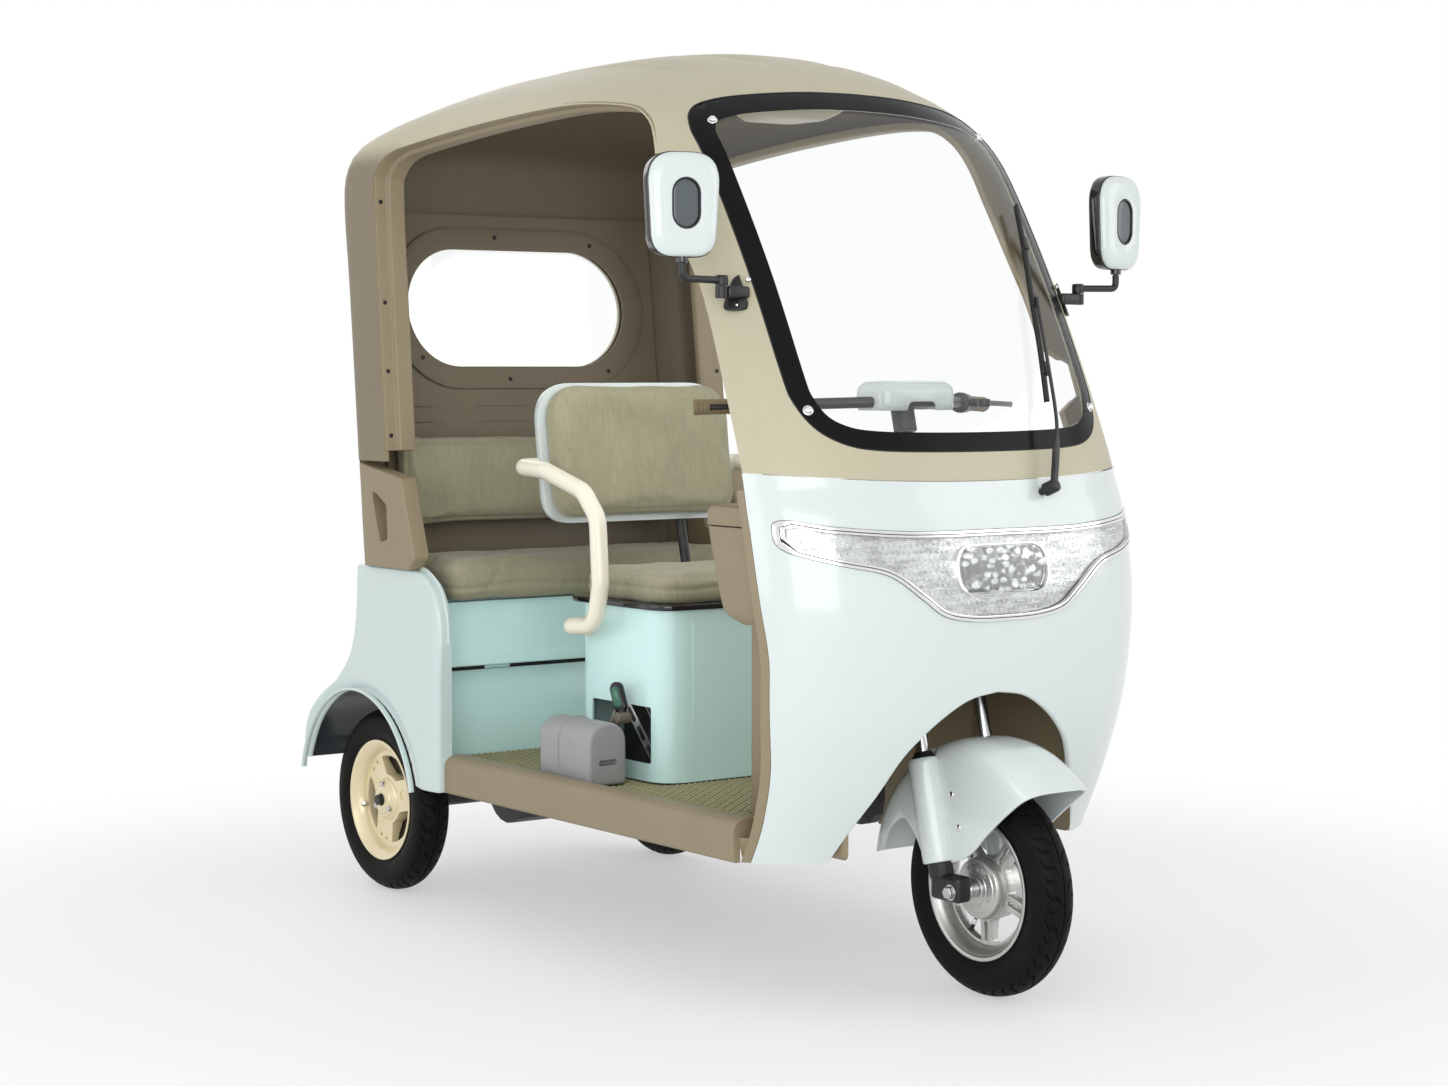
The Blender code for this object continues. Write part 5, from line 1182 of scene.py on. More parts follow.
def groove_depth(x, y):
    """How deep the roof's long grooves are at a place."""
    depth = 0.0
    for across in GROOVES:
        near = min(abs(abs(x) - across) / GROOVE_HALF, 1.0)
        depth = max(depth, 0.5 + 0.5 * math.cos(math.pi * near))
    fade = held((y - GROOVE_RUN[0]) / GROOVE_FADES[0]) * held((GROOVE_RUN[1] - y) / GROOVE_FADES[1])
    return sizes().lobe * depth * fade * fade * (3 - 2 * fade)


def cab_solid(name, inset, levels, finish=None):
    """The cab's outer form, or the form of its inside, as a closed solid."""
    loops = []
    for place in levels:
        height = sizes().belt + place * (sizes().roof - sizes().belt)
        drop = inset * held((place - 0.76) / 0.10)
        grooved = held((place - 0.80) / 0.08)
        loops.append([(x, y, height - drop - grooved * groove_depth(x, y))
                      for x, y in cab_ring(height, inset)])
    form = loft(name, loops)
    return paint(form, finish) if finish else form


DOOR_FRONT = [(0.105, 0.610), (0.120, 0.470), (0.155, 0.360), (0.200, 0.270)]
DOOR_EDGE = [
    (0.148, 0.900), (0.178, 1.010), (0.236, 1.160), (0.312, 1.335), (0.372, 1.430),
    (0.452, 1.560), (0.500, 1.655), (0.545, 1.700), (0.615, 1.725), (0.800, 1.737), (1.100, 1.724),
    (1.380, 1.700), (1.490, 1.684), (1.545, 1.650), (1.556, 1.580), (1.520, 1.200), (1.500, 0.998),
]
DOOR_FOOT = [(1.640, 0.9975), (1.605, 0.740), (1.100, 0.720), (0.148, 0.720)]
GLASS_HALF = [
    (0.0, 1.757), (0.12, 1.754), (0.24, 1.744), (0.31, 1.733), (0.357, 1.715), (0.383, 1.680),
    (0.389, 1.620), (0.387, 1.400), (0.385, 1.200), (0.378, 1.140), (0.352, 1.092), (0.305, 1.064),
    (0.24, 1.053), (0.12, 1.049), (0.0, 1.048),
]
WINDOW_HALF = (0.305, 0.140)
WINDOW_HEIGHT = 1.349
GLASS_LAP = 0.030
GLASS_THICKNESS = 0.004
BORDER = 0.036                          # the black band round the windscreen


def side_place(distance, z):
    y = after_front(distance) if distance < 1.0 else after_rear(distance - DRAWN_WHEELBASE)
    return y, scaled_height(z)


def door_edge():
    return flowing([side_place(*spot) for spot in DOOR_EDGE], 5)


def glass_outline(grow):
    half = flowing([(x, scaled_height(z)) for x, z in GLASS_HALF], 6)
    return offset_outline(mirrored(half), grow)


def window_outline(grow):
    return shifted(stadium(WINDOW_HALF[0] + grow, WINDOW_HALF[1] + grow), 0, WINDOW_HEIGHT)


def belt_line(offset):
    """The joint between cab and cowl, from right to left."""
    points = []
    for i in range(49):
        x = -0.6 + 1.2 * i / 48
        points.append((x, sizes().belt + 0.09 * x * x + offset))
    return points


def cab_shell():
    lowest = dense(CAB_LEVELS[:2], 0.045)[:-1]
    shell = cab_solid("cab_shell_skin", 0.0, lowest + ROOF_LEVELS, cab_moulding)
    inside = cab_solid("cut_cab_inside", sizes().cab_wall, INSIDE_LEVELS, dark_tan_moulding)
    cut(shell, inside)
    below_belt = belt_line(sizes().seam / 2) + [(0.6, 0.5), (-0.6, 0.5)]
    cut(shell,
        paint(slab("cut_below_belt", below_belt, after_front(-0.3), after_front(0.60), "Y"), tan_moulding))
    doorway = door_edge() + [side_place(*spot) for spot in DOOR_FOOT]
    cut(shell, paint(slab("cut_doors", doorway, -0.6, 0.6, "X"), middle_tan_moulding))
    cut(shell, paint(slab("cut_glass_opening", glass_outline(-GLASS_LAP), *FRONT_RUN, "Y"), tan_moulding))
    rebate = slab("cut_glass_rebate", glass_outline(sizes().seam), *FRONT_RUN, "Y")
    cut(rebate, cab_solid("cut_rebate_floor", GLASS_THICKNESS + 0.0015, INSIDE_LEVELS))
    cut(shell, paint(rebate, tan_moulding))
    window = window_outline(0.0)
    cut(shell, paint(slab("cut_rear_window", window, after_rear(0.0), after_rear(0.3), "Y"), tan_moulding))
    return put(shell, "body", "tan_moulding", "cab_shell", degrees=30)


# The stepped moulding that turns in round each doorway: outwards from the doorway, in from the skin
FLANGE_SECTION = [
    (0.001, 0.0030), (-0.0015, 0.0055), (-0.0020, 0.0290), (-0.0035, 0.0315), (-0.0105, 0.0345),
    (-0.0120, 0.0375), (-0.0120, 0.0700), (-0.0105, 0.0735), (-0.0070, 0.0750), (0.0040, 0.0750),
    (0.0060, 0.0720), (0.0060, 0.0400), (0.0075, 0.0130), (0.0060, 0.0118), (0.0050, 0.0030),
]
FLANGE_SCREWS = (1.579, 1.396, 1.174, 1.075)    # heights on the rear pillar


def grip_room():
    """The round space that the grips sweep when the handlebar turns, as a flat spinning-top form."""
    lean = Vector((0, math.sin(sizes().rake), math.cos(sizes().rake)))
    tip = bar_point(1, 1)
    start = steering_point(tip.z)
    lift = (tip - start).dot(lean)
    reach = (tip - start - lean * lift).length
    side, ahead = Vector((1, 0, 0)), lean.cross(Vector((1, 0, 0)))
    rings = []
    for rise, spare in ((-0.080, -0.050), (-0.034, 0.020), (0.034, 0.020), (0.080, -0.050)):
        centre = start + lean * (lift + rise)
        rings.append([centre + (side * math.cos(turn) + ahead * math.sin(turn)) * (reach + spare)
                      for turn in (math.tau * i / 96 for i in range(96))])
    return loft("cut_grip_room", rings)


def door_flanges():
    edge = [(y, z) for y, z in door_edge() if z > sizes().belt + 0.022]
    route = [(cab_side(y, z), y, z) for y, z in edge]
    flange = swept("door_flange_left", route, FLANGE_SECTION, up=(-1, 0, 0))
    bevelled(paint(flange, middle_tan_moulding), 0.0012, 2, 20)
    cut(flange, paint(grip_room(), middle_tan_moulding))
    screws = []
    rear = [(y, z) for y, z in edge if y > after_rear(-0.25)]
    for height in FLANGE_SCREWS:
        y, z = min(rear, key=lambda spot: abs(spot[1] - height))
        centre = Vector((cab_side(y, z) - 0.017, y - 0.0018, z))
        screws.append(paint(screw_head("screw", centre, (0, -1, 0.05), 0.0050), black_steel))
    screw_set = together("door_flange_screws_left", screws)
    for piece in (flange, screw_set):
        twin = copied(piece, piece.name.replace("left", "right"), MIRROR_X)
        for each in (piece, twin):
            put(each, "body", "tan_moulding" if "screws" not in each.name else "black_steel")


def windshield():
    for name, outer, inner, finish, depth in (
            ("windshield_border", 0.0, -BORDER, band_black, (0.0003, GLASS_THICKNESS)),
            ("windshield_pane", -BORDER - 0.0002, None, clear_pane, (0.0005, GLASS_THICKNESS))):
        sheet = slab(name, glass_outline(outer), *FRONT_RUN, "Y")
        if inner:
            cut(sheet, slab("cut_border", glass_outline(inner), after_front(-0.4), after_front(0.7), "Y"))
        keep_inside(sheet, cab_solid("keep_sheet", depth[0], INSIDE_LEVELS))
        cut(sheet, cab_solid("cut_sheet", depth[1], INSIDE_LEVELS))
        paint(sheet, finish)
        put(sheet, "body", "clear_pane", *(["windshield"] if finish is clear_pane else []), degrees=30)
    seal_route = [(x, skin_front(x, z) + 0.0012, z) for x, z in glass_outline(0.0004)]
    seal = paint(swept("windshield_seal", seal_route, round_section(0.0017, 8), closed=True), black_rubber)
    put(seal, "body", "black_rubber", degrees=60)
    bolts = []
    for x, z in ((0.3440, 1.6880), (0.3590, 1.1280)):
        for side in (-1, 1):
            centre = skin_point(side * x, z, 0.0)
            normal = skin_normal(side * x, z)
            washer = paint(dome("washer", centre, normal, 0.0100, 0.0022), chrome)
            bolts.append(washer)
            bolts.append(paint(dome("bolt", centre + normal * 0.0021, normal, 0.0074, 0.0058), chrome))
    put(together("windshield_bolts", bolts), "body", "headlamp_chrome")


CONSOLE_TOP = 1.752
CONSOLE_DROP = 0.044
CONSOLE_HALF = 0.115
CONSOLE_RUN = 0.15


def roof_console():
    """The shallow box under the roof's front edge that holds the lamp for the cab."""
    loops = []
    for t in (i / 8 for i in range(9)):
        half = CONSOLE_HALF - 0.050 * t * t
        y, z = after_front(0.56 + 0.03 * t), CONSOLE_TOP - CONSOLE_DROP * t ** 0.8
        plan = rounded_outline(oblong(-half, y, half, y + CONSOLE_RUN - 0.5 * (CONSOLE_TOP - z)), 0.028, 6)
        loops.append([(x, v, z + 0.012) for x, v in plan])
    console = paint(loft("roof_console", loops), tan_moulding)
    put(bevelled(console, 0.006, 3), "body", "tan_moulding")


# Rear wall

WALL_FOOT = 0.762
WALL_TOP = 1.600
WALL_HALF = 0.385
WALL_INSET = 0.0150
WALL_THICKNESS = 0.012


def lining(name, outline, inset, thickness, finish):
    """A layer inside the cab's rear that follows its curve, cut to an outline seen from behind."""
    levels = [-0.30] + ROOF_LEVELS[:24]
    layer = slab(name, outline, after_rear(-0.16), after_rear(0.20), "Y")
    keep_inside(layer, cab_solid("keep_" + name, inset, levels))
    cut(layer, cab_solid("cut_" + name, inset + thickness, levels))
    return paint(layer, finish)


def wall_face(x, z, inset):
    """Y of the front of a lining that is inset from the cab's rear skin."""
    half, _, _, tail, end, _ = cab_plan(z)
    across = min(abs(x) / (half - inset), 1.0)
    return tail + (end - inset - tail) * (1 - across ** REAR_ROUNDNESS) ** (1 / REAR_ROUNDNESS)


def rear_wall():
    outline = rounded_outline(oblong(-WALL_HALF, WALL_FOOT, WALL_HALF, WALL_TOP), [0.01, 0.01, 0.06, 0.06], 8)
    wall = lining("rear_wall_lining", outline, WALL_INSET, WALL_THICKNESS, dark_tan_moulding)
    cut(wall, slab("cut_wall_window", window_outline(0.010), after_rear(-0.2), after_rear(0.3), "Y"))
    front = WALL_INSET + WALL_THICKNESS
    for low_edge, high_edge in ((1.1155, 1.1180), (1.0790, 1.0815)):
        for start, end in ((-0.36, -0.14), (-0.125, 0.02), (0.035, 0.36)):
            groove = slab("cut_groove", oblong(start, low_edge, end, high_edge),
                          after_rear(-0.16), wall_face((start + end) / 2, low_edge, front) + 0.0016, "Y")
            cut(wall, groove)
    put(wall, "body", "dark_tan_moulding", "rear_wall", degrees=30)
    band = lining("rear_wall_band", window_outline(0.050), front - 0.001, 0.0075, dark_tan_moulding)
    cut(band, slab("cut_band_window", window_outline(-0.002), after_rear(-0.2), after_rear(0.3), "Y"))
    put(bevelled(band, 0.0022, 2, 50), "body", "dark_tan_moulding", degrees=40)
    screws = []
    for x, z in ((-0.048, 1.518), (-0.030, 1.181), (0.22, 1.505), (-0.27, 1.232), (0.25, 1.200),
                 (-0.30, 1.470)):
        centre = Vector((x, wall_face(x, z, front + 0.0072), z))
        screws.append(paint(screw_head("screw", centre, (0, -1, 0), 0.0052), black_steel))
    put(together("rear_wall_screws", screws), "body", "black_steel")


# Cowl, leg shield and headlamp

LAMP_HALF = [
    (0.0, 0.902), (0.20, 0.903), (0.36, 0.915), (0.435, 0.927), (0.448, 0.905), (0.436, 0.868),
    (0.36, 0.843), (0.27, 0.822), (0.200, 0.775), (0.150, 0.742), (0.08, 0.729), (0.0, 0.727),
]
ARCH_HALF = [
    (0.0, 0.592), (0.07, 0.581), (0.13, 0.550), (0.18, 0.510), (0.215, 0.470), (0.25, 0.405),
    (0.29, 0.330), (0.325, 0.240),
]
COWL_LEVELS = 44


def lamp_outline(grow):
    return clean_offset(mirrored(flowing(LAMP_HALF, 6)), grow)


def nose_solid(name, inset, near, far, back, forward=0.0, levels=COWL_LEVELS):
    """The cowl's front form as a closed solid with a flat back."""
    rings = []
    for i in range(levels):
        z = near + (far - near) * i / (levels - 1)
        half = nose_curve(z, inset)
        right = [(x, y - forward) for x, y in half] + [(half[-1][0], back)]
        ring = right + [(-x, y) for x, y in reversed(right[1:])]
        rings.append([(x, y, z) for x, y in ring])
    return loft(name, rings)


def cowl_edge():
    return flowing([(0.181, 1.06), (0.178, 1.01), (0.148, 0.90), (0.118, 0.76), (0.104, 0.68)] + DOOR_FRONT,
                   6)


def front_cowl():
    back = after_front(0.42)
    belt, foot = sizes().belt, sizes().sill_low
    shell = paint(nose_solid("front_cowl_skin", 0.0, foot, belt + 0.04, back), mint_paint)
    inner = nose_solid("cut_cowl_inside", sizes().cowl_wall, foot - 0.01, belt + 0.05, back + 0.05)
    cut(shell, paint(inner, dark_tan_moulding))
    above = belt_line(-sizes().seam / 2) + [(0.6, 1.2), (-0.6, 1.2)]
    curve = [(after_front(distance), z) for distance, z in cowl_edge()]
    behind = [(after_front(0.9), 1.06)] + curve + [(after_front(0.2), 0.2), (after_front(0.9), 0.2)]
    arch = mirrored(flowing(ARCH_HALF, 8))
    cutters = (slab("cut_above_belt", above, after_front(-0.3), after_front(0.60), "Y"),
               slab("cut_behind_cowl", behind, -0.6, 0.6, "X"),
               slab("cut_wheel_arch", arch, after_front(-0.3), after_front(0.44), "Y"),
               slab("cut_lamp_opening", lamp_outline(0.0), after_front(-0.3), after_front(0.2), "Y"))
    for cutter in cutters:
        cut(shell, paint(cutter, mint_paint))
    put(shell, "body", "mint_paint", "front_cowl", degrees=30)


def arch_lip():
    """The rolled edge of the wheel opening."""
    half = [(x, z) for x, z in flowing(ARCH_HALF, 8) if z > sizes().sill_low + 0.004]
    whole = [(-x, z) for x, z in reversed(half)] + half[1:]
    route = [Vector((x, skin_front(x, z), z)) - skin_normal(x, z) * 0.0075 for x, z in whole]
    section = [(u * 0.0048, v * 0.0072) for u, v in round_section(1.0, 16)]
    rings = []
    for i, (x, z) in enumerate(whole):
        a, b = route[max(i - 1, 0)], route[min(i + 1, len(route) - 1)]
        along = (b - a).normalized()
        out = skin_normal(x, z)
        side = along.cross(out).normalized()
        rings.append([route[i] + side * u + out * v for u, v in section])
    put(paint(loft("front_cowl_arch_lip", rings), mint_paint), "body", "mint_paint", degrees=60)


def lamp_layer(name, grow_outer, grow_inner, proud, behind):
    """A layer of the headlamp that follows the cowl's curve."""
    piece = slab(name, lamp_outline(grow_outer), after_front(-0.3), after_front(0.25), "Y")
    if grow_inner is not None:
        cut(piece, slab("cut_" + name, lamp_outline(grow_inner), after_front(-0.35), after_front(0.3), "Y"))
    keep_inside(piece, nose_solid("keep_" + name, 0.0, 0.66, 0.98, after_front(0.48), proud, 24))
    cut(piece, nose_solid("behind_" + name, 0.0, 0.64, 1.0, after_front(0.52), proud - behind, 24))
    return piece


def lamp_spot(x, z, sunk):
    return Vector((x, skin_front(x, z) + sunk, z))


LAMP_RIM = 0.006
EYE_CENTRE = (0.006, 0.826)             # across and up
PRISM_PITCH = 0.0125
PRISM_FOOT = 0.738


def headlamp_trim():
    """The chrome outline: an outer bead, a flat step and an inner bead, wider along the foot."""
    outer = paint(lamp_layer("headlamp_outer_bead", -0.0008, -LAMP_RIM, 0.0058, 0.012), chrome)
    put(bevelled(outer, 0.0022, 3, 50), "body", "headlamp_chrome", "headlamp_bezel", degrees=40)
    inner = paint(lamp_layer("headlamp_inner_bead", -0.0078, -0.0118, 0.0050, 0.009), chrome)
    put(bevelled(inner, 0.0012, 2, 50), "body", "headlamp_chrome", degrees=40)
    line = paint(lamp_layer("headlamp_dark_line", -LAMP_RIM - 0.0002, -0.0076, 0.0022, 0.006), black_gloss)
    put(line, "body", "black_plastic", degrees=40)


def headlamp_inside():
    lens = paint(lamp_layer("headlamp_cover", -0.0122, None, 0.0040, 0.0030), lamp_lens)
    put(lens, "body", "clear_pane", "headlamp_lens", degrees=30)
    bowl = paint(lamp_layer("headlamp_bowl", -0.0120, None, -0.0085, 0.0100), lamp_mirror)
    put(bowl, "body", "headlamp_chrome", "headlamp_housing", degrees=30)
    centre_x, centre_z = EYE_CENTRE
    ring = [(centre_x + x, centre_z + z)
            for x, z in rounded_outline(oblong(-0.118, -0.048, 0.118, 0.048), 0.046, 10)]
    wall = [[lamp_spot(centre_x + (x - centre_x) * s, centre_z + (z - centre_z) * s, sunk) for x, z in ring]
            for s, sunk in ((1.0, 0.0085), (1.0, 0.0020), (0.955, 0.0020), (0.93, 0.0085))]
    put(paint(loft("headlamp_eye_ring", wall), chrome), "body", "headlamp_chrome", degrees=30)
    lamp_facet_sheet(centre_x, centre_z)
    prisms = []
    inside = lamp_outline(-0.019)
    for j in range(15):
        for i in range(-35, 36):
            x = (i + (j % 2) / 2) * PRISM_PITCH
            z = PRISM_FOOT + j * PRISM_PITCH
            beside_eye = (abs(x - centre_x) / 0.128) ** 4 + (abs(z - centre_z) / 0.056) ** 4 >= 1
            if beside_eye and within(x, z, inside):
                prisms.append((lamp_spot(x, z, 0.0086), skin_normal(x, z)))
    bm = bmesh.new()
    for base, normal in prisms:
        turn = normal.to_track_quat("Z", "Y").to_matrix().to_4x4()
        bmesh.ops.create_cone(bm, cap_ends=True, segments=6, radius1=0.0046, radius2=0.0020, depth=0.0034,
                              matrix=Matrix.Translation(base) @ turn)
    put(paint(from_bmesh("headlamp_prisms", bm), lamp_mirror), "body", "headlamp_chrome", degrees=10)


def lamp_facet_sheet(centre_x, centre_z):
    """The projector behind the ring: a thin sheet of flat facets at uneven depths."""
    points = []
    columns, rows = 9, 5
    for j in range(rows + 1):
        for i in range(columns + 1):
            u = -1 + 2 * i / columns
            v = -1 + 2 * j / rows
            squeeze = math.sqrt(max(1 - 0.32 * v * v, 0.0))
            sunk = 0.0068 - 0.0052 * ((i * 7 + j * 5) % 4) / 3
            points.append(lamp_spot(centre_x + u * 0.105 * squeeze, centre_z + v * 0.042, sunk))
    bm = bmesh.new()
    upper = [bm.verts.new(p) for p in points]
    lower = [bm.verts.new(p + Vector((0, 0.006, 0))) for p in points]
    width = columns + 1
    for j in range(rows):
        for i in range(columns):
            a = j * width + i
            for layer in (upper, lower):
                bm.faces.new((layer[a], layer[a + 1], layer[a + width + 1], layer[a + width]))
    edge = (list(range(width)) + [j * width + columns for j in range(1, rows + 1)]
            + [rows * width + i for i in range(columns - 1, -1, -1)]
            + [j * width for j in range(rows - 1, 0, -1)])
    for a, b in zip(edge, edge[1:] + edge[:1]):
        bm.faces.new((upper[a], upper[b], lower[b], lower[a]))
    put(paint(from_bmesh("headlamp_facets", bm), lamp_facets), "body", "headlamp_chrome", degrees=5)


def within(x, z, outline):
    """True if a place lies inside a closed outline."""
    inside = False
    for (x0, z0), (x1, z1) in zip(outline, outline[1:] + outline[:1]):
        if (z0 > z) != (z1 > z) and x < x0 + (z - z0) * (x1 - x0) / (z1 - z0):
            inside = not inside
    return inside


# Leg shield, floor and mat

TUNNEL_HALF = 0.293
TUNNEL_BACK = 0.385
SHIELD_WALL = 0.008
SHIELD_TOP = 0.985
COLUMN_RADIUS = 0.0125
STEM_TOP = 1.112                        # height of the steering column's upper end
PEDAL_PIVOT = (0.412, 0.500)            # behind the front axle, and height


def leg_shield():
    edge = [(d, z) for d, z in cowl_edge() if z < 0.984]
    front = [(after_front(d + 0.0015), z) for d, z in edge]
    back = [(after_front(d + 0.018), z) for d, z in reversed(edge)]
    shield = slab("leg_shield_lining", front + back, -0.47, 0.47, "X")
    keep_inside(shield, nose_solid("keep_shield", 0.0, 0.273, 0.99, after_front(0.5)))
    near = (-TUNNEL_HALF, after_front(0.078), 0.2755)
    far = (TUNNEL_HALF, after_front(TUNNEL_BACK), SHIELD_TOP)
    join(shield, block("join_tunnel", near, far, 0.016, 5))
    hollow_near = (near[0] + SHIELD_WALL, near[1] - 0.2, near[2] - 0.1)
    hollow_far = (far[0] - SHIELD_WALL, far[1] - SHIELD_WALL, far[2] - SHIELD_WALL)
    cut(shield, block("cut_tunnel", hollow_near, hollow_far),
        block("cut_backbone_notch", (-0.035, far[1] - 0.05, 0.2), (0.035, far[1] + 0.05, 0.322)),
        rod("cut_column", steering_point(0.90), steering_point(1.05), COLUMN_RADIUS + 0.010))
    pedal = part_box("brake_pedal")
    bracket_x = pedal[0].x + 0.006
    pivot_y, pivot_z = after_front(PEDAL_PIVOT[0]), PEDAL_PIVOT[1]
    join(shield,
         block("join_pedal_bracket", (bracket_x - 0.016, after_front(TUNNEL_BACK - 0.003), pivot_z - 0.014),
                       (bracket_x - 0.004, pivot_y + 0.014, pivot_z + 0.014), 0.003))
    paint(shield, middle_tan_moulding)
    put(shield, "body", "dark_tan_moulding", "leg_shield", degrees=30)
    pin = rod("pedal_pin", (bracket_x - 0.006, pivot_y, pivot_z), (pedal[1].x + 0.004, pivot_y, pivot_z),
              0.005)
    put(bevelled(paint(pin, black_steel), 0.001), "body", "black_steel")
    for word, side in SIDES:
        glove_bin(word, side)


BIN_ACROSS = (0.298, 0.446)
BIN_FOOT = 0.725
BIN_LID = 0.908
BIN_TOP = 0.948


def bin_plan(z, grow):
    """The plan of a glove bin at a height: it gets shallower towards its foot."""
    rise = held((z - BIN_FOOT) / (BIN_LID - BIN_FOOT))
    tuck = 0.030 * (1 - min((z - BIN_FOOT) / 0.030, 1.0)) ** 2
    back = 0.262 + 0.066 * rise ** 0.7 - tuck + grow
    low_x, high_x = BIN_ACROSS[0] - grow + tuck * 0.4, BIN_ACROSS[1] + grow - tuck * 0.4
    corners = oblong(low_x, after_front(0.128), high_x, after_front(back))
    return rounded_outline(corners, [0.003, 0.003, 0.034, 0.030], 8)


def glove_bin(word, side):
    heights = [BIN_FOOT + (BIN_LID - 0.0012 - BIN_FOOT) * (i / 16) ** 1.4 for i in range(17)]
    body = loft("glove_bin_" + word, [[(x, y, z) for x, y in bin_plan(z, 0.0)] for z in heights])
    lid_levels = [(BIN_LID + 0.0008, -0.0025), (BIN_LID + 0.0016, 0.0004), (BIN_LID + 0.0040, 0.0012),
                  (BIN_TOP - 0.012, 0.0008), (BIN_TOP - 0.004, -0.0035), (BIN_TOP, -0.014)]
    lid = loft("glove_bin_lid_" + word, [[(x, y, z) for x, y in bin_plan(BIN_LID, grow)]
                                         for z, grow in lid_levels])
    for piece in (body, lid):
        if side < 0:
            moved(piece, piece.name, MIRROR_X)
        put(paint(piece, middle_tan_moulding), "body", "dark_tan_moulding", degrees=40)


SILL_HALF = 0.452
SILL_INNER = 0.400
SILL_TOP = 0.355
FLOOR_TOP = 0.325
FLOOR_REAR = -0.228                     # from the rear axle
FILLER_FOOT = 0.2765
REAR_BODY_FRONT = -0.350
BENCH_HALF = 0.430


def floor_pan():
    foot = sizes().sill_low
    front, rear_side = after_front(0.2185), after_rear(REAR_BODY_FRONT - 0.0005)
    outer = [(SILL_HALF - 0.004, foot), (SILL_HALF, foot + 0.005)]
    for i in range(11):
        turn = math.radians(90 * i / 10)
        outer.append((SILL_HALF - 0.030 + 0.030 * math.cos(turn), SILL_TOP - 0.024 + 0.024 * math.sin(turn)))
    section = outer + [(SILL_INNER + 0.007, SILL_TOP), (SILL_INNER + 0.002, SILL_TOP - 0.002),
                       (SILL_INNER, SILL_TOP - 0.007), (SILL_INNER, FLOOR_TOP - 0.008),
                       (SILL_HALF - 0.015, FLOOR_TOP - 0.008), (SILL_HALF - 0.015, foot)]
    left = slab("floor_pan_sills", section, front, rear_side, "Y")
    right = slab("join_sill", [(-x, z) for x, z in section], front, rear_side, "Y")
    notch = TUNNEL_HALF + 0.0005
    plan = [(SILL_INNER + 0.01, front), (SILL_INNER + 0.01, rear_side - 0.002),
            (-SILL_INNER - 0.01, rear_side - 0.002), (-SILL_INNER - 0.01, front), (-notch, front),
            (-notch, after_front(TUNNEL_BACK + 0.0005)), (notch, after_front(TUNNEL_BACK + 0.0005)),
            (notch, front)]
    plate = slab("join_floor", plan, FLOOR_TOP - 0.0078, FLOOR_TOP, "Z")
    tail = block("join_floor_tail", (-BENCH_HALF + 0.003, rear_side - 0.010, FLOOR_TOP - 0.0076),
                 (BENCH_HALF - 0.003, after_rear(FLOOR_REAR), FLOOR_TOP - 0.0002))
    join(left, plate, right, tail)
    put(paint(left, middle_tan_moulding), "body", "tan_moulding", "floor_pan", degrees=30)


def toe_fillers():
    """Strips that close the floor to the foot of the leg shield."""
    edge = sorted((z, d) for d, z in cowl_edge())
    levels = np.linspace(FILLER_FOOT, FLOOR_TOP - 0.0045, 7)
    shield_back = np.interp(levels, [z for z, d in edge], [d for z, d in edge]) + 0.0187
    rear = after_front(0.2182)
    section = [(after_front(d), z) for d, z in zip(shield_back, levels)]
    section += [(rear, levels[-1]), (rear, levels[0])]
    left = slab("toe_filler_left", section, TUNNEL_HALF + 0.001, 0.45, "X")
    keep_inside(left, nose_solid("keep_filler", 0.006, 0.2745, 0.5, after_front(0.5)))
    paint(left, middle_tan_moulding)
    right = copied(left, "toe_filler_right", MIRROR_X)
    for piece in (left, right):
        put(piece, "body", "tan_moulding", degrees=30)


def standing(x, y, boxes):
    """True if something stands on the mat at this place."""
    return any(near.x - 0.004 < x < far.x + 0.004 and near.y - 0.004 < y < far.y + 0.004
               for near, far in boxes)


def floor_mat():
    """A rubber mat with rows of raised oblong studs, alternately along and across."""
    base, top = low("floor_mat").z, high("floor_mat").z
    half = high("floor_mat").x
    notch = TUNNEL_HALF + 0.002
    front, notch_back, rear = low("floor_mat").y, after_front(TUNNEL_BACK + 0.002), high("floor_mat").y
    plan = [(half, front), (half, rear), (-half, rear), (-half, front), (-notch, front), (-notch, notch_back),
            (notch, notch_back), (notch, front)]
    sheet = slab("floor_mat_sheet", plan, base, top - 0.0035, "Z")
    put(bevelled(paint(sheet, tan_mat), 0.0012, 2), "body", "tan_mat", "floor_mat", degrees=30)
    boxes = [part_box("seat_box"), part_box("parking_brake_housing")]
    bm = bmesh.new()
    pitch_x, pitch_y = 0.0150, 0.0125
    rows = int((rear - front) / pitch_y)
    columns = int(2 * half / pitch_x)
    for j in range(rows):
        for i in range(columns):
            x = -half + pitch_x * (i + 0.5)
            y = front + pitch_y * (j + 0.5)
            if (abs(x) < notch + 0.008 and y < notch_back + 0.008) or standing(x, y, boxes):
                continue
            lengthwise = (i + j) % 2
            reach = Vector((0.0068, 0.0032, 0)) if lengthwise else Vector((0.0036, 0.0056, 0))
            rings = []
            for scale, z in ((1.0, top - 0.0038), (0.86, top - 0.0012), (0.55, top)):
                rings.append([bm.verts.new((x + reach.x * scale * math.cos(math.radians(22.5 + 45 * k)),
                                            y + reach.y * scale * math.sin(math.radians(22.5 + 45 * k)), z))
                              for k in range(8)])
            for a, b in zip(rings, rings[1:]):
                for k in range(8):
                    bm.faces.new((a[k], a[(k + 1) % 8], b[(k + 1) % 8], b[k]))
            bm.faces.new(rings[-1])
            bm.faces.new(reversed(rings[0]))
    put(paint(from_bmesh("floor_mat_studs", bm, True), tan_mat), "body", "tan_mat", degrees=50)


# Rear body

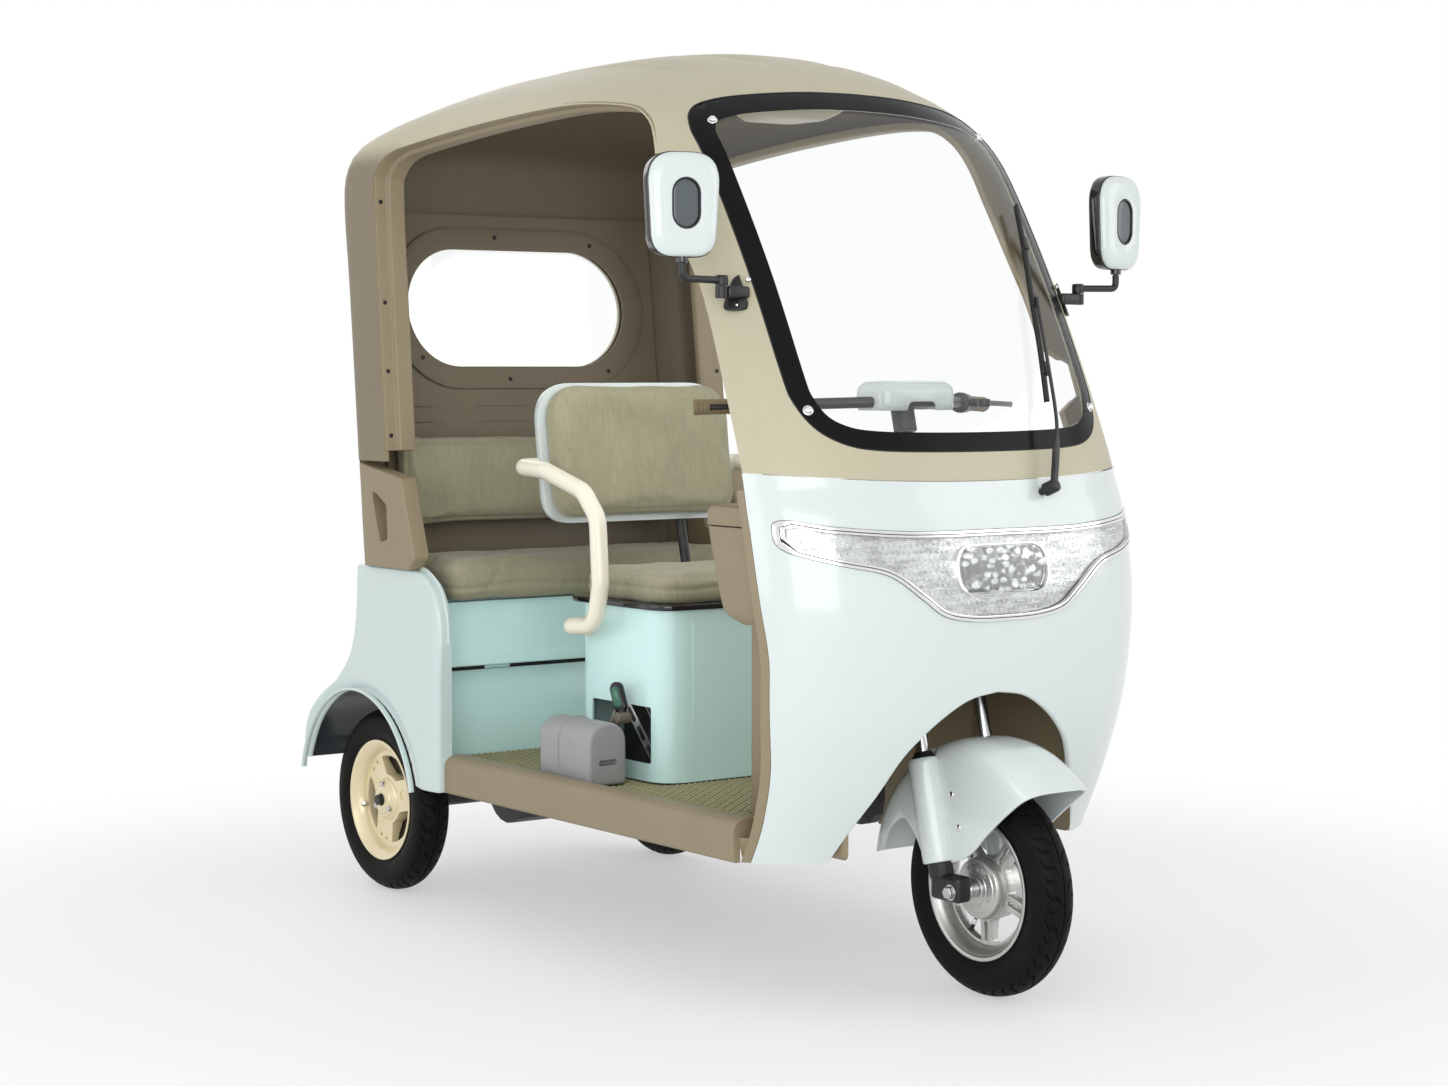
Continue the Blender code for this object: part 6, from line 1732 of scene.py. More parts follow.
REAR_PANEL = 0.240                      # front face of the bench's panel, ahead of the rear axle
BENCH_TOP = 0.690
ARCH_RADIUS = 0.258
REAR_WALL = 0.005
REAR_EDGE = 0.022                       # rounding of the rear body's long edges
REAR_OUTLINE = [
    (-0.350, 0.272), (-0.350, 0.600), (-0.343, 0.665), (-0.318, 0.718), (-0.270, 0.750),
    (-0.230, 0.7575), (0.030, 0.7575), (0.024, 0.640), (0.040, 0.560), (0.090, 0.495),
    (0.170, 0.450), (0.232, 0.400), (0.262, 0.340), (0.265, 0.285),
]


def rear_outline(grow):
    shoulder = flowing(REAR_OUTLINE[1:6], 6)
    back = flowing(REAR_OUTLINE[6:], 6)
    points = REAR_OUTLINE[:1] + shoulder + back
    return [(after_rear(y), z) for y, z in offset_outline(points, grow)]


def rear_flare(spot):
    """Draws the sides in towards the top and lets them swell round the wheel arches."""
    run, rise = spot.y - REAR_AXLE_Y, spot.z - sizes().tyre_radius
    away = math.hypot(run, rise) - ARCH_RADIUS
    swell = max(0.0, 1 - away / 0.085) ** 2
    lean = 0.016 * held((spot.z - 0.50) / 0.26) ** 1.3
    front_turn = 0.010 * max(0.0, 1 - (run + 0.350) / 0.030) ** 2
    inward = max(lean + front_turn + 0.004 - 0.016 * swell, -0.0115)
    share_out = min(abs(spot.x) / sizes().half_width, 1.0)
    if share_out > 0.9:
        spot.x -= math.copysign(inward, spot.x)
    return spot


def rear_body():
    half = sizes().half_width
    body = slab("rear_body_skin", rear_outline(0.0), -half, half, "X")
    bevelled(body, REAR_EDGE, 6, 60)
    for axis, spacing in ((1, 0.013), (2, 0.013)):
        ruled(body, axis, spacing)
    reshape(body, rear_flare)
    # The rear body takes the darker mint, which is painted shade
    paint(body, rear_mint)
    inner = rear_outline(-REAR_WALL)
    inner = [(inner[0][0], 0.15)] + inner[1:-1] + [(inner[-1][0], 0.15)]
    inside = slab("cut_rear_inside", inner, -half + REAR_WALL, half - REAR_WALL, "X")
    for axis, spacing in ((1, 0.02), (2, 0.02)):
        ruled(inside, axis, spacing)
    reshape(inside, rear_flare)
    cut(body, paint(inside, dark_inset))
    ledge = BENCH_HALF + 0.002
    cut(body,
        paint(block("cut_rear_middle", (-ledge, after_rear(-0.5), 0.1), (ledge, after_rear(0.012), 0.9)),
              rear_mint))
    for side in (-1, 1):
        arch = rod("cut_rear_arch", (side * 0.33, REAR_AXLE_Y, sizes().tyre_radius),
                   (side * 0.60, REAR_AXLE_Y, sizes().tyre_radius), ARCH_RADIUS, sides=128)
        cut(body, paint(arch, rear_mint))
    put(body, "body", "mint_paint", "rear_body", degrees=30)
    for word, side in SIDES:
        route = []
        for i in range(57):
            turn = math.radians(12 + 156 * i / 56)
            y = REAR_AXLE_Y + (ARCH_RADIUS + 0.003) * math.cos(turn)
            z = sizes().tyre_radius + (ARCH_RADIUS + 0.003) * math.sin(turn)
            route.append((side * (half + 0.0035), y, z))
        lip = swept("arch_lip_" + word, route, [(u * 0.0040, v * 0.0070) for u, v in round_section(1.0, 14)],
                    up=(side, 0, 0))
        put(paint(lip, rear_mint), "body", "mint_paint", degrees=60)
        trim_route = [(side * (BENCH_HALF + 0.012), y, z) for y, z in rear_outline(0.0004)
                      if y < after_rear(-0.225) and z > sizes().sill_low + 0.08]
        trim = swept("corner_strip_" + word, trim_route,
                     [(u * 0.0085, v * 0.0030) for u, v in round_section(1.0, 14)], up=(side, 0, 0))
        put(paint(trim, rear_mint), "body", "mint_paint", degrees=60)


def tail_lamps():
    for word in ("right", "left"):
        near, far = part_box("tail_lamp_" + word)
        edge = 0.006
        face_y = far.y
        plan = rounded_outline(oblong(near.x, near.z, far.x, far.z), 0.012, 6)
        rim = slab("tail_lamp_rim_" + word, plan, face_y - 0.016, face_y - 0.004, "Y")
        cut(rim, slab("cut_rim", offset_outline(plan, -edge), face_y - 0.1, face_y + 0.1, "Y"))
        put(bevelled(paint(rim, black_plastic), 0.0015, 2), "body", "black_plastic")
        lens_plan = offset_outline(plan, -edge - 0.0004)
        lens = slab("tail_lamp_lens_" + word, lens_plan, face_y - 0.016, face_y - 0.0004, "Y")
        bevelled(lens, 0.003, 4)
        for i in range(1, 7):
            x = near.x + (far.x - near.x) * i / 7
            cut(lens, block("cut_rib", (x - 0.0008, face_y - 0.0018, near.z - 0.1),
                            (x + 0.0008, face_y + 0.1, far.z + 0.1)))
        put(paint(lens, red_lens), "body", "red_lens", "tail_lamp_" + word)


# Bench

CASE_HALF = 0.375
CASE_FOOT = 0.500
CASE_WALL = 0.006
MOUTH_HALF = 0.345
MOUTH_HEIGHTS = (0.556, 0.664)


def bench_box():
    front = after_rear(-REAR_PANEL)
    foot = FLOOR_TOP + 0.0005
    panel = block("bench_panel", (-BENCH_HALF + 0.002, front, foot),
                  (BENCH_HALF - 0.002, front + 0.010, BENCH_TOP))
    join(panel, block("join_case", (-CASE_HALF, front + 0.005, CASE_FOOT),
                      (CASE_HALF, after_rear(-0.004), BENCH_TOP)))
    inner_half = CASE_HALF - CASE_WALL
    cut(panel, block("cut_case", (-inner_half, front + 0.010, CASE_FOOT + CASE_WALL),
                     (inner_half, after_rear(-0.010), BENCH_TOP - CASE_WALL)),
        block("cut_case_mouth", (-MOUTH_HALF, front - 0.1, MOUTH_HEIGHTS[0]),
              (MOUTH_HALF, front + 0.05, MOUTH_HEIGHTS[1])))
    put(bevelled(paint(panel, inner_mint), 0.002, 2, 60), "body", "mint_paint", "bench_box")
    for word, side in SIDES:
        strip = block("bench_edge_strip_" + word, (side * (BENCH_HALF - 0.024), front - 0.0060, foot + 0.012),
                      (side * (BENCH_HALF - 0.003), front - 0.0002, BENCH_TOP - 0.010), 0.0028, 3)
        put(paint(strip, inner_mint), "body", "mint_paint")
    # Painted shadow: a black strip under the door stands in for the shade in the gap.
    shadow = block("bench_door_seal", (-0.398, front - 0.0050, low("storage_door").z - 0.0115),
                   (0.398, front - 0.0002, low("storage_door").z - 0.0006), 0.0015, 2)
    put(paint(shadow, black_rubber), "body", "black_rubber")
    leaves = []
    for x in (-0.252, 0.252):
        leaves.append(paint(block("hinge_leaf", (x - 0.033, front - 0.0085, low("storage_door").z - 0.0100),
                                  (x + 0.033, front - 0.0052, low("storage_door").z - 0.0015), 0.001, 2),
                                  inner_mint))
    put(together("bench_hinge_leaves", leaves), "body", "mint_paint")


def storage_door():
    """A framed door: a raised border and a sunk middle with a soft shoulder."""
    near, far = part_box("storage_door")
    face = near.y
    border, foot_border, sunk = 0.014, 0.026, 0.0042
    plan = rounded_outline(oblong(near.x, near.z, far.x, far.z), 0.005, 5)
    door = slab("storage_door_frame", plan, face, far.y, "Y")
    bevelled(door, 0.0035, 4)
    inner = rounded_outline(oblong(near.x + border, near.z + foot_border, far.x - border, far.z + 0.02),
                            0.004, 4)
    grown = offset_outline(inner, 0.0045)
    well = loft("cut_door_well",
                [[(x, face - 0.01, z) for x, z in grown], [(x, face - 0.0001, z) for x, z in grown],
                                  [(x, face + sunk, z) for x, z in inner]])
    cut(door, well)
    pocket = block("cut_door_pocket", (-MOUTH_HALF, face + 0.010, near.z + 0.018),
                   (MOUTH_HALF, face + 0.1, far.z - 0.018))
    cut(door, pocket)
    put(paint(door, inner_mint), "storage_door", "mint_paint", "storage_door", degrees=25)


GUARD_OUTLINE = [(-0.003, 0.9950), (-0.036, 0.7585), (-0.238, 0.7585), (-0.264, 0.785), (-0.205, 0.962)]
GUARD_HOLE = [(-0.066, 0.937), (-0.138, 0.899), (-0.142, 0.822), (-0.108, 0.815)]


def side_guards():
    half = sizes().half_width
    for word, side in SIDES:
        across = sorted((side * (half - 0.002), side * (BENCH_HALF + 0.004)))
        outline = rounded_outline([(after_rear(y), z) for y, z in GUARD_OUTLINE], 0.014, 6)
        guard = bevelled(slab("side_guard_panel_" + word, outline, *across, "X"), 0.0055, 4, 60)
        hole = rounded_outline([(after_rear(y), z) for y, z in GUARD_HOLE], 0.013, 6)
        cut(guard, slab("cut_guard_hole", hole, -0.6, 0.6, "X"))
        outer = side * (half - 0.002)
        funnel = sorted((outer + side * 0.01, outer - side * 0.003), key=abs)
        inner_ring = [(funnel[0], y, z) for y, z in hole]
        outer_ring = [(funnel[1], y, z) for y, z in offset_outline(hole, 0.017)]
        cut(guard, loft("cut_guard_funnel", [inner_ring, outer_ring]))
        keep_inside(guard, cab_solid("keep_guard", 0.001, [-0.35] + dense(CAB_LEVELS[:4], 0.03)))
        put(paint(guard, middle_tan_moulding), "body", "tan_moulding", "side_guard_" + word, degrees=30)


# Cushions

COVER_STIFFNESS = 12.0
COVER_BENDING = 2.5


def places(obj):
    """Where a piece's points are, one row each."""
    flat = np.empty(len(obj.data.vertices) * 3, np.float32)
    obj.data.vertices.foreach_get("co", flat)
    return flat.reshape(-1, 3).astype(float)


def put_places(obj, rows):
    obj.data.vertices.foreach_set("co", np.ascontiguousarray(rows, np.float32).ravel())
    obj.data.update()
    return obj


def inflate(soft_form, base_z=None):
    """Stuffs a closed form: remeshes it, lets it swell as cloth under pressure, and smooths it."""
    remesh = soft_form.modifiers.new("even faces", "REMESH")
    remesh.mode = "VOXEL"
    remesh.voxel_size = soft().voxel
    settle(soft_form)
    start = places(soft_form)
    cloth = soft_form.modifiers.new("stuffing", "CLOTH")
    cloth.settings.quality = 4
    cloth.settings.tension_stiffness = COVER_STIFFNESS
    cloth.settings.compression_stiffness = COVER_STIFFNESS
    cloth.settings.bending_stiffness = COVER_BENDING
    cloth.settings.use_pressure = True
    cloth.settings.uniform_pressure_force = soft().pressure
    cloth.settings.effector_weights.gravity = 0
    cloth.point_cache.frame_start = 1
    cloth.point_cache.frame_end = soft().frames
    for number in range(1, soft().frames + 1):
        bpy.context.scene.frame_set(number)
    settle(soft_form)
    bpy.context.scene.frame_set(1)
    move = places(soft_form) - start
    far = np.linalg.norm(move, axis=1, keepdims=True)
    put_places(soft_form, start + move * np.minimum(1.0, soft().swell / np.maximum(far, 1e-9)))
    finer = soft_form.modifiers.new("finer", "SUBSURF")
    finer.levels = finer.render_levels = 1
    settle(soft_form)
    if base_z is not None:
        rows = places(soft_form)
        rows[:, 2] = np.maximum(rows[:, 2], base_z)
        put_places(soft_form, rows)
    return soft_form


def crease(soft_form, measure, depth, width):
    """Pulls the cloth in along the line where the measure is zero."""
    rows = places(soft_form)
    normals = np.array([v.vector for v in soft_form.data.vertex_normals])
    away = measure(rows[:, 0], rows[:, 1], rows[:, 2])
    return put_places(soft_form, rows - normals * (depth * np.exp(-(away / width) ** 2))[:, None])


def rumple(soft_form, scale, amount, seed):
    """Small uneven waves, as in a filled cover."""
    rows = places(soft_form)
    normals = np.array([v.vector for v in soft_form.data.vertex_normals])
    waves = np.array([noise.noise(Vector(row) * scale + Vector((seed, seed * 1.7, 0))) for row in rows])
    return put_places(soft_form, rows + normals * (waves * amount)[:, None])


def cushion_form(name, outline, near, far, axis, tuck):
    """A block with soft edges, drawn in at both faces."""
    rings = []
    order = {"Y": lambda u, v, w: (u, w, v), "Z": lambda u, v, w: (u, v, w)}[axis]
    for share_along, inset in ((0.0, 1.0), (0.06, 0.45), (0.2, 0.08), (0.5, 0.0), (0.8, 0.08), (0.94, 0.45),
                               (1.0, 1.0)):
        place = near + (far - near) * share_along
        rings.append([order(u, v, place) for u, v in offset_outline(outline, -tuck * inset)])
    return loft(name, rings)


SEAT_FRONT = 0.750
SEAT_BACK = 1.090
SEAT_HALF = 0.240
SEAT_CORNER = 0.070


def seat_plan(front, back, half, corner_radius, grow=0.0, steps=12):
    outline = oblong(-half - grow, after_front(front - grow), half + grow, after_front(back + grow))
    return rounded_outline(outline, corner_radius, steps)


def seat_cushion():
    near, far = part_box("seat_cushion")
    plan = seat_plan(SEAT_FRONT - 0.002, SEAT_BACK + 0.006, SEAT_HALF + 0.002, SEAT_CORNER)
    pad = cushion_form("driver_seat_cushion", plan, near.z + 0.0005, far.z - 0.007, "Z", 0.012)
    inflate(pad, near.z)
    seam_height = far.z - 0.021
    border = seat_plan(SEAT_FRONT + 0.020, SEAT_BACK - 0.015, SEAT_HALF - 0.020, SEAT_CORNER - 0.02)
    crease(pad, lambda x, y, z: z - seam_height + 0.010 * np.sin(x * 9.0) ** 2, 0.0030, 0.0045)
    crease(pad, lambda x, y, z: np.where(z > seam_height, edge_distance(border, x, y), 1.0), 0.0016, 0.0045)
    rumple(pad, 14.0, 0.0022, 3.0)
    put(paint(pad, seat_fabric), "driver_seat", "seat_fabric", "seat_cushion", degrees=80)
    base_near, base_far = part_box("seat_base")
    base_plan = seat_plan(SEAT_FRONT - 0.010, SEAT_BACK + 0.035, SEAT_HALF + 0.010, SEAT_CORNER)
    base = slab("seat_base_plate", base_plan, base_near.z, base_far.z, "Z")
    put(bevelled(paint(base, black_gloss), 0.0035, 4, 50), "driver_seat", "black_plastic", "seat_base")


BACKREST_LEAN = math.radians(8)
BACKREST_LOW = 0.880
BACKREST_HIGH = 1.175
BACKREST_FACE = 1.130
POST_ACROSS = 0.120
POST_RADIUS = 0.0115


def lean_back(obj):
    foot = Vector((0, after_front(BACKREST_FACE), BACKREST_LOW))
    obj.data.transform(Matrix.Translation(foot) @ Matrix.Rotation(-BACKREST_LEAN, 4, "X")
                               @ Matrix.Translation(-foot))
    return obj


def backrest():
    face = after_front(BACKREST_FACE)
    half, low_edge, high_edge = 0.2485, BACKREST_LOW - 0.007, BACKREST_HIGH + 0.009
    outline = rounded_outline(oblong(-half, low_edge, half, high_edge), [0.062, 0.062, 0.086, 0.086], 12)
    pad = cushion_form("driver_backrest_cushion", outline, face + 0.007, face + 0.0545, "Y", 0.010)
    inflate(pad)
    border = offset_outline(outline, -0.020)
    crease(pad, lambda x, y, z: np.where(y < face + 0.030, edge_distance(border, x, z), 1.0), 0.0020, 0.0040)
    rumple(pad, 11.0, 0.0020, 9.0)
    for vertex in pad.data.vertices:
        vertex.co.y = min(vertex.co.y, face + 0.0560)
    lean_back(pad)
    put(paint(pad, seat_fabric), "body", "seat_fabric", "backrest_cushion", degrees=80)
    front, back = face + 0.0565, face + 0.0945
    shell_outline = rounded_outline(oblong(-0.250, BACKREST_LOW - 0.008, 0.250, BACKREST_HIGH + 0.010),
                                    [0.066, 0.066, 0.090, 0.090], 12)
    rings = []
    for depth, inset in ((0.0, 0.0005), (0.004, 0.0), (0.018, 0.0015), (0.028, 0.006), (0.034, 0.014),
                         (0.038, 0.030)):
        rings.append([(x, front + depth, z) for x, z in offset_outline(shell_outline, -inset)])
    shell = loft("driver_backrest_shell", rings)
    for side in (-1, 1):
        for rib in (0.055, 0.150):
            x = side * rib
            cut(shell, block("cut_rib", (x - 0.004, back - 0.0022, BACKREST_LOW + 0.05),
                             (x + 0.004, back + 0.1, BACKREST_HIGH - 0.05)))
    put(lean_back(paint(shell, mint_paint)), "body", "mint_paint", "backrest_shell", degrees=40)
    for word, side in SIDES:
        x = side * POST_ACROSS
        foot = after_front(SEAT_BACK + 0.0125)
        route = bent_path([(x, foot, 0.590), (x, foot, 0.640), (x, after_front(1.160), 0.700),
                           (x, after_front(1.222), 0.960)],
                          0.04)
        put(paint(tube("backrest_post_" + word, route, POST_RADIUS), black_steel), "body", "black_steel",
            degrees=60)


def bench_cushion():
    near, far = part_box("bench_cushion")
    plan = rounded_outline(oblong(near.x + 0.006, near.y + 0.006, far.x - 0.006, far.y - 0.006),
                           [0.050, 0.050, 0.020, 0.020], 10)
    pad = cushion_form("bench_seat_cushion", plan, near.z + 0.0005, far.z - 0.010, "Z", 0.022)
    inflate(pad, near.z)
    seam_height = near.z + 0.030
    crease(pad, lambda x, y, z: z - seam_height - 0.004 * np.sin(x * 21.0), 0.0028, 0.005)
    fold = near.x + 0.120
    for side in (-1, 1):
        crease(pad, lambda x, y, z: side * x + fold + (z - seam_height) * 0.8 - 0.3 * (y - near.y), 0.0022,
               0.010)
    rumple(pad, 9.0, 0.0034, 21.0)
    for vertex in pad.data.vertices:
        vertex.co.z = max(vertex.co.z, near.z)
    put(paint(pad, seat_fabric), "body", "seat_fabric", "bench_cushion", degrees=80)


def bench_backrest():
    """The pad on the rear wall, which follows the wall's curve."""
    near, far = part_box("bench_backrest")
    inset = WALL_INSET + WALL_THICKNESS + 0.001
    outline = rounded_outline(oblong(near.x + 0.007, near.z + 0.007, far.x - 0.007, far.z - 0.007), 0.040, 10)
    thickness = 0.048
    pad = cushion_form("bench_back_cushion", outline, 0.0, thickness, "Y", 0.012)
    inflate(pad)
    for vertex in pad.data.vertices:
        vertex.co.y = max(vertex.co.y, -0.001)
    border = offset_outline(outline, -0.020)
    crease(pad, lambda x, y, z: np.where(y > thickness * 0.5, edge_distance(border, x, z), 1.0), 0.0030,
           0.0045)
    rumple(pad, 10.0, 0.0026, 33.0)
    for vertex in pad.data.vertices:
        x, out, z = vertex.co
        vertex.co.y = wall_face(min(abs(x), 0.40), z, inset) - out - 0.0005
    pad.data.flip_normals()
    put(paint(pad, seat_fabric), "body", "seat_fabric", "bench_backrest", degrees=80)


# Seat column

def seat_box():
    near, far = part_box("seat_box")
    outer = seat_plan(SEAT_FRONT, SEAT_BACK, SEAT_HALF, SEAT_CORNER, 0.0, 20)
    inner = seat_plan(SEAT_FRONT, SEAT_BACK, SEAT_HALF, SEAT_CORNER, -0.004, 20)
    box = slab("seat_column", outer, near.z, far.z, "Z")
    cut(box, slab("cut_seat_box", inner, near.z - 0.1, far.z + 0.1, "Z"))
    window = rounded_outline(oblong(after_front(0.800), 0.375, after_front(1.020), 0.495), 0.006, 5)
    cut(box, slab("cut_box_window", window, -0.5, 0.0, "X"))
    put(paint(box, inner_mint), "body", "mint_paint", "seat_box", degrees=30)
    forms = []
    for side in (-1, 1):
        fold = block("seat_column_fold",
                     (side * 0.165 - 0.0014, after_front(SEAT_FRONT) - 0.0010, near.z + 0.03),
                     (side * 0.165 + 0.0014, after_front(SEAT_FRONT) + 0.001, far.z - 0.02), 0.0009, 2)
        forms.append(paint(fold, inner_mint))
    put(together("seat_column_folds", forms), "body", "mint_paint")
    bars, slots = [], []
    x = -SEAT_HALF + 0.016
    for foot, top, depth in (((0.800, 0.372), (0.925, 0.505), 0.0), ((0.768, 0.405), (0.865, 0.510), 0.012),
                             ((1.035, 0.380), (0.940, 0.505), 0.014)):
        a = Vector((x + depth, after_front(foot[0]), foot[1]))
        b = Vector((x + depth, after_front(top[0]), top[1]))
        along = (b - a).normalized()
        across = Vector((1, 0, 0)).cross(along)
        for forms, wide, near_x, far_x, spans in (
                (bars, 0.0115, x + depth, x + depth + 0.003, ((0.0, 1.0),)),
                (slots, 0.0060, x + depth - 0.0012, x + depth, ((0.08, 0.28), (0.36, 0.56), (0.64, 0.84)))):
            for start, end in spans:
                plan = [a.lerp(b, start) - across * wide, a.lerp(b, end) - across * wide,
                        a.lerp(b, end) + across * wide, a.lerp(b, start) + across * wide]
                rounded = rounded_outline([(p.y, p.z) for p in plan], 0.004, 4)
                forms.append(bevelled(slab("strut_form", rounded, near_x, far_x, "X"), 0.0008, 2, 50))
    for number, bar in enumerate(bars):
        bar.name = "battery_strut_%d" % (number + 1)
        put(paint(bar, silver_alloy), "body", "grey_plastic")
    put(paint(together("battery_strut_slots", slots), black_plastic), "body", "black_plastic")


# Armrests and parking brake

# From the backrest forwards, down and back to the seat column: across, behind the front axle, up
ARM_ROUTE = [
    (0.2515, 1.221, 0.990), (0.292, 1.221, 0.990), (0.295, 1.120, 0.985), (0.295, 0.970, 0.945),
    (0.295, 0.915, 0.890), (0.295, 0.905, 0.750), (0.295, 0.925, 0.660), (0.295, 1.030, 0.652),
    (0.2415, 1.030, 0.652),
]
ARM_RADIUS = 0.019
ARM_BEND = 0.055


def armrests():
    for word, side in SIDES:
        points = [sided(side, spot) for spot in ARM_ROUTE]
        arm = tube("armrest_loop_" + word, bent_path(points, ARM_BEND, 12), ARM_RADIUS, 28)
        put(bevelled(paint(arm, cream_paint), 0.004, 3, 60), "body", "cream_paint", "armrest_" + word,
            degrees=60)
        foot = Vector(points[-1])
        flange = dome("armrest_flange_" + word, foot + Vector((side * 0.0005, 0, 0)), (side, 0, 0), 0.0245,
                      0.006)
        put(paint(flange, cream_paint), "body", "cream_paint")


BRAKE_SHOULDER = 0.052                  # from the box's top down to where its sides turn straight
BRAKE_PIVOT = (-0.270, 0.852, 0.470)


def parking_brake():
    near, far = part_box("parking_brake_housing")
    middle_x = (near.x + far.x) / 2
    half = (far.x - near.x) / 2

    def arch(grow):
        """The housing's front: straight sides under a flattened round top."""
        points = [(middle_x + half + grow, near.z), (middle_x + half + grow, far.z - BRAKE_SHOULDER)]
        for i in range(1, 18):
            turn = math.pi * i / 18
            points.append((middle_x + (half + grow) * math.cos(turn),
                           far.z - BRAKE_SHOULDER + (0.049 + grow) * math.sin(turn) ** 0.8))
        return points + [(middle_x - half - grow, far.z - BRAKE_SHOULDER), (middle_x - half - grow, near.z)]
    housing = slab("parking_brake_cover", arch(-0.0015), near.y, far.y, "Y")
    bevelled(housing, 0.010, 5, 60)
    slot = rounded_outline(oblong(middle_x - 0.022, 0.380, middle_x + 0.022, 0.392), 0.004, 4)
    cut(housing, paint(slab("cut_brake_slot", slot, near.y - 0.05, near.y + 0.020, "Y"), dark_inset))
    put(paint(housing, grey_plastic, dark_inset), "body", "grey_plastic", "parking_brake_housing", degrees=40)
    band_y = near.y + (far.y - near.y) * 0.63
    band = slab("parking_brake_band", arch(0.0013), band_y - 0.0065, band_y + 0.0065, "Y")
    put(bevelled(paint(band, grey_plastic), 0.0022, 3, 60), "body", "grey_plastic", degrees=40)
    pivot = sided(1, BRAKE_PIVOT)

    def spot(y, z):
        return Vector((pivot.x, after_front(y), z))
    claw_route = flowing([pivot, spot(0.874, 0.470), spot(0.888, 0.455), spot(0.889, 0.430),
                          spot(0.880, 0.405), spot(0.871, 0.388)], 6)

    def claw_section(t):
        radius = 0.0112 * (1 - 0.62 * max(t - 0.35, 0.0) / 0.65)
        return [(u * radius, v * radius * 1.12) for u, v in round_section(1.0, 18)]
    claw = swept("parking_brake_claw", claw_route, claw_section, up=(1, 0, 0))
    put(paint(claw, warm_grey), "parking_brake", "grey_plastic", "parking_brake_lever", degrees=60)
    boss = spun("parking_brake_boss",
                [(0.0085, -0.0215), (0.0120, -0.0190), (0.0120, 0.0090), (0.0095, 0.0118), (0.002, 0.012)],
                pivot, (1, 0, 0), 28)
    put(paint(boss, warm_grey), "parking_brake", "grey_plastic")
    grip_low, grip_high = spot(0.860, 0.479), spot(0.888, 0.541)
    along = (grip_high - grip_low).normalized()
    neck = paint(rod("parking_brake_neck", pivot + along * 0.004, grip_low + along * 0.010, 0.0060, 0.0075),
                 black_plastic)
    put(neck, "parking_brake", "black_plastic")
    aim = Vector((-1, -0.35, 0.12)).normalized()
    across = aim.cross(along).normalized()
    aim = along.cross(across).normalized()
    centre = (grip_low + grip_high) / 2 + along * 0.002
    if aim.x > 0:
        aim = -aim
    for name, wide, tall, depth_low, depth_high, edge, finish in (
            ("parking_brake_handle", 0.0155, 0.0335, -0.010, 0.0078, 0.0045, black_plastic),
            ("parking_brake_inset", 0.0098, 0.0235, 0.0050, 0.0090, 0.0010, green_inset)):
        ring = stadium(tall, wide, 14)
        rings = []
        for depth, inset in ((depth_low, edge), (depth_low + edge, 0.0), (depth_high - edge, 0.0),
                             (depth_high, edge)):
            rings.append([centre + along * (u - math.copysign(inset, u))
                          + across * (v - math.copysign(min(inset, abs(v)), v))
                          + aim * depth for u, v in ring])
        put(paint(loft(name, rings), finish), "parking_brake", "black_plastic", degrees=50)


# Wheels

TREAD_STEPS = 720
TREAD_PITCHES = 22
GROOVE_DEEP = 0.0036
GROOVE_WIDE = 0.0030


def tyre_section(count):
    """The tyre's outer skin from bead to bead, as (radius, across)."""
    radius, half = sizes().tyre_radius, sizes().tyre_half
    side = [(radius - 0.0815, half - 0.0125), (radius - 0.0670, half - 0.0075),
            (radius - 0.0530, half - 0.0018), (radius - 0.0380, half), (radius - 0.0200, half - 0.0035),
            (radius - 0.0075, half - 0.0160), (radius - 0.0015, half - 0.0290), (radius, 0.0)]
    half_way = flowing([(r, a, 0) for r, a in side], count)
    points = [(min(r, radius), min(a, half)) for r, a, unused in half_way]
    return points + [(r, -a) for r, a in reversed(points[:-1])]


def tread_groove(around, across):
    """Depth of the tread at a place: a ring in the middle and long slanted S-shaped grooves on each side."""
    deepest = max(0.0, 1.0 - max(abs(across) - 0.0012, 0.0) / 0.0010) * 0.75
    span = (abs(across) - 0.0060) / 0.0300
    if 0.0 < span < 1.0:
        side = 0.5 if across < 0 else 0.0
        bend = 0.85 * span + 0.16 * math.sin(2 * math.pi * span)
        for lead, start, end in ((0.0, 0.0, 1.0), (0.46, 0.28, 0.92)):
            place = (around * TREAD_PITCHES + side + lead - bend) % 1.0
            pitch = 2 * math.pi * sizes().tyre_radius / TREAD_PITCHES
            away = min(place, 1.0 - place) * pitch * 0.78
            ends = min(max(span - start, 0.0), max(end - span, 0.0)) * 12
            depth = max(0.0, 1.0 - max(away - GROOVE_WIDE / 2, 0.0) / 0.0012) * min(ends, 1.0)
            deepest = max(deepest, depth)
    return deepest * GROOVE_DEEP


def tyre_form():
    """One tyre about the origin, with its tread cut in."""
    section = tyre_section(7)
    rings = []
    for i in range(TREAD_STEPS):
        around = i / TREAD_STEPS
        turn = 2 * math.pi * around
        ring = []
        for radius, across in section:
            if abs(across) < 0.0370 and radius > sizes().tyre_radius - 0.0250:
                radius -= tread_groove(around, across)
            ring.append((across, -radius * math.sin(turn), -radius * math.cos(turn)))
        rings.append(ring)
    return loft("tyre_form", rings + rings[:1], caps=False)


def tyres():
    form = tyre_form()
    for word, node, body in (("front", "front_tyre", "front_wheel"),
                             ("rear_right", "rear_tyre_right", "rear_wheel_right"),
                             ("rear_left", "rear_tyre_left", "rear_wheel_left")):
        turn = Matrix.Rotation(math.radians(4.0), 4, "X")
        tyre = copied(form, "tyre_" + word, Matrix.Translation(middle(node)) @ turn)
        put(paint(tyre, tyre_rubber), body, "tyre_rubber", node, degrees=28)
    bpy.data.objects.remove(form, do_unlink=True)


RIM_STEPS = 120
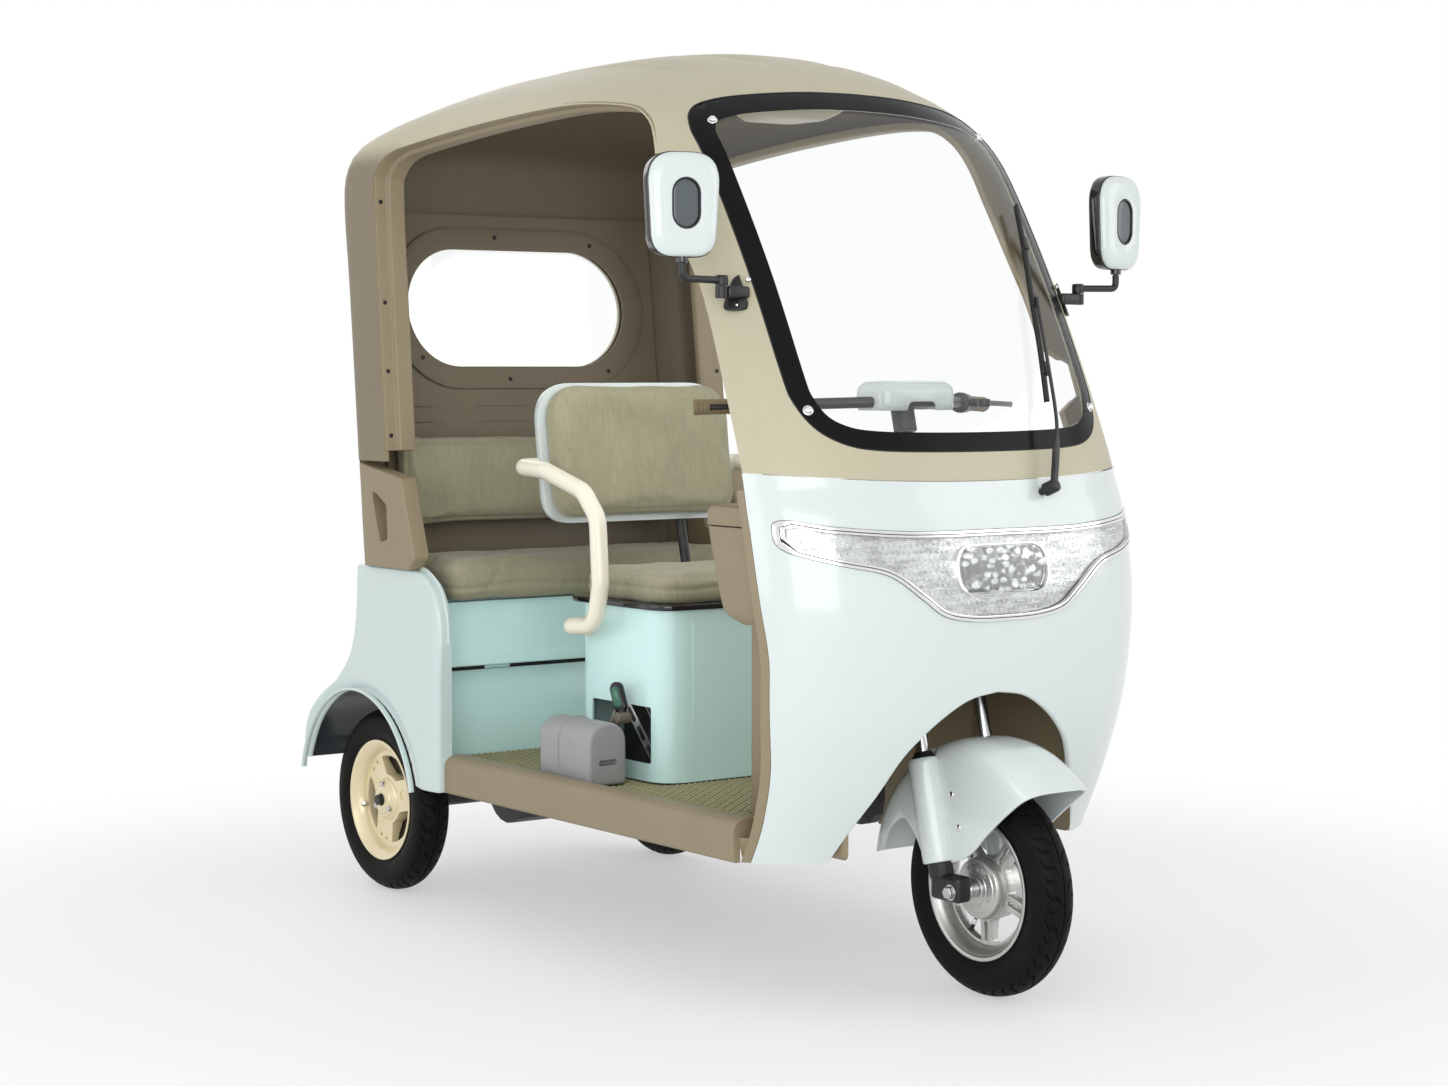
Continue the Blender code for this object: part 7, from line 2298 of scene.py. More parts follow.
# (radius, across) from the well's bed over the flange to the inner face
RIM_HALF = [
    (0.1270, 0.0325), (0.1384, 0.0336), (0.1390, 0.0350), (0.1388, 0.0362), (0.1375, 0.0366),
    (0.1330, 0.0364), (0.1312, 0.0352), (0.1270, 0.0322), (0.1220, 0.0280), (0.1175, 0.0230),
    (0.1130, 0.0150), (0.1110, 0.0060),
]
RIM_RING = RIM_HALF[2::-1] + [(r, -a) for r, a in RIM_HALF] + RIM_HALF[:2:-1]


def polar(radius, degrees):
    turn = math.radians(degrees)
    return radius * math.sin(turn), -radius * math.cos(turn)


def arc_points(radius, start, end, steps):
    return [polar(radius, start + (end - start) * i / steps) for i in range(steps + 1)]


def wheel_gap(base, pitch, spoke_half, inner, outer, bend):
    """The opening between two spokes, with round corners."""
    low_angle = math.degrees(math.asin(spoke_half / inner))
    high_angle = math.degrees(math.asin(spoke_half / outer))
    outline = arc_points(outer, base + high_angle, base + pitch - high_angle, 8)
    outline += arc_points(inner, base + pitch - low_angle, base + low_angle, 5)
    return rounded_outline(outline, [bend if k in (0, 8, 9, 14) else 0.001 for k in range(len(outline))], 4)


def spoke_plate(name, half, outer_radius, crown):
    """The plate that becomes the spokes, thicker towards the hub."""
    rise = [(0.006, half + crown), (0.045, half + crown), (0.070, half + crown * 0.35), (0.090, half),
            (outer_radius, half)]
    return turned_ring(name, [(r, -a) for r, a in rise] + rise[::-1], (0, 0, 0), RIM_STEPS)


def front_wheel():
    wheel = turned_ring("front_wheel_form", RIM_RING, (0, 0, 0), RIM_STEPS)
    plate = spoke_plate("join_plate", 0.0082, 0.1135, 0.006)
    for i in range(5):
        cut(plate, slab("cut_gap", wheel_gap(i * 72, 72, 0.0150, 0.062, 0.1068, 0.007), -0.05, 0.05, "X"))
        slot = [polar(0.066, i * 72 - 3.6), polar(0.1045, i * 72 - 2.7), polar(0.1045, i * 72 + 2.7),
                polar(0.066, i * 72 + 3.6)]
        cut(plate, slab("cut_slot", rounded_outline(slot, 0.0035, 4), -0.05, 0.05, "X"))
    bevelled(plate, 0.0016, 2, 50)
    join(wheel, plate)
    place = Matrix.Translation(middle("front_rim"))
    moved(paint(wheel, silver_alloy), "front_wheel_spokes", place)
    put(wheel, "front_wheel", "silver_alloy", "front_rim", degrees=38)
    axle = middle("front_rim")
    drum = [(0.0095, -0.0398), (0.020, -0.0398), (0.0215, -0.0385), (0.0300, -0.0385), (0.0310, -0.0365),
            (0.0460, -0.0360), (0.0475, -0.0340), (0.0560, -0.0335), (0.0580, -0.0315), (0.0600, -0.0200),
            (0.0605, 0.0200), (0.0600, 0.0270), (0.0580, 0.0315), (0.0560, 0.0335), (0.0475, 0.0340),
            (0.0460, 0.0360), (0.0310, 0.0365), (0.0300, 0.0385), (0.0215, 0.0385), (0.020, 0.0398),
            (0.0095, 0.0398)]
    hub = turned_ring("front_hub_form", drum, (0, 0, 0), RIM_STEPS)
    for i in range(10):
        for side in (-1, 1):
            y, z = polar(0.0385, i * 36 + 10)
            cut(hub, rod("cut_hub_dimple", (side * 0.0346, y, z), (side * 0.05, y, z), 0.0032, sides=16))
    moved(hub, "front_hub", Matrix.Translation(axle))
    put(bevelled(paint(hub, silver_alloy), 0.0006, 2, 40), "front_wheel", "silver_alloy", degrees=38)
    valve_stem("front_valve", axle, 30.0, 0.0, "front_wheel")


def valve_stem(name, centre, degrees, side, body):
    y, z = polar(1.0, degrees)
    inward = Vector((side * 0.55, -y, -z)).normalized()
    foot = Vector(centre) + Vector((side * 0.016, *polar(0.1125, degrees)))
    stem = spun(name, [(0.0058, -0.002), (0.0058, 0.004), (0.0042, 0.010), (0.0036, 0.020), (0.0036, 0.022)],
                foot, inward, 20)
    put(paint(stem, black_rubber), body, "black_rubber", degrees=40)
    cap = spun(name + "_cap", [(0.0042, 0.0222), (0.0044, 0.0300), (0.0034, 0.0325), (0.001, 0.0328)], foot,
               inward, 20)
    put(paint(cap, chrome), body, "silver_alloy", degrees=40)


def rear_wheels():
    wheel = turned_ring("rear_wheel_form", RIM_RING, (0, 0, 0), RIM_STEPS)
    plate = spoke_plate("join_plate", 0.0088, 0.1135, 0.007)
    for i in range(3):
        gap = wheel_gap(i * 120, 120, 0.0360, 0.057, 0.1010, 0.015)
        cut(plate, slab("cut_gap", gap, -0.05, 0.05, "X"))
        for lean in (-1, 1):
            y, z = polar(0.0965, i * 120 + lean * 7.5)
            cut(plate, rod("cut_lightening_hole", (-0.05, y, z), (0.05, y, z), 0.0042, sides=20))
        y, z = polar(0.0700, i * 120)
        cut(plate, rod("cut_spoke_dish", (0.0105, y, z), (0.05, y, z), 0.0120, 0.016, sides=28))
    bevelled(plate, 0.0020, 3, 50)
    join(wheel, plate)
    paint(wheel, cream_alloy)
    hub_profile = [(0.0145, -0.0315), (0.0480, -0.0315), (0.0500, -0.0290), (0.0500, 0.0130),
                   (0.0480, 0.0180), (0.0430, 0.0200), (0.0400, 0.0250), (0.0340, 0.0262), (0.0320, 0.0300),
                   (0.0220, 0.0312), (0.0200, 0.0318), (0.0145, 0.0318)]
    dust = [(0.0500, -0.0300), (0.1020, -0.0285), (0.1060, -0.0255), (0.1060, -0.0225), (0.0980, -0.0245),
            (0.0500, -0.0260)]
    for word, side in SIDES:
        axle = middle("rear_rim_" + word)
        body = "rear_wheel_" + word
        place = Matrix.Translation(axle) @ (MIRROR_X if side < 0 else Matrix.Identity(4))
        spin = Matrix.Rotation(math.radians(17.0), 4, "X")
        put(copied(wheel, "rear_wheel_spokes_" + word, place @ spin), body, "cream_alloy",
            "rear_rim_" + word, degrees=38)
        hub = turned_ring("join_hub", hub_profile, (0, 0, 0), 80)
        moved(bevelled(paint(hub, cream_alloy), 0.0008, 2, 40), "rear_hub_" + word, place)
        put(hub, body, "cream_alloy", degrees=38)
        backing = turned_ring("join_backing", dust, (0, 0, 0), 96)
        moved(paint(backing, dusty_tan), "rear_backing_plate_" + word, place)
        put(backing, body, "cream_alloy", degrees=38)
        caps = []
        for i in range(3):
            y, z = polar(0.0345, i * 120 + 60)
            foot = axle + Vector((side * 0.0262, y, z))
            caps.append(spun("wheel_nut", [(0.0075, -0.002), (0.0075, 0.0030), (0.0064, 0.0046),
                                           (0.003, 0.0050)], foot, (side, 0, 0), 6))
        put(paint(together("rear_wheel_nuts_" + word, caps), polished_steel), body, "black_steel", degrees=25)
        valve_stem("rear_valve_" + word, axle, 77.0, side, body)
    bpy.data.objects.remove(wheel, do_unlink=True)


# Front fork

FORK_MOUTH = 0.455                          # height of a slider's mouth
SLIDER_FOOT = 0.228
SLEEVE_FOOT = 0.259
BRACE_HEIGHT = 0.443
STANCHION_RADIUS = 0.0135
STANCHION_TOP = 0.606
CLAMP = (0.5815, 0.6100)                # heights of the lower clamp's faces on the steering axis


def fork_up():
    return Vector((0, math.sin(sizes().rake), math.cos(sizes().rake)))


def leg_point(side, height):
    return steering_point(height) + Vector((side * sizes().fork_spread, 0, 0))


def fork_legs():
    forms = []
    for side in (-1, 1):
        bar = rod("stanchion", leg_point(side, FORK_MOUTH - 0.130), leg_point(side, STANCHION_TOP),
                  STANCHION_RADIUS, sides=48)
        forms.append(paint(bar, polished_steel))
    put(together("fork_stanchions", forms), "steering", "black_steel", degrees=50)
    near, far = (steering_point(height) for height in CLAMP)
    centre = (near + far) / 2
    spread = sizes().fork_spread
    front = [(-spread - 0.026, -0.020), (-spread + 0.012, -0.028), (-0.030, -0.028), (0.030, -0.028),
             (spread - 0.012, -0.028), (spread + 0.026, -0.020)]
    plan = front + [(x, -y) for x, y in reversed(front)]
    half = (far - near).length / 2
    bends = [0.018, 0.010, 0.010, 0.010, 0.010, 0.018] * 2
    crown = slab("fork_crown", rounded_outline(plan, bends, 5), -half, half, "Z")
    bevelled(crown, 0.003, 3, 40)
    crown.data.transform(Matrix.Translation(centre) @ Matrix.Rotation(-sizes().rake, 4, "X"))
    stem = rod("join_stem", far - fork_up() * 0.006, steering_point(STEM_TOP), COLUMN_RADIUS, sides=40)
    join(crown, stem)
    put(paint(crown, black_steel), "steering", "black_steel", "steering_fork", degrees=40)
    legs = []
    for side in (-1, 1):
        foot = leg_point(side, SLIDER_FOOT)
        height = (leg_point(side, FORK_MOUTH) - foot).length
        profile = [(0.0180, 0.0), (0.0225, 0.003), (0.0240, 0.008), (0.0240, height - 0.012),
                   (0.0232, height - 0.004), (0.0215, height), (0.0152, height), (0.0145, height - 0.0030),
                   (0.0145, height - 0.020)]
        leg = spun("fork_slider_leg", profile, foot, fork_up(), 40)
        across = sorted((side * (spread - 0.020), side * (spread + 0.018)))
        lug = block("join_axle_lug", (across[0], FRONT_AXLE_Y - 0.0200, sizes().tyre_radius - 0.0200),
                    (across[1], FRONT_AXLE_Y + 0.0620, sizes().tyre_radius + 0.0300), 0.009, 4)
        legs.append(join(leg, lug))
    for leg in legs:
        paint(leg, black_steel)
    y = steering_point(BRACE_HEIGHT).y
    brace = block("fork_brace", (-0.059, y - 0.013, 0.437), (0.059, y + 0.013, 0.450), 0.002)
    put(together("fork_slider_legs", legs), "front_suspension", "black_steel", "fork_sliders", degrees=40)
    put(paint(brace, black_steel), "front_suspension", "black_steel", degrees=40)
    seals = []
    for side in (-1, 1):
        mouth = leg_point(side, FORK_MOUTH)
        seals.append(spun("fork_dust_seal", [(0.0148, 0.0004), (0.0222, 0.0004), (0.0228, 0.0030),
                                             (0.0190, 0.0060), (0.0175, 0.0110), (0.0152, 0.0125),
                                             (0.0139, 0.0128)], mouth, fork_up(), 40))
    put(paint(together("fork_dust_seals", seals), black_rubber), "front_suspension", "black_steel",
        degrees=40)
    front_axle_ends()


def front_axle_ends():
    axle = middle("front_axle")
    half = Vector((0.1085, 0, 0))
    bar = rod("front_axle_bar", axle - half, axle + half, 0.0066, sides=32)
    forms = []
    for side in (-1, 1):
        forms.append(spun("axle_nut", [(0.0128, 0.0), (0.0128, 0.0072), (0.0112, 0.0092), (0.0075, 0.0095)],
                          axle + Vector((side * 0.1022, 0, 0)), (side, 0, 0), 6))
    put(paint(bar, polished_steel), "front_suspension", "black_steel", "front_axle", degrees=30)
    put(paint(together("front_axle_nuts", forms), polished_steel), "front_suspension", "black_steel",
        degrees=25)
    spacers = []
    for side in (-1, 1):
        spacers.append(spun("axle_spacer", [(0.0150, 0.0), (0.0160, 0.0010), (0.0160, 0.0200),
                                            (0.0148, 0.0215), (0.0085, 0.0215)],
                            axle + Vector((side * 0.0403, 0, 0)), (side, 0, 0), 36))
        spacers.append(spun("axle_washer",
                            [(0.0150, 0.0), (0.0155, 0.0003), (0.0155, 0.0014), (0.0075, 0.0016)],
                            axle + Vector((side * 0.1003, 0, 0)), (side, 0, 0), 36))
    put(paint(together("front_axle_spacers", spacers), polished_steel), "front_suspension", "black_steel",
        degrees=30)


FENDER_RADIUS = 0.289
FENDER_HALF = 0.079
FENDER_WALL = 0.0045
FENDER_EDGE = [
    (-0.330, 0.470), (-0.250, 0.437), (-0.190, 0.412), (-0.136, 0.376), (-0.080, 0.331), (-0.030, 0.285),
    (0.020, 0.263), (0.063, 0.2585), (0.104, 0.264), (0.130, 0.300), (0.165, 0.330), (0.205, 0.305),
    (0.235, 0.256), (0.320, 0.244),
]
FENDER_SCREWS = [(0.024, 0.393), (0.003, 0.332)]


def fender_shell(name, inset):
    """A drum about the front axle with rounded shoulders."""
    radius, half = FENDER_RADIUS - inset, FENDER_HALF - inset
    shoulder = [(radius, half * 0.30), (radius - 0.0015, half * 0.50), (radius - 0.006, half * 0.70),
                (radius - 0.014, half * 0.855), (radius - 0.024, half * 0.945),
                (radius - 0.036, half * 0.985), (radius - 0.052, half), (radius - 0.120, half * 0.995),
                (0.05, half * 0.985)]
    profile = list(reversed(shoulder)) + [(r, -a) for r, a in shoulder]
    hub = Vector((0, after_front(-0.011), sizes().tyre_radius + 0.002))
    return turned_ring(name, profile, hub, 160)


def front_fender():
    fender = fender_shell("front_fender_shell", 0.0)
    cut(fender, fender_shell("cut_fender_inside", FENDER_WALL))
    edge = [(after_front(y), z) for y, z in FENDER_EDGE]
    smooth = [(y, z) for unused, y, z in flowing([(0, y, z) for y, z in edge], 5)]
    smooth += [(after_front(0.320), 0.560), (after_front(-0.330), 0.560)]
    keep_inside(fender, slab("keep_fender", smooth, -0.2, 0.2, "X"))
    for side in (-1, 1):
        low_end, high_end = leg_point(side, SLEEVE_FOOT), leg_point(side, FORK_MOUTH)
        along = high_end - low_end
        reach = along.length
        direction = along.normalized()
        sleeve = spun("join_sleeve", [(0.0300, 0.0), (0.0322, 0.0020), (0.0325, 0.006),
                                      (0.0325, reach - 0.010), (0.0315, reach - 0.003), (0.0295, reach)],
                                      low_end, direction, 56)
        cut(sleeve, rod("cut_sleeve", low_end - along * 0.3, high_end + along * 0.3, 0.0255, sides=48))
        cut(fender, rod("cut_sleeve_room", low_end - along * 0.3, high_end + along * 0.3, 0.0285, sides=48))
        join(fender, sleeve)
    y = steering_point(BRACE_HEIGHT).y
    cut(fender, block("cut_fork_brace", (-0.0672, y - 0.0142, 0.4358), (0.0672, y + 0.0142, 0.4512)))
    put(bevelled(paint(fender, mint_paint), 0.0012, 2, 50), "front_suspension", "mint_paint", "front_fender",
        degrees=38)
    screws = []
    for side in (-1, 1):
        for y, z in FENDER_SCREWS:
            spot = Vector((side * (FENDER_HALF - 0.0006), after_front(y), z))
            screws.append(screw_head("fender_screw", spot, (side, 0, 0), 0.0068, 0.0026))
    put(paint(together("fender_screws", screws), chrome), "front_suspension", "black_steel", degrees=35)


# Handlebar and instrument pod

BAR_BEND = (0.100, 0.250, 1.140)
BAR_TIP = (0.380, 0.455, 1.130)
GRIP_START = 0.50
GRIP_END = 0.99
LEVER_START = 0.40


def bar_point(side, along):
    """A point of the handlebar's straight end, from its bend (0) to its tip (1)."""
    return sided(side, BAR_BEND).lerp(sided(side, BAR_TIP), along)


def bar_forward(side):
    """The level direction square to the handlebar's end, ahead of it."""
    along = (bar_point(side, 1) - bar_point(side, 0)).normalized()
    ahead = along.cross(Vector((0, 0, 1))).normalized()
    return ahead if ahead.y < 0 else -ahead


def grip_profile(reach):
    """A ribbed grip with an end flange and a rolled outer end."""
    profile = [(0.0118, 0.0), (0.0160, 0.0006), (0.0160, 0.0040), (0.0150, 0.0052)]
    count = 17
    start, end = 0.0085, reach - 0.012
    for i in range(count):
        place = start + (end - start) * i / count
        width = (end - start) / count
        profile += [(0.0146, place), (0.0154, place + width * 0.22), (0.0154, place + width * 0.70),
                    (0.0146, place + width * 0.90)]
    return profile + [(0.0157, reach - 0.0100), (0.0160, reach - 0.0060), (0.0155, reach - 0.0020),
                      (0.0135, reach - 0.0002), (0.004, reach)]


def handlebar():
    centre = (0, after_front(0.248), 1.141)
    route = bent_path([bar_point(-1, 0.985), bar_point(-1, 0), centre, bar_point(1, 0), bar_point(1, 0.985)],
                      0.04, 12)
    bar = tube("handlebar_tube", route, 0.011, 32)
    top = steering_point(STEM_TOP)
    clamp = spun("join_stem_clamp", [(0.0215, -0.033), (0.0232, -0.031), (0.0232, 0.029), (0.0215, 0.033)],
                 top, fork_up(), 40)
    cut(clamp,
        rod("cut_stem", top - fork_up() * 0.2, top + fork_up() * 0.0005, COLUMN_RADIUS + 0.0006, sides=36))
    join(bar, clamp)
    put(paint(bar, black_steel), "steering", "black_plastic", "handlebar", degrees=40)
    reach = (bar_point(1, GRIP_END) - bar_point(1, GRIP_START)).length
    for word, side, body, node in (("left", 1, "steering", None), ("right", -1, "throttle", "throttle_grip")):
        along = (bar_point(side, 1) - bar_point(side, 0)).normalized()
        grip = spun("grip_" + word, grip_profile(reach), bar_point(side, GRIP_START), along, 48)
        if node:
            cut(grip, rod("cut_grip_bore", bar_point(side, 0.45), bar_point(side, 0.984), 0.0114, sides=32))
        put(paint(grip, olive_grip), body, "black_rubber", *([node] if node else []), degrees=30)
        collar = spun("grip_collar_" + word, [(0.0120, -0.0165), (0.0188, -0.0160), (0.0195, -0.0120),
                                              (0.0195, -0.0050), (0.0185, -0.0012), (0.0120, -0.0008)],
                      bar_point(side, GRIP_START), along, 40)
        cut(collar, rod("cut_collar", bar_point(side, 0.3), bar_point(side, 0.6), 0.0113, sides=32))
        put(paint(collar, black_plastic), "steering", "black_plastic", degrees=35)
        switch_box(word, side)
        brake_lever(word, side)


def switch_box(word, side):
    """The switch housing and the lever's perch."""
    ahead = bar_forward(side)
    near, far = bar_point(side, LEVER_START - 0.07), bar_point(side, LEVER_START + 0.025)
    along = (far - near).normalized()
    reach = (far - near).length
    end = [(0.0120, 0.0), (0.0185, 0.0006), (0.0206, 0.0026), (0.0210, 0.006)]
    profile = end + [(r, reach - a) for r, a in reversed(end)]
    housing = spun("switch_box_" + word, profile, near, along, 40)
    base = bar_point(side, LEVER_START)
    perch = rod("join_perch", base + ahead * 0.012, base + ahead * 0.034, 0.0088, sides=28)
    join(housing, perch)
    put(paint(housing, black_plastic), "steering", "black_plastic", degrees=40)
    buttons = []
    for shift in (-0.011, 0.002, 0.013):
        spot = bar_point(side, LEVER_START - 0.022) + along * shift
        face = (Vector((0, 0, 1)) * 0.55 - ahead * 0.84).normalized()
        buttons.append(spun("switch_button", [(0.0042, 0.018), (0.0042, 0.0216), (0.0034, 0.0226),
                                              (0.001, 0.0228)], spot, face, 20))
    put(paint(together("switch_buttons_" + word, buttons), grey_plastic), "steering", "black_plastic",
        degrees=35)


def brake_lever(word, side):
    ahead = bar_forward(side)
    pivot = bar_point(side, LEVER_START) + ahead * 0.0475
    up = Vector((0, 0, 1))
    hinge = spun("lever_hinge_" + word, [(0.0060, -0.0080), (0.0105, -0.0080), (0.0115, -0.0068),
                                         (0.0115, 0.0068), (0.0105, 0.0080), (0.0060, 0.0080),
                                         (0.0050, 0.0070), (0.001, 0.0070)], pivot, up, 36)
    route = flowing([pivot, bar_point(side, 0.46) + ahead * 0.0500, bar_point(side, 0.60) + ahead * 0.0575,
                     bar_point(side, 0.74) + ahead * 0.0625, bar_point(side, 0.86) + ahead * 0.0655,
                     bar_point(side, 0.895) + ahead * 0.0660], 6)

    def blade_section(t):
        radius = 0.0052 + 0.0008 * max(0.0, (t - 0.9) / 0.1) if t > 0.05 else 0.0058
        return [(u * radius * 0.78, v * radius * 1.05) for u, v in round_section(1.0, 20)]
    blade = swept("join_lever_blade", route, blade_section, up=(0, 0, 1))
    join(hinge, blade)
    hinge.name = "brake_lever_blade_" + word
    put(paint(hinge, black_plastic), "brake_lever_" + word, "black_plastic", "brake_lever_" + word,
        degrees=45)


def instrument_pod():
    """The mint hood over the instruments, and the dial plate that faces the driver."""
    near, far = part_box("instrument_pod")
    shell = block("pod_hood", (near.x + 0.0006, near.y + 0.0006, near.z),
                  (far.x - 0.0006, far.y - 0.0006, far.z - 0.0006), 0.026, 8)
    inner = block("cut_pod", (near.x + 0.0045, near.y + 0.0045, near.z - 0.06),
                  (far.x - 0.0045, far.y - 0.0045, far.z - 0.0055), 0.022, 6)
    cut(shell, inner)
    cut(shell, block("cut_pod_foot", (-0.3, near.y - 0.1, near.z - 0.1), (0.3, far.y + 0.1, near.z + 0.010)))
    front = rounded_outline([(-0.040, near.z - 0.02), (0.040, near.z - 0.02), (0.034, near.z + 0.030),
                             (-0.034, near.z + 0.030)], 0.012, 6)
    cut(shell, slab("cut_pod_notch", front, near.y - 0.05, near.y + 0.02, "Y"))
    put(bevelled(paint(shell, mint_paint), 0.0010, 2, 50), "steering", "black_plastic", "instrument_pod",
        degrees=40)
    dial_y, dial_z = far.y - 0.036, far.z - 0.0006
    plate = rounded_outline(oblong(-0.060, dial_y - 0.024, 0.060, dial_y + 0.024), 0.010, 6)
    dial = slab("instrument_dial", plate, dial_z - 0.0016, dial_z, "Z")
    put(bevelled(paint(dial, black_gloss), 0.0005, 2, 50), "steering", "black_plastic", degrees=35)


# Mirrors

MIRROR_HINGE = (0.457, 0.250, 1.350)
MIRROR_CENTRE = (0.555, 0.240, 1.508)
MIRROR_NECK = 1.400
MIRROR_SIZE = (0.075, 0.0975)               # half width and half height
MIRROR_HALF_DEPTH = 0.023
MIRROR_TURN = 12.0


def mirror_outline(grow, steps=10):
    """A rounded outline about the origin, narrower at its foot."""
    half, tall = MIRROR_SIZE[0] + grow, MIRROR_SIZE[1] + grow
    corners = [(-half * 0.86, -tall), (half * 0.86, -tall), (half, tall), (-half, tall)]
    return rounded_outline(corners, [0.045, 0.045, 0.055, 0.055], steps)


def turned_mirror(obj, side):
    settle(obj)
    turn = Matrix.Rotation(math.radians(side * MIRROR_TURN), 4, "Z")
    obj.data.transform(Matrix.Translation(sided(side, MIRROR_CENTRE)) @ turn)
    return obj


def mirror_rings(levels, outline=mirror_outline):
    """Outlines at depths along Y, each drawn in by its own amount."""
    return [[(x, depth, z) for x, z in outline(-inset)] for depth, inset in levels]


def inset_outline(grow):
    """The long upright window in a mirror's back."""
    return [(x, z + 0.002)
            for z, x in stadium(MIRROR_SIZE[1] * 0.49 + grow, MIRROR_SIZE[0] * 0.39 + grow, 14)]


def mirrors():
    for word, side in SIDES:
        mirror_mount(word, side)
        mirror_arm(word, side)
        mirror_head(word, side)


def mirror_neck(side):
    return sided(side, (MIRROR_CENTRE[0], MIRROR_CENTRE[1], MIRROR_NECK))


def mirror_mount(word, side):
    """The plate on the pillar with its bolts, and the bracket with the hinge's barrel."""
    hinge = sided(side, MIRROR_HINGE)
    across = sorted((side * 0.400, side * 0.450))
    bracket = block("mirror_foot_" + word, (across[0], hinge.y - 0.0155, hinge.z - 0.0125),
                    (across[1], hinge.y + 0.0155, hinge.z + 0.0105), 0.006, 5)
    barrel = spun("join_barrel", [(0.0110, -0.0126), (0.0123, -0.0112), (0.0123, 0.0103), (0.006, 0.0104)],
                  hinge, (0, 0, 1), 36)
    join(bracket, barrel)
    cut(bracket,
        rod("cut_barrel", hinge - Vector((0, 0, 0.008)), hinge + Vector((0, 0, 0.05)), 0.0048, sides=24))
    levels = dense(CAB_LEVELS[3:9], 0.030)
    cut(bracket, cab_solid("cut_bracket", -0.0008, levels))
    plate_ends = sorted((side * 0.408, side * 0.470))
    corners = oblong(hinge.y - 0.017, hinge.z - 0.036, hinge.y + 0.017, hinge.z + 0.034)
    plate = slab("mirror_plate_" + word, rounded_outline(corners, 0.014, 6), *plate_ends, "X")
    keep_inside(plate, cab_solid("keep_plate", -0.0075, levels))
    cut(plate, cab_solid("cut_plate", -0.0008, levels))
    put(bevelled(paint(plate, black_plastic), 0.0015, 2, 40), "body", "black_plastic", degrees=40)
    bolts = []
    for lift in (-0.025, 0.023):
        spot = Vector((side * (cab_side(hinge.y, hinge.z + lift) + 0.0074), hinge.y, hinge.z + lift))
        bolts.append(screw_head("mirror_bolt", spot, (side, -0.25, 0.1), 0.0052, 0.0024))
    put(paint(together("mirror_bolts_" + word, bolts), chrome), "body", "black_plastic", degrees=35)
    put(paint(bracket, black_plastic), "body", "black_plastic", "mirror_bracket_" + word, degrees=40)


def mirror_arm(word, side):
    """The arm from its round cap to the pin on which the head turns."""
    hinge = sided(side, MIRROR_HINGE)
    neck = mirror_neck(side)
    pivot = hinge + Vector((0, 0, 0.011))
    cap = spun("mirror_arm_root_" + word,
               [(0.0042, -0.016), (0.0042, 0.0), (0.0120, 0.0002), (0.0124, 0.0020), (0.0124, 0.0165),
                                           (0.0108, 0.0192), (0.006, 0.0199)], pivot, (0, 0, 1), 36)
    route = bent_path([pivot + Vector((0, 0, 0.010)), Vector((neck.x, neck.y, hinge.z + 0.022)), neck],
                      0.018, 10)
    join(cap, tube("join_arm", route, 0.0070, 28))
    join(cap,
         rod("join_neck_pin", neck - Vector((0, 0, 0.002)), neck + Vector((0, 0, 0.029)), 0.0045, sides=24))
    put(paint(cap, black_plastic), "mirror_arm_" + word, "black_plastic", "mirror_arm_" + word, degrees=40)


def mirror_head(word, side):
    """The head: shell, mint ring, dark inset with its rim, and the glass."""
    neck = mirror_neck(side)
    body = "mirror_head_" + word
    half = MIRROR_HALF_DEPTH
    shell = loft("mirror_shell_" + word,
                 mirror_rings([(-0.006, 0.0012), (-0.0045, 0.0), (half - 0.010, 0.0), (half - 0.003, 0.0015),
                                                       (half - 0.0006, 0.0040), (half - 0.0001, 0.0075)]))
    cut(shell, slab("cut_glass_seat", mirror_outline(-0.0086), half - 0.0042, half + 0.1, "Y"))
    turned_mirror(shell, side)
    foot = neck + Vector((0, 0, 0.001))
    join(shell, spun("join_neck", [(0.0095, 0.0), (0.0110, 0.0012), (0.0110, 0.029), (0.0100, 0.030)], foot,
                     (0, 0, 1), 32))
    cut(shell, rod("cut_neck", neck - Vector((0, 0, 0.05)), neck + Vector((0, 0, 0.031)), 0.0051, sides=24))
    put(paint(shell, black_gloss), body, "black_plastic", "mirror_head_" + word, degrees=40)
    ring = loft("mirror_ring_" + word, mirror_rings([(-0.0065, 0.0016), (-0.0120, 0.0022), (-0.0170, 0.0065),
                                                     (-0.0205, 0.0130), (-0.0222, 0.0210),
                                                     (-0.0226, 0.0300)]))
    pocket = slab("cut_ring_pocket", inset_outline(0.0), -0.0250, -0.0150, "Y")
    cut(ring, pocket)
    turned_mirror(ring, side)
    put(bevelled(paint(ring, mint_paint), 0.0008, 2, 50), body, "mint_paint", degrees=40)
    rim = loft("mirror_inset_rim_" + word,
               mirror_rings([(-0.0152, 0.0006), (-0.0216, 0.0006), (-0.0222, 0.0012), (-0.0222, 0.0034),
                                                         (-0.0180, 0.0040)], inset_outline))
    turned_mirror(rim, side)
    put(paint(rim, black_gloss), body, "black_plastic", degrees=30)
    face = loft("mirror_inset_" + word,
                mirror_rings([(-0.0170, 0.0046), (-0.0190, 0.0046), (-0.0198, 0.0070), (-0.0202, 0.0140),
                                                      (-0.0203, 0.0240)], inset_outline))
    turned_mirror(face, side)
    put(paint(face, slate_inset), body, "black_plastic", degrees=50)
    glass = loft("mirror_glass_face_" + word,
                 mirror_rings([(half - 0.0040, 0.0096), (half - 0.0012, 0.0096), (half - 0.0006, 0.0104)]))
    turned_mirror(glass, side)
    put(paint(glass, mirror_face), body, "mirror_face", "mirror_glass_" + word, degrees=25)


# Windscreen wiper

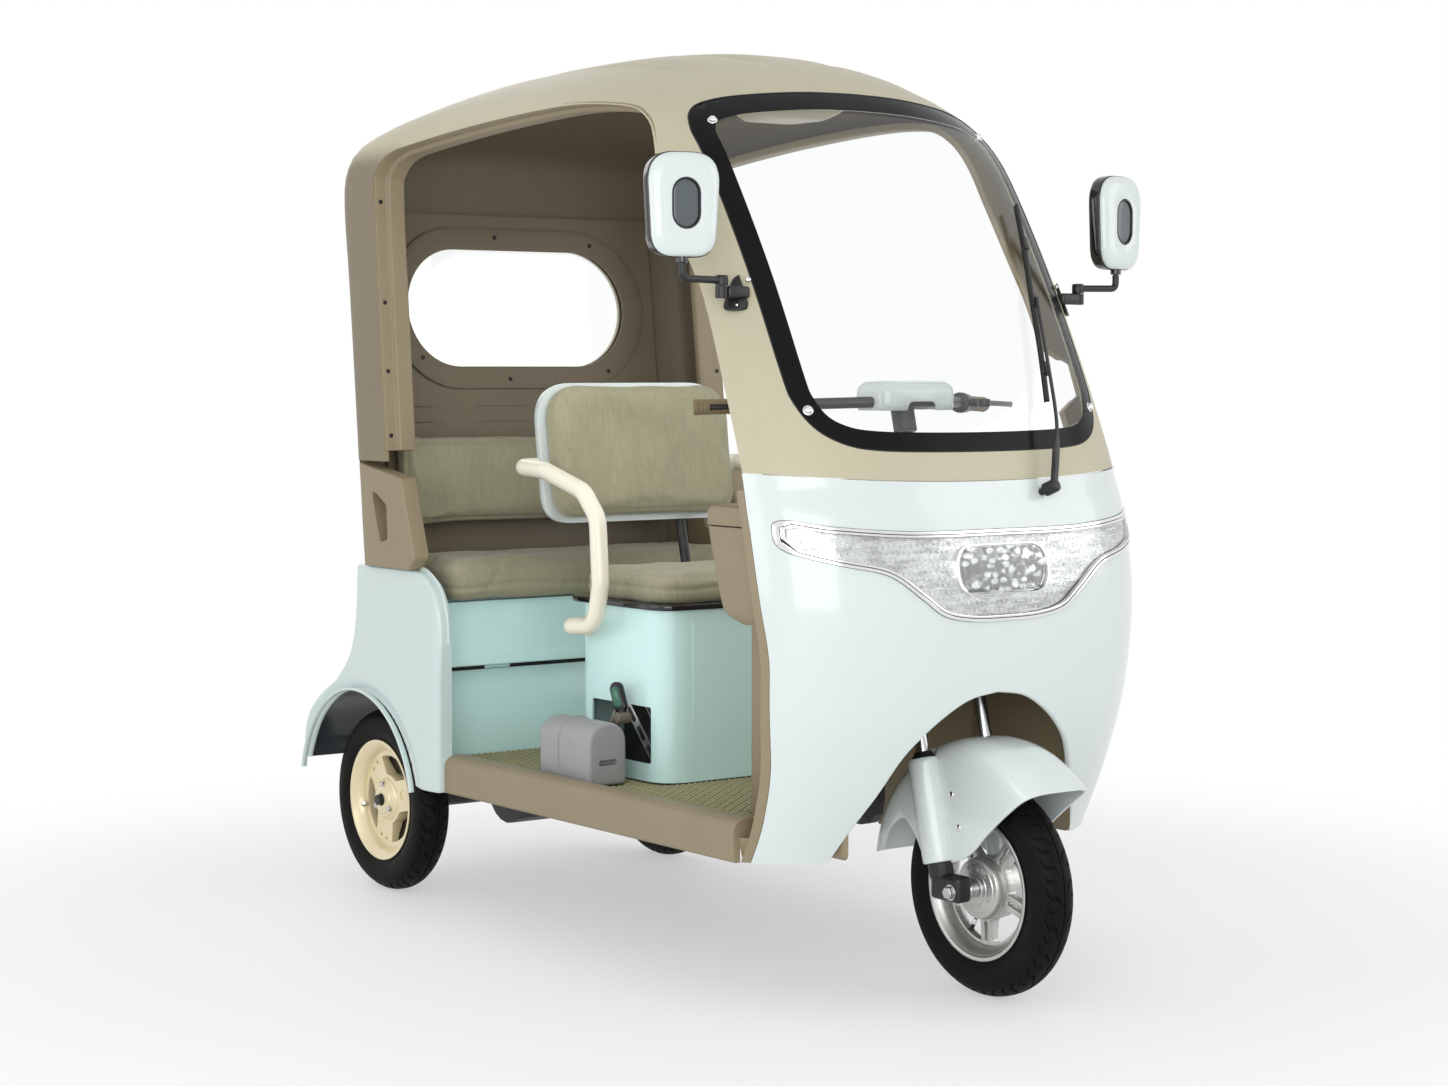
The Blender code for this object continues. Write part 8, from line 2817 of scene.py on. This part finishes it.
WIPER_SIDE = 0.130
WIPER_HEIGHT = 0.967
WIPER_REACH = 0.42                          # pivot to the middle of the blade
WIPER_LEAN = math.radians(23)
WIPER_TURN = math.radians(19)
GLASS_LEAN = math.radians(26.5)
BLADE_HALF = 0.235


def wiper_axes():
    """The pivot's axis, out of the glass, and the arm's direction."""
    axis = Vector((math.sin(WIPER_TURN), -math.cos(WIPER_TURN) * math.cos(GLASS_LEAN),
                   math.cos(WIPER_TURN) * math.sin(GLASS_LEAN))).normalized()
    across = Vector((math.cos(WIPER_TURN), math.sin(WIPER_TURN), 0))
    up = -across.cross(axis)
    return axis, (across * math.sin(WIPER_LEAN) + up * math.cos(WIPER_LEAN)).normalized()


def wiper():
    """The arm, hinged under the glass, and the blade in its holder."""
    axis, along = wiper_axes()
    side = axis.cross(along).normalized()
    pivot = Vector((WIPER_SIDE, skin_front(WIPER_SIDE, WIPER_HEIGHT), WIPER_HEIGHT))
    root = pivot + axis * 0.030
    tip = pivot + along * WIPER_REACH + axis * 0.067
    cap = spun("wiper_arm_and_cap",
               [(0.0068, -0.030), (0.0068, 0.0085), (0.0125, 0.0090), (0.0135, 0.0120), (0.0132, 0.0340),
                                     (0.0115, 0.0385), (0.0070, 0.0405), (0.001, 0.0410)], pivot, axis, 40)
    route = flowing([root, root + along * 0.070 + axis * 0.018, root + along * 0.140 + axis * 0.032,
                     root + along * 0.280 + axis * 0.036, tip], 8)

    def arm_section(t):
        share_wide = held((t - 0.30) / 0.10)
        wide, thick = 0.0078 - 0.0036 * share_wide, 0.0050 - 0.0026 * share_wide
        return rounded_outline(oblong(-wide, -thick, wide, thick), thick * 0.7, 3)
    join(cap, swept("join_arm", route, arm_section, up=axis))
    put(paint(cap, black_steel), "wiper", "black_steel", "wiper_arm", degrees=40)
    low_end, high_end = tip - along * BLADE_HALF - axis * 0.020, tip + along * BLADE_HALF - axis * 0.009
    centre = tip - axis * 0.0120
    points = [low_end, low_end.lerp(centre, 0.5) + axis * 0.002, centre,
              centre.lerp(high_end, 0.5) + axis * 0.002, high_end]
    route = flowing(points, 6)
    spine = swept("wiper_blade_spine", [Vector(p) + axis * 0.0038 for p in route],
                  rounded_outline([(-0.0055, -0.0022), (0.0055, -0.0022), (0.0030, 0.0026),
                                   (-0.0030, 0.0026)], 0.0012, 3), up=axis)
    put(paint(spine, black_plastic), "wiper", "black_rubber", degrees=40)
    lip = [(-0.0026, 0.0012), (-0.0026, -0.0004), (-0.0009, -0.0014), (-0.0007, -0.0052), (0.0007, -0.0052),
           (0.0009, -0.0014), (0.0026, -0.0004), (0.0026, 0.0012)]
    rubber = swept("wiper_blade_rubber", route, lip, up=axis)
    put(paint(rubber, black_rubber), "wiper", "black_rubber", "wiper_blade", degrees=40)
    bridges = []
    for share_along in (0.18, 0.5, 0.82):
        spot = Vector(route[int(share_along * (len(route) - 1))]) + axis * 0.0052
        form = block("blade_bridge", (-0.0075, -0.016, -0.0038), (0.0075, 0.016, 0.0038), 0.0015, 2)
        turn = Matrix((side, along, axis)).transposed().to_4x4()
        form.data.transform(Matrix.Translation(spot) @ turn)
        bridges.append(form)
    bridges.append(rod("blade_pin", tip - axis * 0.012, tip + axis * 0.003, 0.0042, sides=20))
    put(paint(together("wiper_blade_bridges", bridges), black_plastic), "wiper", "black_rubber", degrees=35)


# Pieces of the frame that are shown as they are

def dress_frame():
    """Gives every node of the frame the finish of its own slot."""
    for row in frame["record"]["subparts"]:
        finish = SLOT_FINISHES[row["material_slot"]]
        paint(frame["nodes"][row["node"]], finish)
    for node in ("rear_window_pane", "windshield"):
        paint(frame["nodes"][node], clear_pane)


# Floor, lamps and camera

FLOOR_HALF = 14.0
WHITE_FROM = (1.2, 2.6)                 # where the floor starts to turn white and where it is white


def pale_floor():
    """A pale floor that the camera, gloss and glass see turn white away from the tricycle."""
    finish = Finish("pale_floor")
    spot = finish.spot()
    cloud = finish.noise(spot, 1.2, 3.0)
    finish.coloured(cloud, (0.86, 0.86, 0.86), (0.89, 0.89, 0.89))
    finish.fix(roughness=0.6, specular_ior_level=0.2)
    away = finish.node("ShaderNodeVectorMath", {"operation": "LENGTH"}, {0: spot}, "Value")
    lift = stage_setup().lift
    factor = finish.seen() * (lift + (1 - lift) * away.ramp(*WHITE_FROM))
    white = finish.node("ShaderNodeEmission", None, {"Strength": 1.0})
    finish.blend(factor, finish.gloss, white, "Material Output")
    return finish.material


def floor():
    """A level sheet on which the tricycle stands."""
    bm = bmesh.new()
    corners = oblong(-FLOOR_HALF, -FLOOR_HALF, FLOOR_HALF, FLOOR_HALF)
    bm.faces.new([bm.verts.new((x, y, 0.0)) for x, y in corners])
    sheet = from_bmesh("studio_floor", bm)
    sheet.data.materials.append(pale_floor())


def lamp(name, place, aim, size, power):
    light = bpy.data.lights.new(name, "AREA")
    light.shape = "RECTANGLE"
    light.size, light.size_y = size
    light.energy = power
    obj = bpy.data.objects.new(name, light)
    obj.location = place
    obj.rotation_euler = (Vector(aim) - Vector(place)).to_track_quat("-Z", "Y").to_euler()
    obj.visible_camera = False
    bpy.context.scene.collection.objects.link(obj)
    return obj


def lamps():
    key = stage_setup().key
    lamp("key_lamp", (-3.4, -4.4, 1.9), (0, 0, 0.9), (4.4, 2.6), key)
    lamp("fill_lamp", (3.8, -3.6, 2.4), (0, 0, 0.9), (3.0, 2.6), key * 0.35)
    lamp("side_lamp", (-4.6, 0.9, 1.5), (0, 0.2, 0.7), (3.0, 1.6), key * 0.25)
    lamp("back_lamp", (0.5, 4.6, 3.0), (0, 0, 0.9), (3.4, 2.0), key * 0.15)
    within_cab = lamp("cab_lamp", (-0.1, -0.15, 1.60), (0, 0.22, 0.5), (0.7, 0.6), key * 0.034)
    within_cab.visible_glossy = False


def surroundings():
    """Plain grey light from all round, which the camera, gloss and glass see as white."""
    world = bpy.data.worlds.new("studio_surroundings")
    world.use_nodes = True
    nodes = Nodes(world.node_tree)
    plain = nodes.tree.nodes["Background"]
    plain.inputs["Color"].default_value = (1, 1, 1, 1)
    plain.inputs["Strength"].default_value = stage_setup().sky
    white = nodes.node("ShaderNodeBackground", None, {"Color": (1, 1, 1, 1), "Strength": 1.0})
    nodes.blend(nodes.seen(), Value(nodes, plain.outputs[0]), white, "World Output")
    bpy.context.scene.world = world


def camera():
    stage = stage_setup()
    view = bpy.data.cameras.new("main_view")
    view.lens = stage.lens
    view.sensor_width = 36.0
    view.clip_end = 60.0
    obj = bpy.data.objects.new("main_view", view)
    obj.location = stage.eye
    obj.rotation_euler = (math.radians(90) - stage.pitch, 0.0, -stage.heading)
    bpy.context.scene.collection.objects.link(obj)
    bpy.context.scene.camera = obj


def studio():
    camera()
    floor()
    lamps()
    surroundings()
    bpy.context.scene.view_settings.view_transform = "Standard"


# Operators, panel and registration

class TRICYCLE_OT_stage(Operator):
    """Sets up the floor, lamps and camera"""
    bl_idname = "tricycle.stage"
    bl_label = "Stage"

    def execute(self, context):
        studio()
        return {"FINISHED"}


class TRICYCLE_OT_frame(Operator):
    """Gives the frame's own pieces their finishes"""
    bl_idname = "tricycle.frame"
    bl_label = "Frame Finishes"

    def execute(self, context):
        dress_frame()
        return {"FINISHED"}


class TRICYCLE_OT_cab(Operator):
    """Builds the roof, the pillars, the door flanges and the console"""
    bl_idname = "tricycle.cab"
    bl_label = "Cab"

    def execute(self, context):
        cab_shell()
        door_flanges()
        roof_console()
        return {"FINISHED"}


class TRICYCLE_OT_windscreen(Operator):
    """Builds the windscreen with its black band and bolts"""
    bl_idname = "tricycle.windscreen"
    bl_label = "Windscreen"

    def execute(self, context):
        windshield()
        return {"FINISHED"}


class TRICYCLE_OT_wiper(Operator):
    """Builds the wiper's arm and blade"""
    bl_idname = "tricycle.wiper"
    bl_label = "Wiper"

    def execute(self, context):
        wiper()
        return {"FINISHED"}


class TRICYCLE_OT_cowl(Operator):
    """Builds the front cowl with the lip of its wheel arch"""
    bl_idname = "tricycle.cowl"
    bl_label = "Cowl"

    def execute(self, context):
        front_cowl()
        arch_lip()
        return {"FINISHED"}


class TRICYCLE_OT_headlamp(Operator):
    """Builds the headlamp's trim, lens, reflector and projectors"""
    bl_idname = "tricycle.headlamp"
    bl_label = "Headlamp"

    def execute(self, context):
        headlamp_trim()
        headlamp_inside()
        return {"FINISHED"}


class TRICYCLE_OT_lining(Operator):
    """Builds the leg shield, the glove bins, the rear wall and the side guards"""
    bl_idname = "tricycle.lining"
    bl_label = "Lining"

    def execute(self, context):
        leg_shield()
        rear_wall()
        side_guards()
        return {"FINISHED"}


class TRICYCLE_OT_floor_pan(Operator):
    """Builds the sills, the floor and its mat"""
    bl_idname = "tricycle.floor_pan"
    bl_label = "Floor"

    def execute(self, context):
        floor_pan()
        toe_fillers()
        floor_mat()
        return {"FINISHED"}


class TRICYCLE_OT_rear_body(Operator):
    """Builds the rear body, its lamps, and the bench's panel and door"""
    bl_idname = "tricycle.rear_body"
    bl_label = "Rear Body"

    def execute(self, context):
        rear_body()
        tail_lamps()
        bench_box()
        storage_door()
        return {"FINISHED"}


class TRICYCLE_OT_driver_seat(Operator):
    """Builds the seat column, the driver's cushions and the armrests"""
    bl_idname = "tricycle.driver_seat"
    bl_label = "Driver Seat"

    def execute(self, context):
        seat_box()
        seat_cushion()
        backrest()
        armrests()
        return {"FINISHED"}


class TRICYCLE_OT_bench(Operator):
    """Builds the passengers' cushion and the pad behind it"""
    bl_idname = "tricycle.bench"
    bl_label = "Bench"

    def execute(self, context):
        bench_cushion()
        bench_backrest()
        return {"FINISHED"}


class TRICYCLE_OT_parking_brake(Operator):
    """Builds the parking brake's box and lever"""
    bl_idname = "tricycle.parking_brake"
    bl_label = "Parking Brake"

    def execute(self, context):
        parking_brake()
        return {"FINISHED"}


class TRICYCLE_OT_wheels(Operator):
    """Builds the three tyres and their wheels"""
    bl_idname = "tricycle.wheels"
    bl_label = "Wheels"

    def execute(self, context):
        tyres()
        front_wheel()
        rear_wheels()
        return {"FINISHED"}


class TRICYCLE_OT_fork(Operator):
    """Builds the front fork, its axle and the fender"""
    bl_idname = "tricycle.fork"
    bl_label = "Fork"

    def execute(self, context):
        fork_legs()
        front_fender()
        return {"FINISHED"}


class TRICYCLE_OT_controls(Operator):
    """Builds the handlebar, its levers and grips, and the instrument pod"""
    bl_idname = "tricycle.controls"
    bl_label = "Controls"

    def execute(self, context):
        handlebar()
        instrument_pod()
        return {"FINISHED"}


class TRICYCLE_OT_mirrors(Operator):
    """Builds both mirrors on their arms"""
    bl_idname = "tricycle.mirrors"
    bl_label = "Mirrors"

    def execute(self, context):
        mirrors()
        return {"FINISHED"}


PIECES = (
    TRICYCLE_OT_stage, TRICYCLE_OT_frame, TRICYCLE_OT_cab, TRICYCLE_OT_windscreen, TRICYCLE_OT_wiper,
    TRICYCLE_OT_cowl, TRICYCLE_OT_headlamp, TRICYCLE_OT_lining, TRICYCLE_OT_floor_pan, TRICYCLE_OT_rear_body,
    TRICYCLE_OT_driver_seat, TRICYCLE_OT_bench, TRICYCLE_OT_parking_brake, TRICYCLE_OT_wheels,
    TRICYCLE_OT_fork, TRICYCLE_OT_controls, TRICYCLE_OT_mirrors,
)
GROUPS = {
    "tricycle_sizes": TricycleSizes, "tricycle_colours": TricycleColours, "tricycle_soft": TricycleSoft,
    "tricycle_stage": TricycleStage,
}


class TRICYCLE_PT_pieces(Panel):
    """The pieces of the tricycle"""
    bl_label = "Tricycle"
    bl_idname = "TRICYCLE_PT_pieces"
    bl_space_type = "VIEW_3D"
    bl_region_type = "UI"
    bl_category = "Tricycle"

    def draw(self, context):
        for name, group in GROUPS.items():
            settings = getattr(context.scene, name)
            for key in group.__annotations__:
                self.layout.prop(settings, key)
        for piece in PIECES:
            self.layout.operator(piece.bl_idname)


def register():
    for group in GROUPS.values():
        bpy.utils.register_class(group)
    for name, group in GROUPS.items():
        setattr(bpy.types.Scene, name, PointerProperty(type=group))
    for piece in PIECES + (TRICYCLE_PT_pieces,):
        bpy.utils.register_class(piece)


def unregister():
    for piece in PIECES + (TRICYCLE_PT_pieces,):
        bpy.utils.unregister_class(piece)
    for name, group in GROUPS.items():
        delattr(bpy.types.Scene, name)
        bpy.utils.unregister_class(group)


def main():
    register()
    for piece in PIECES:
        getattr(bpy.ops.tricycle, piece.bl_idname.split(".")[1])()


if __name__ == "__main__":
    main()
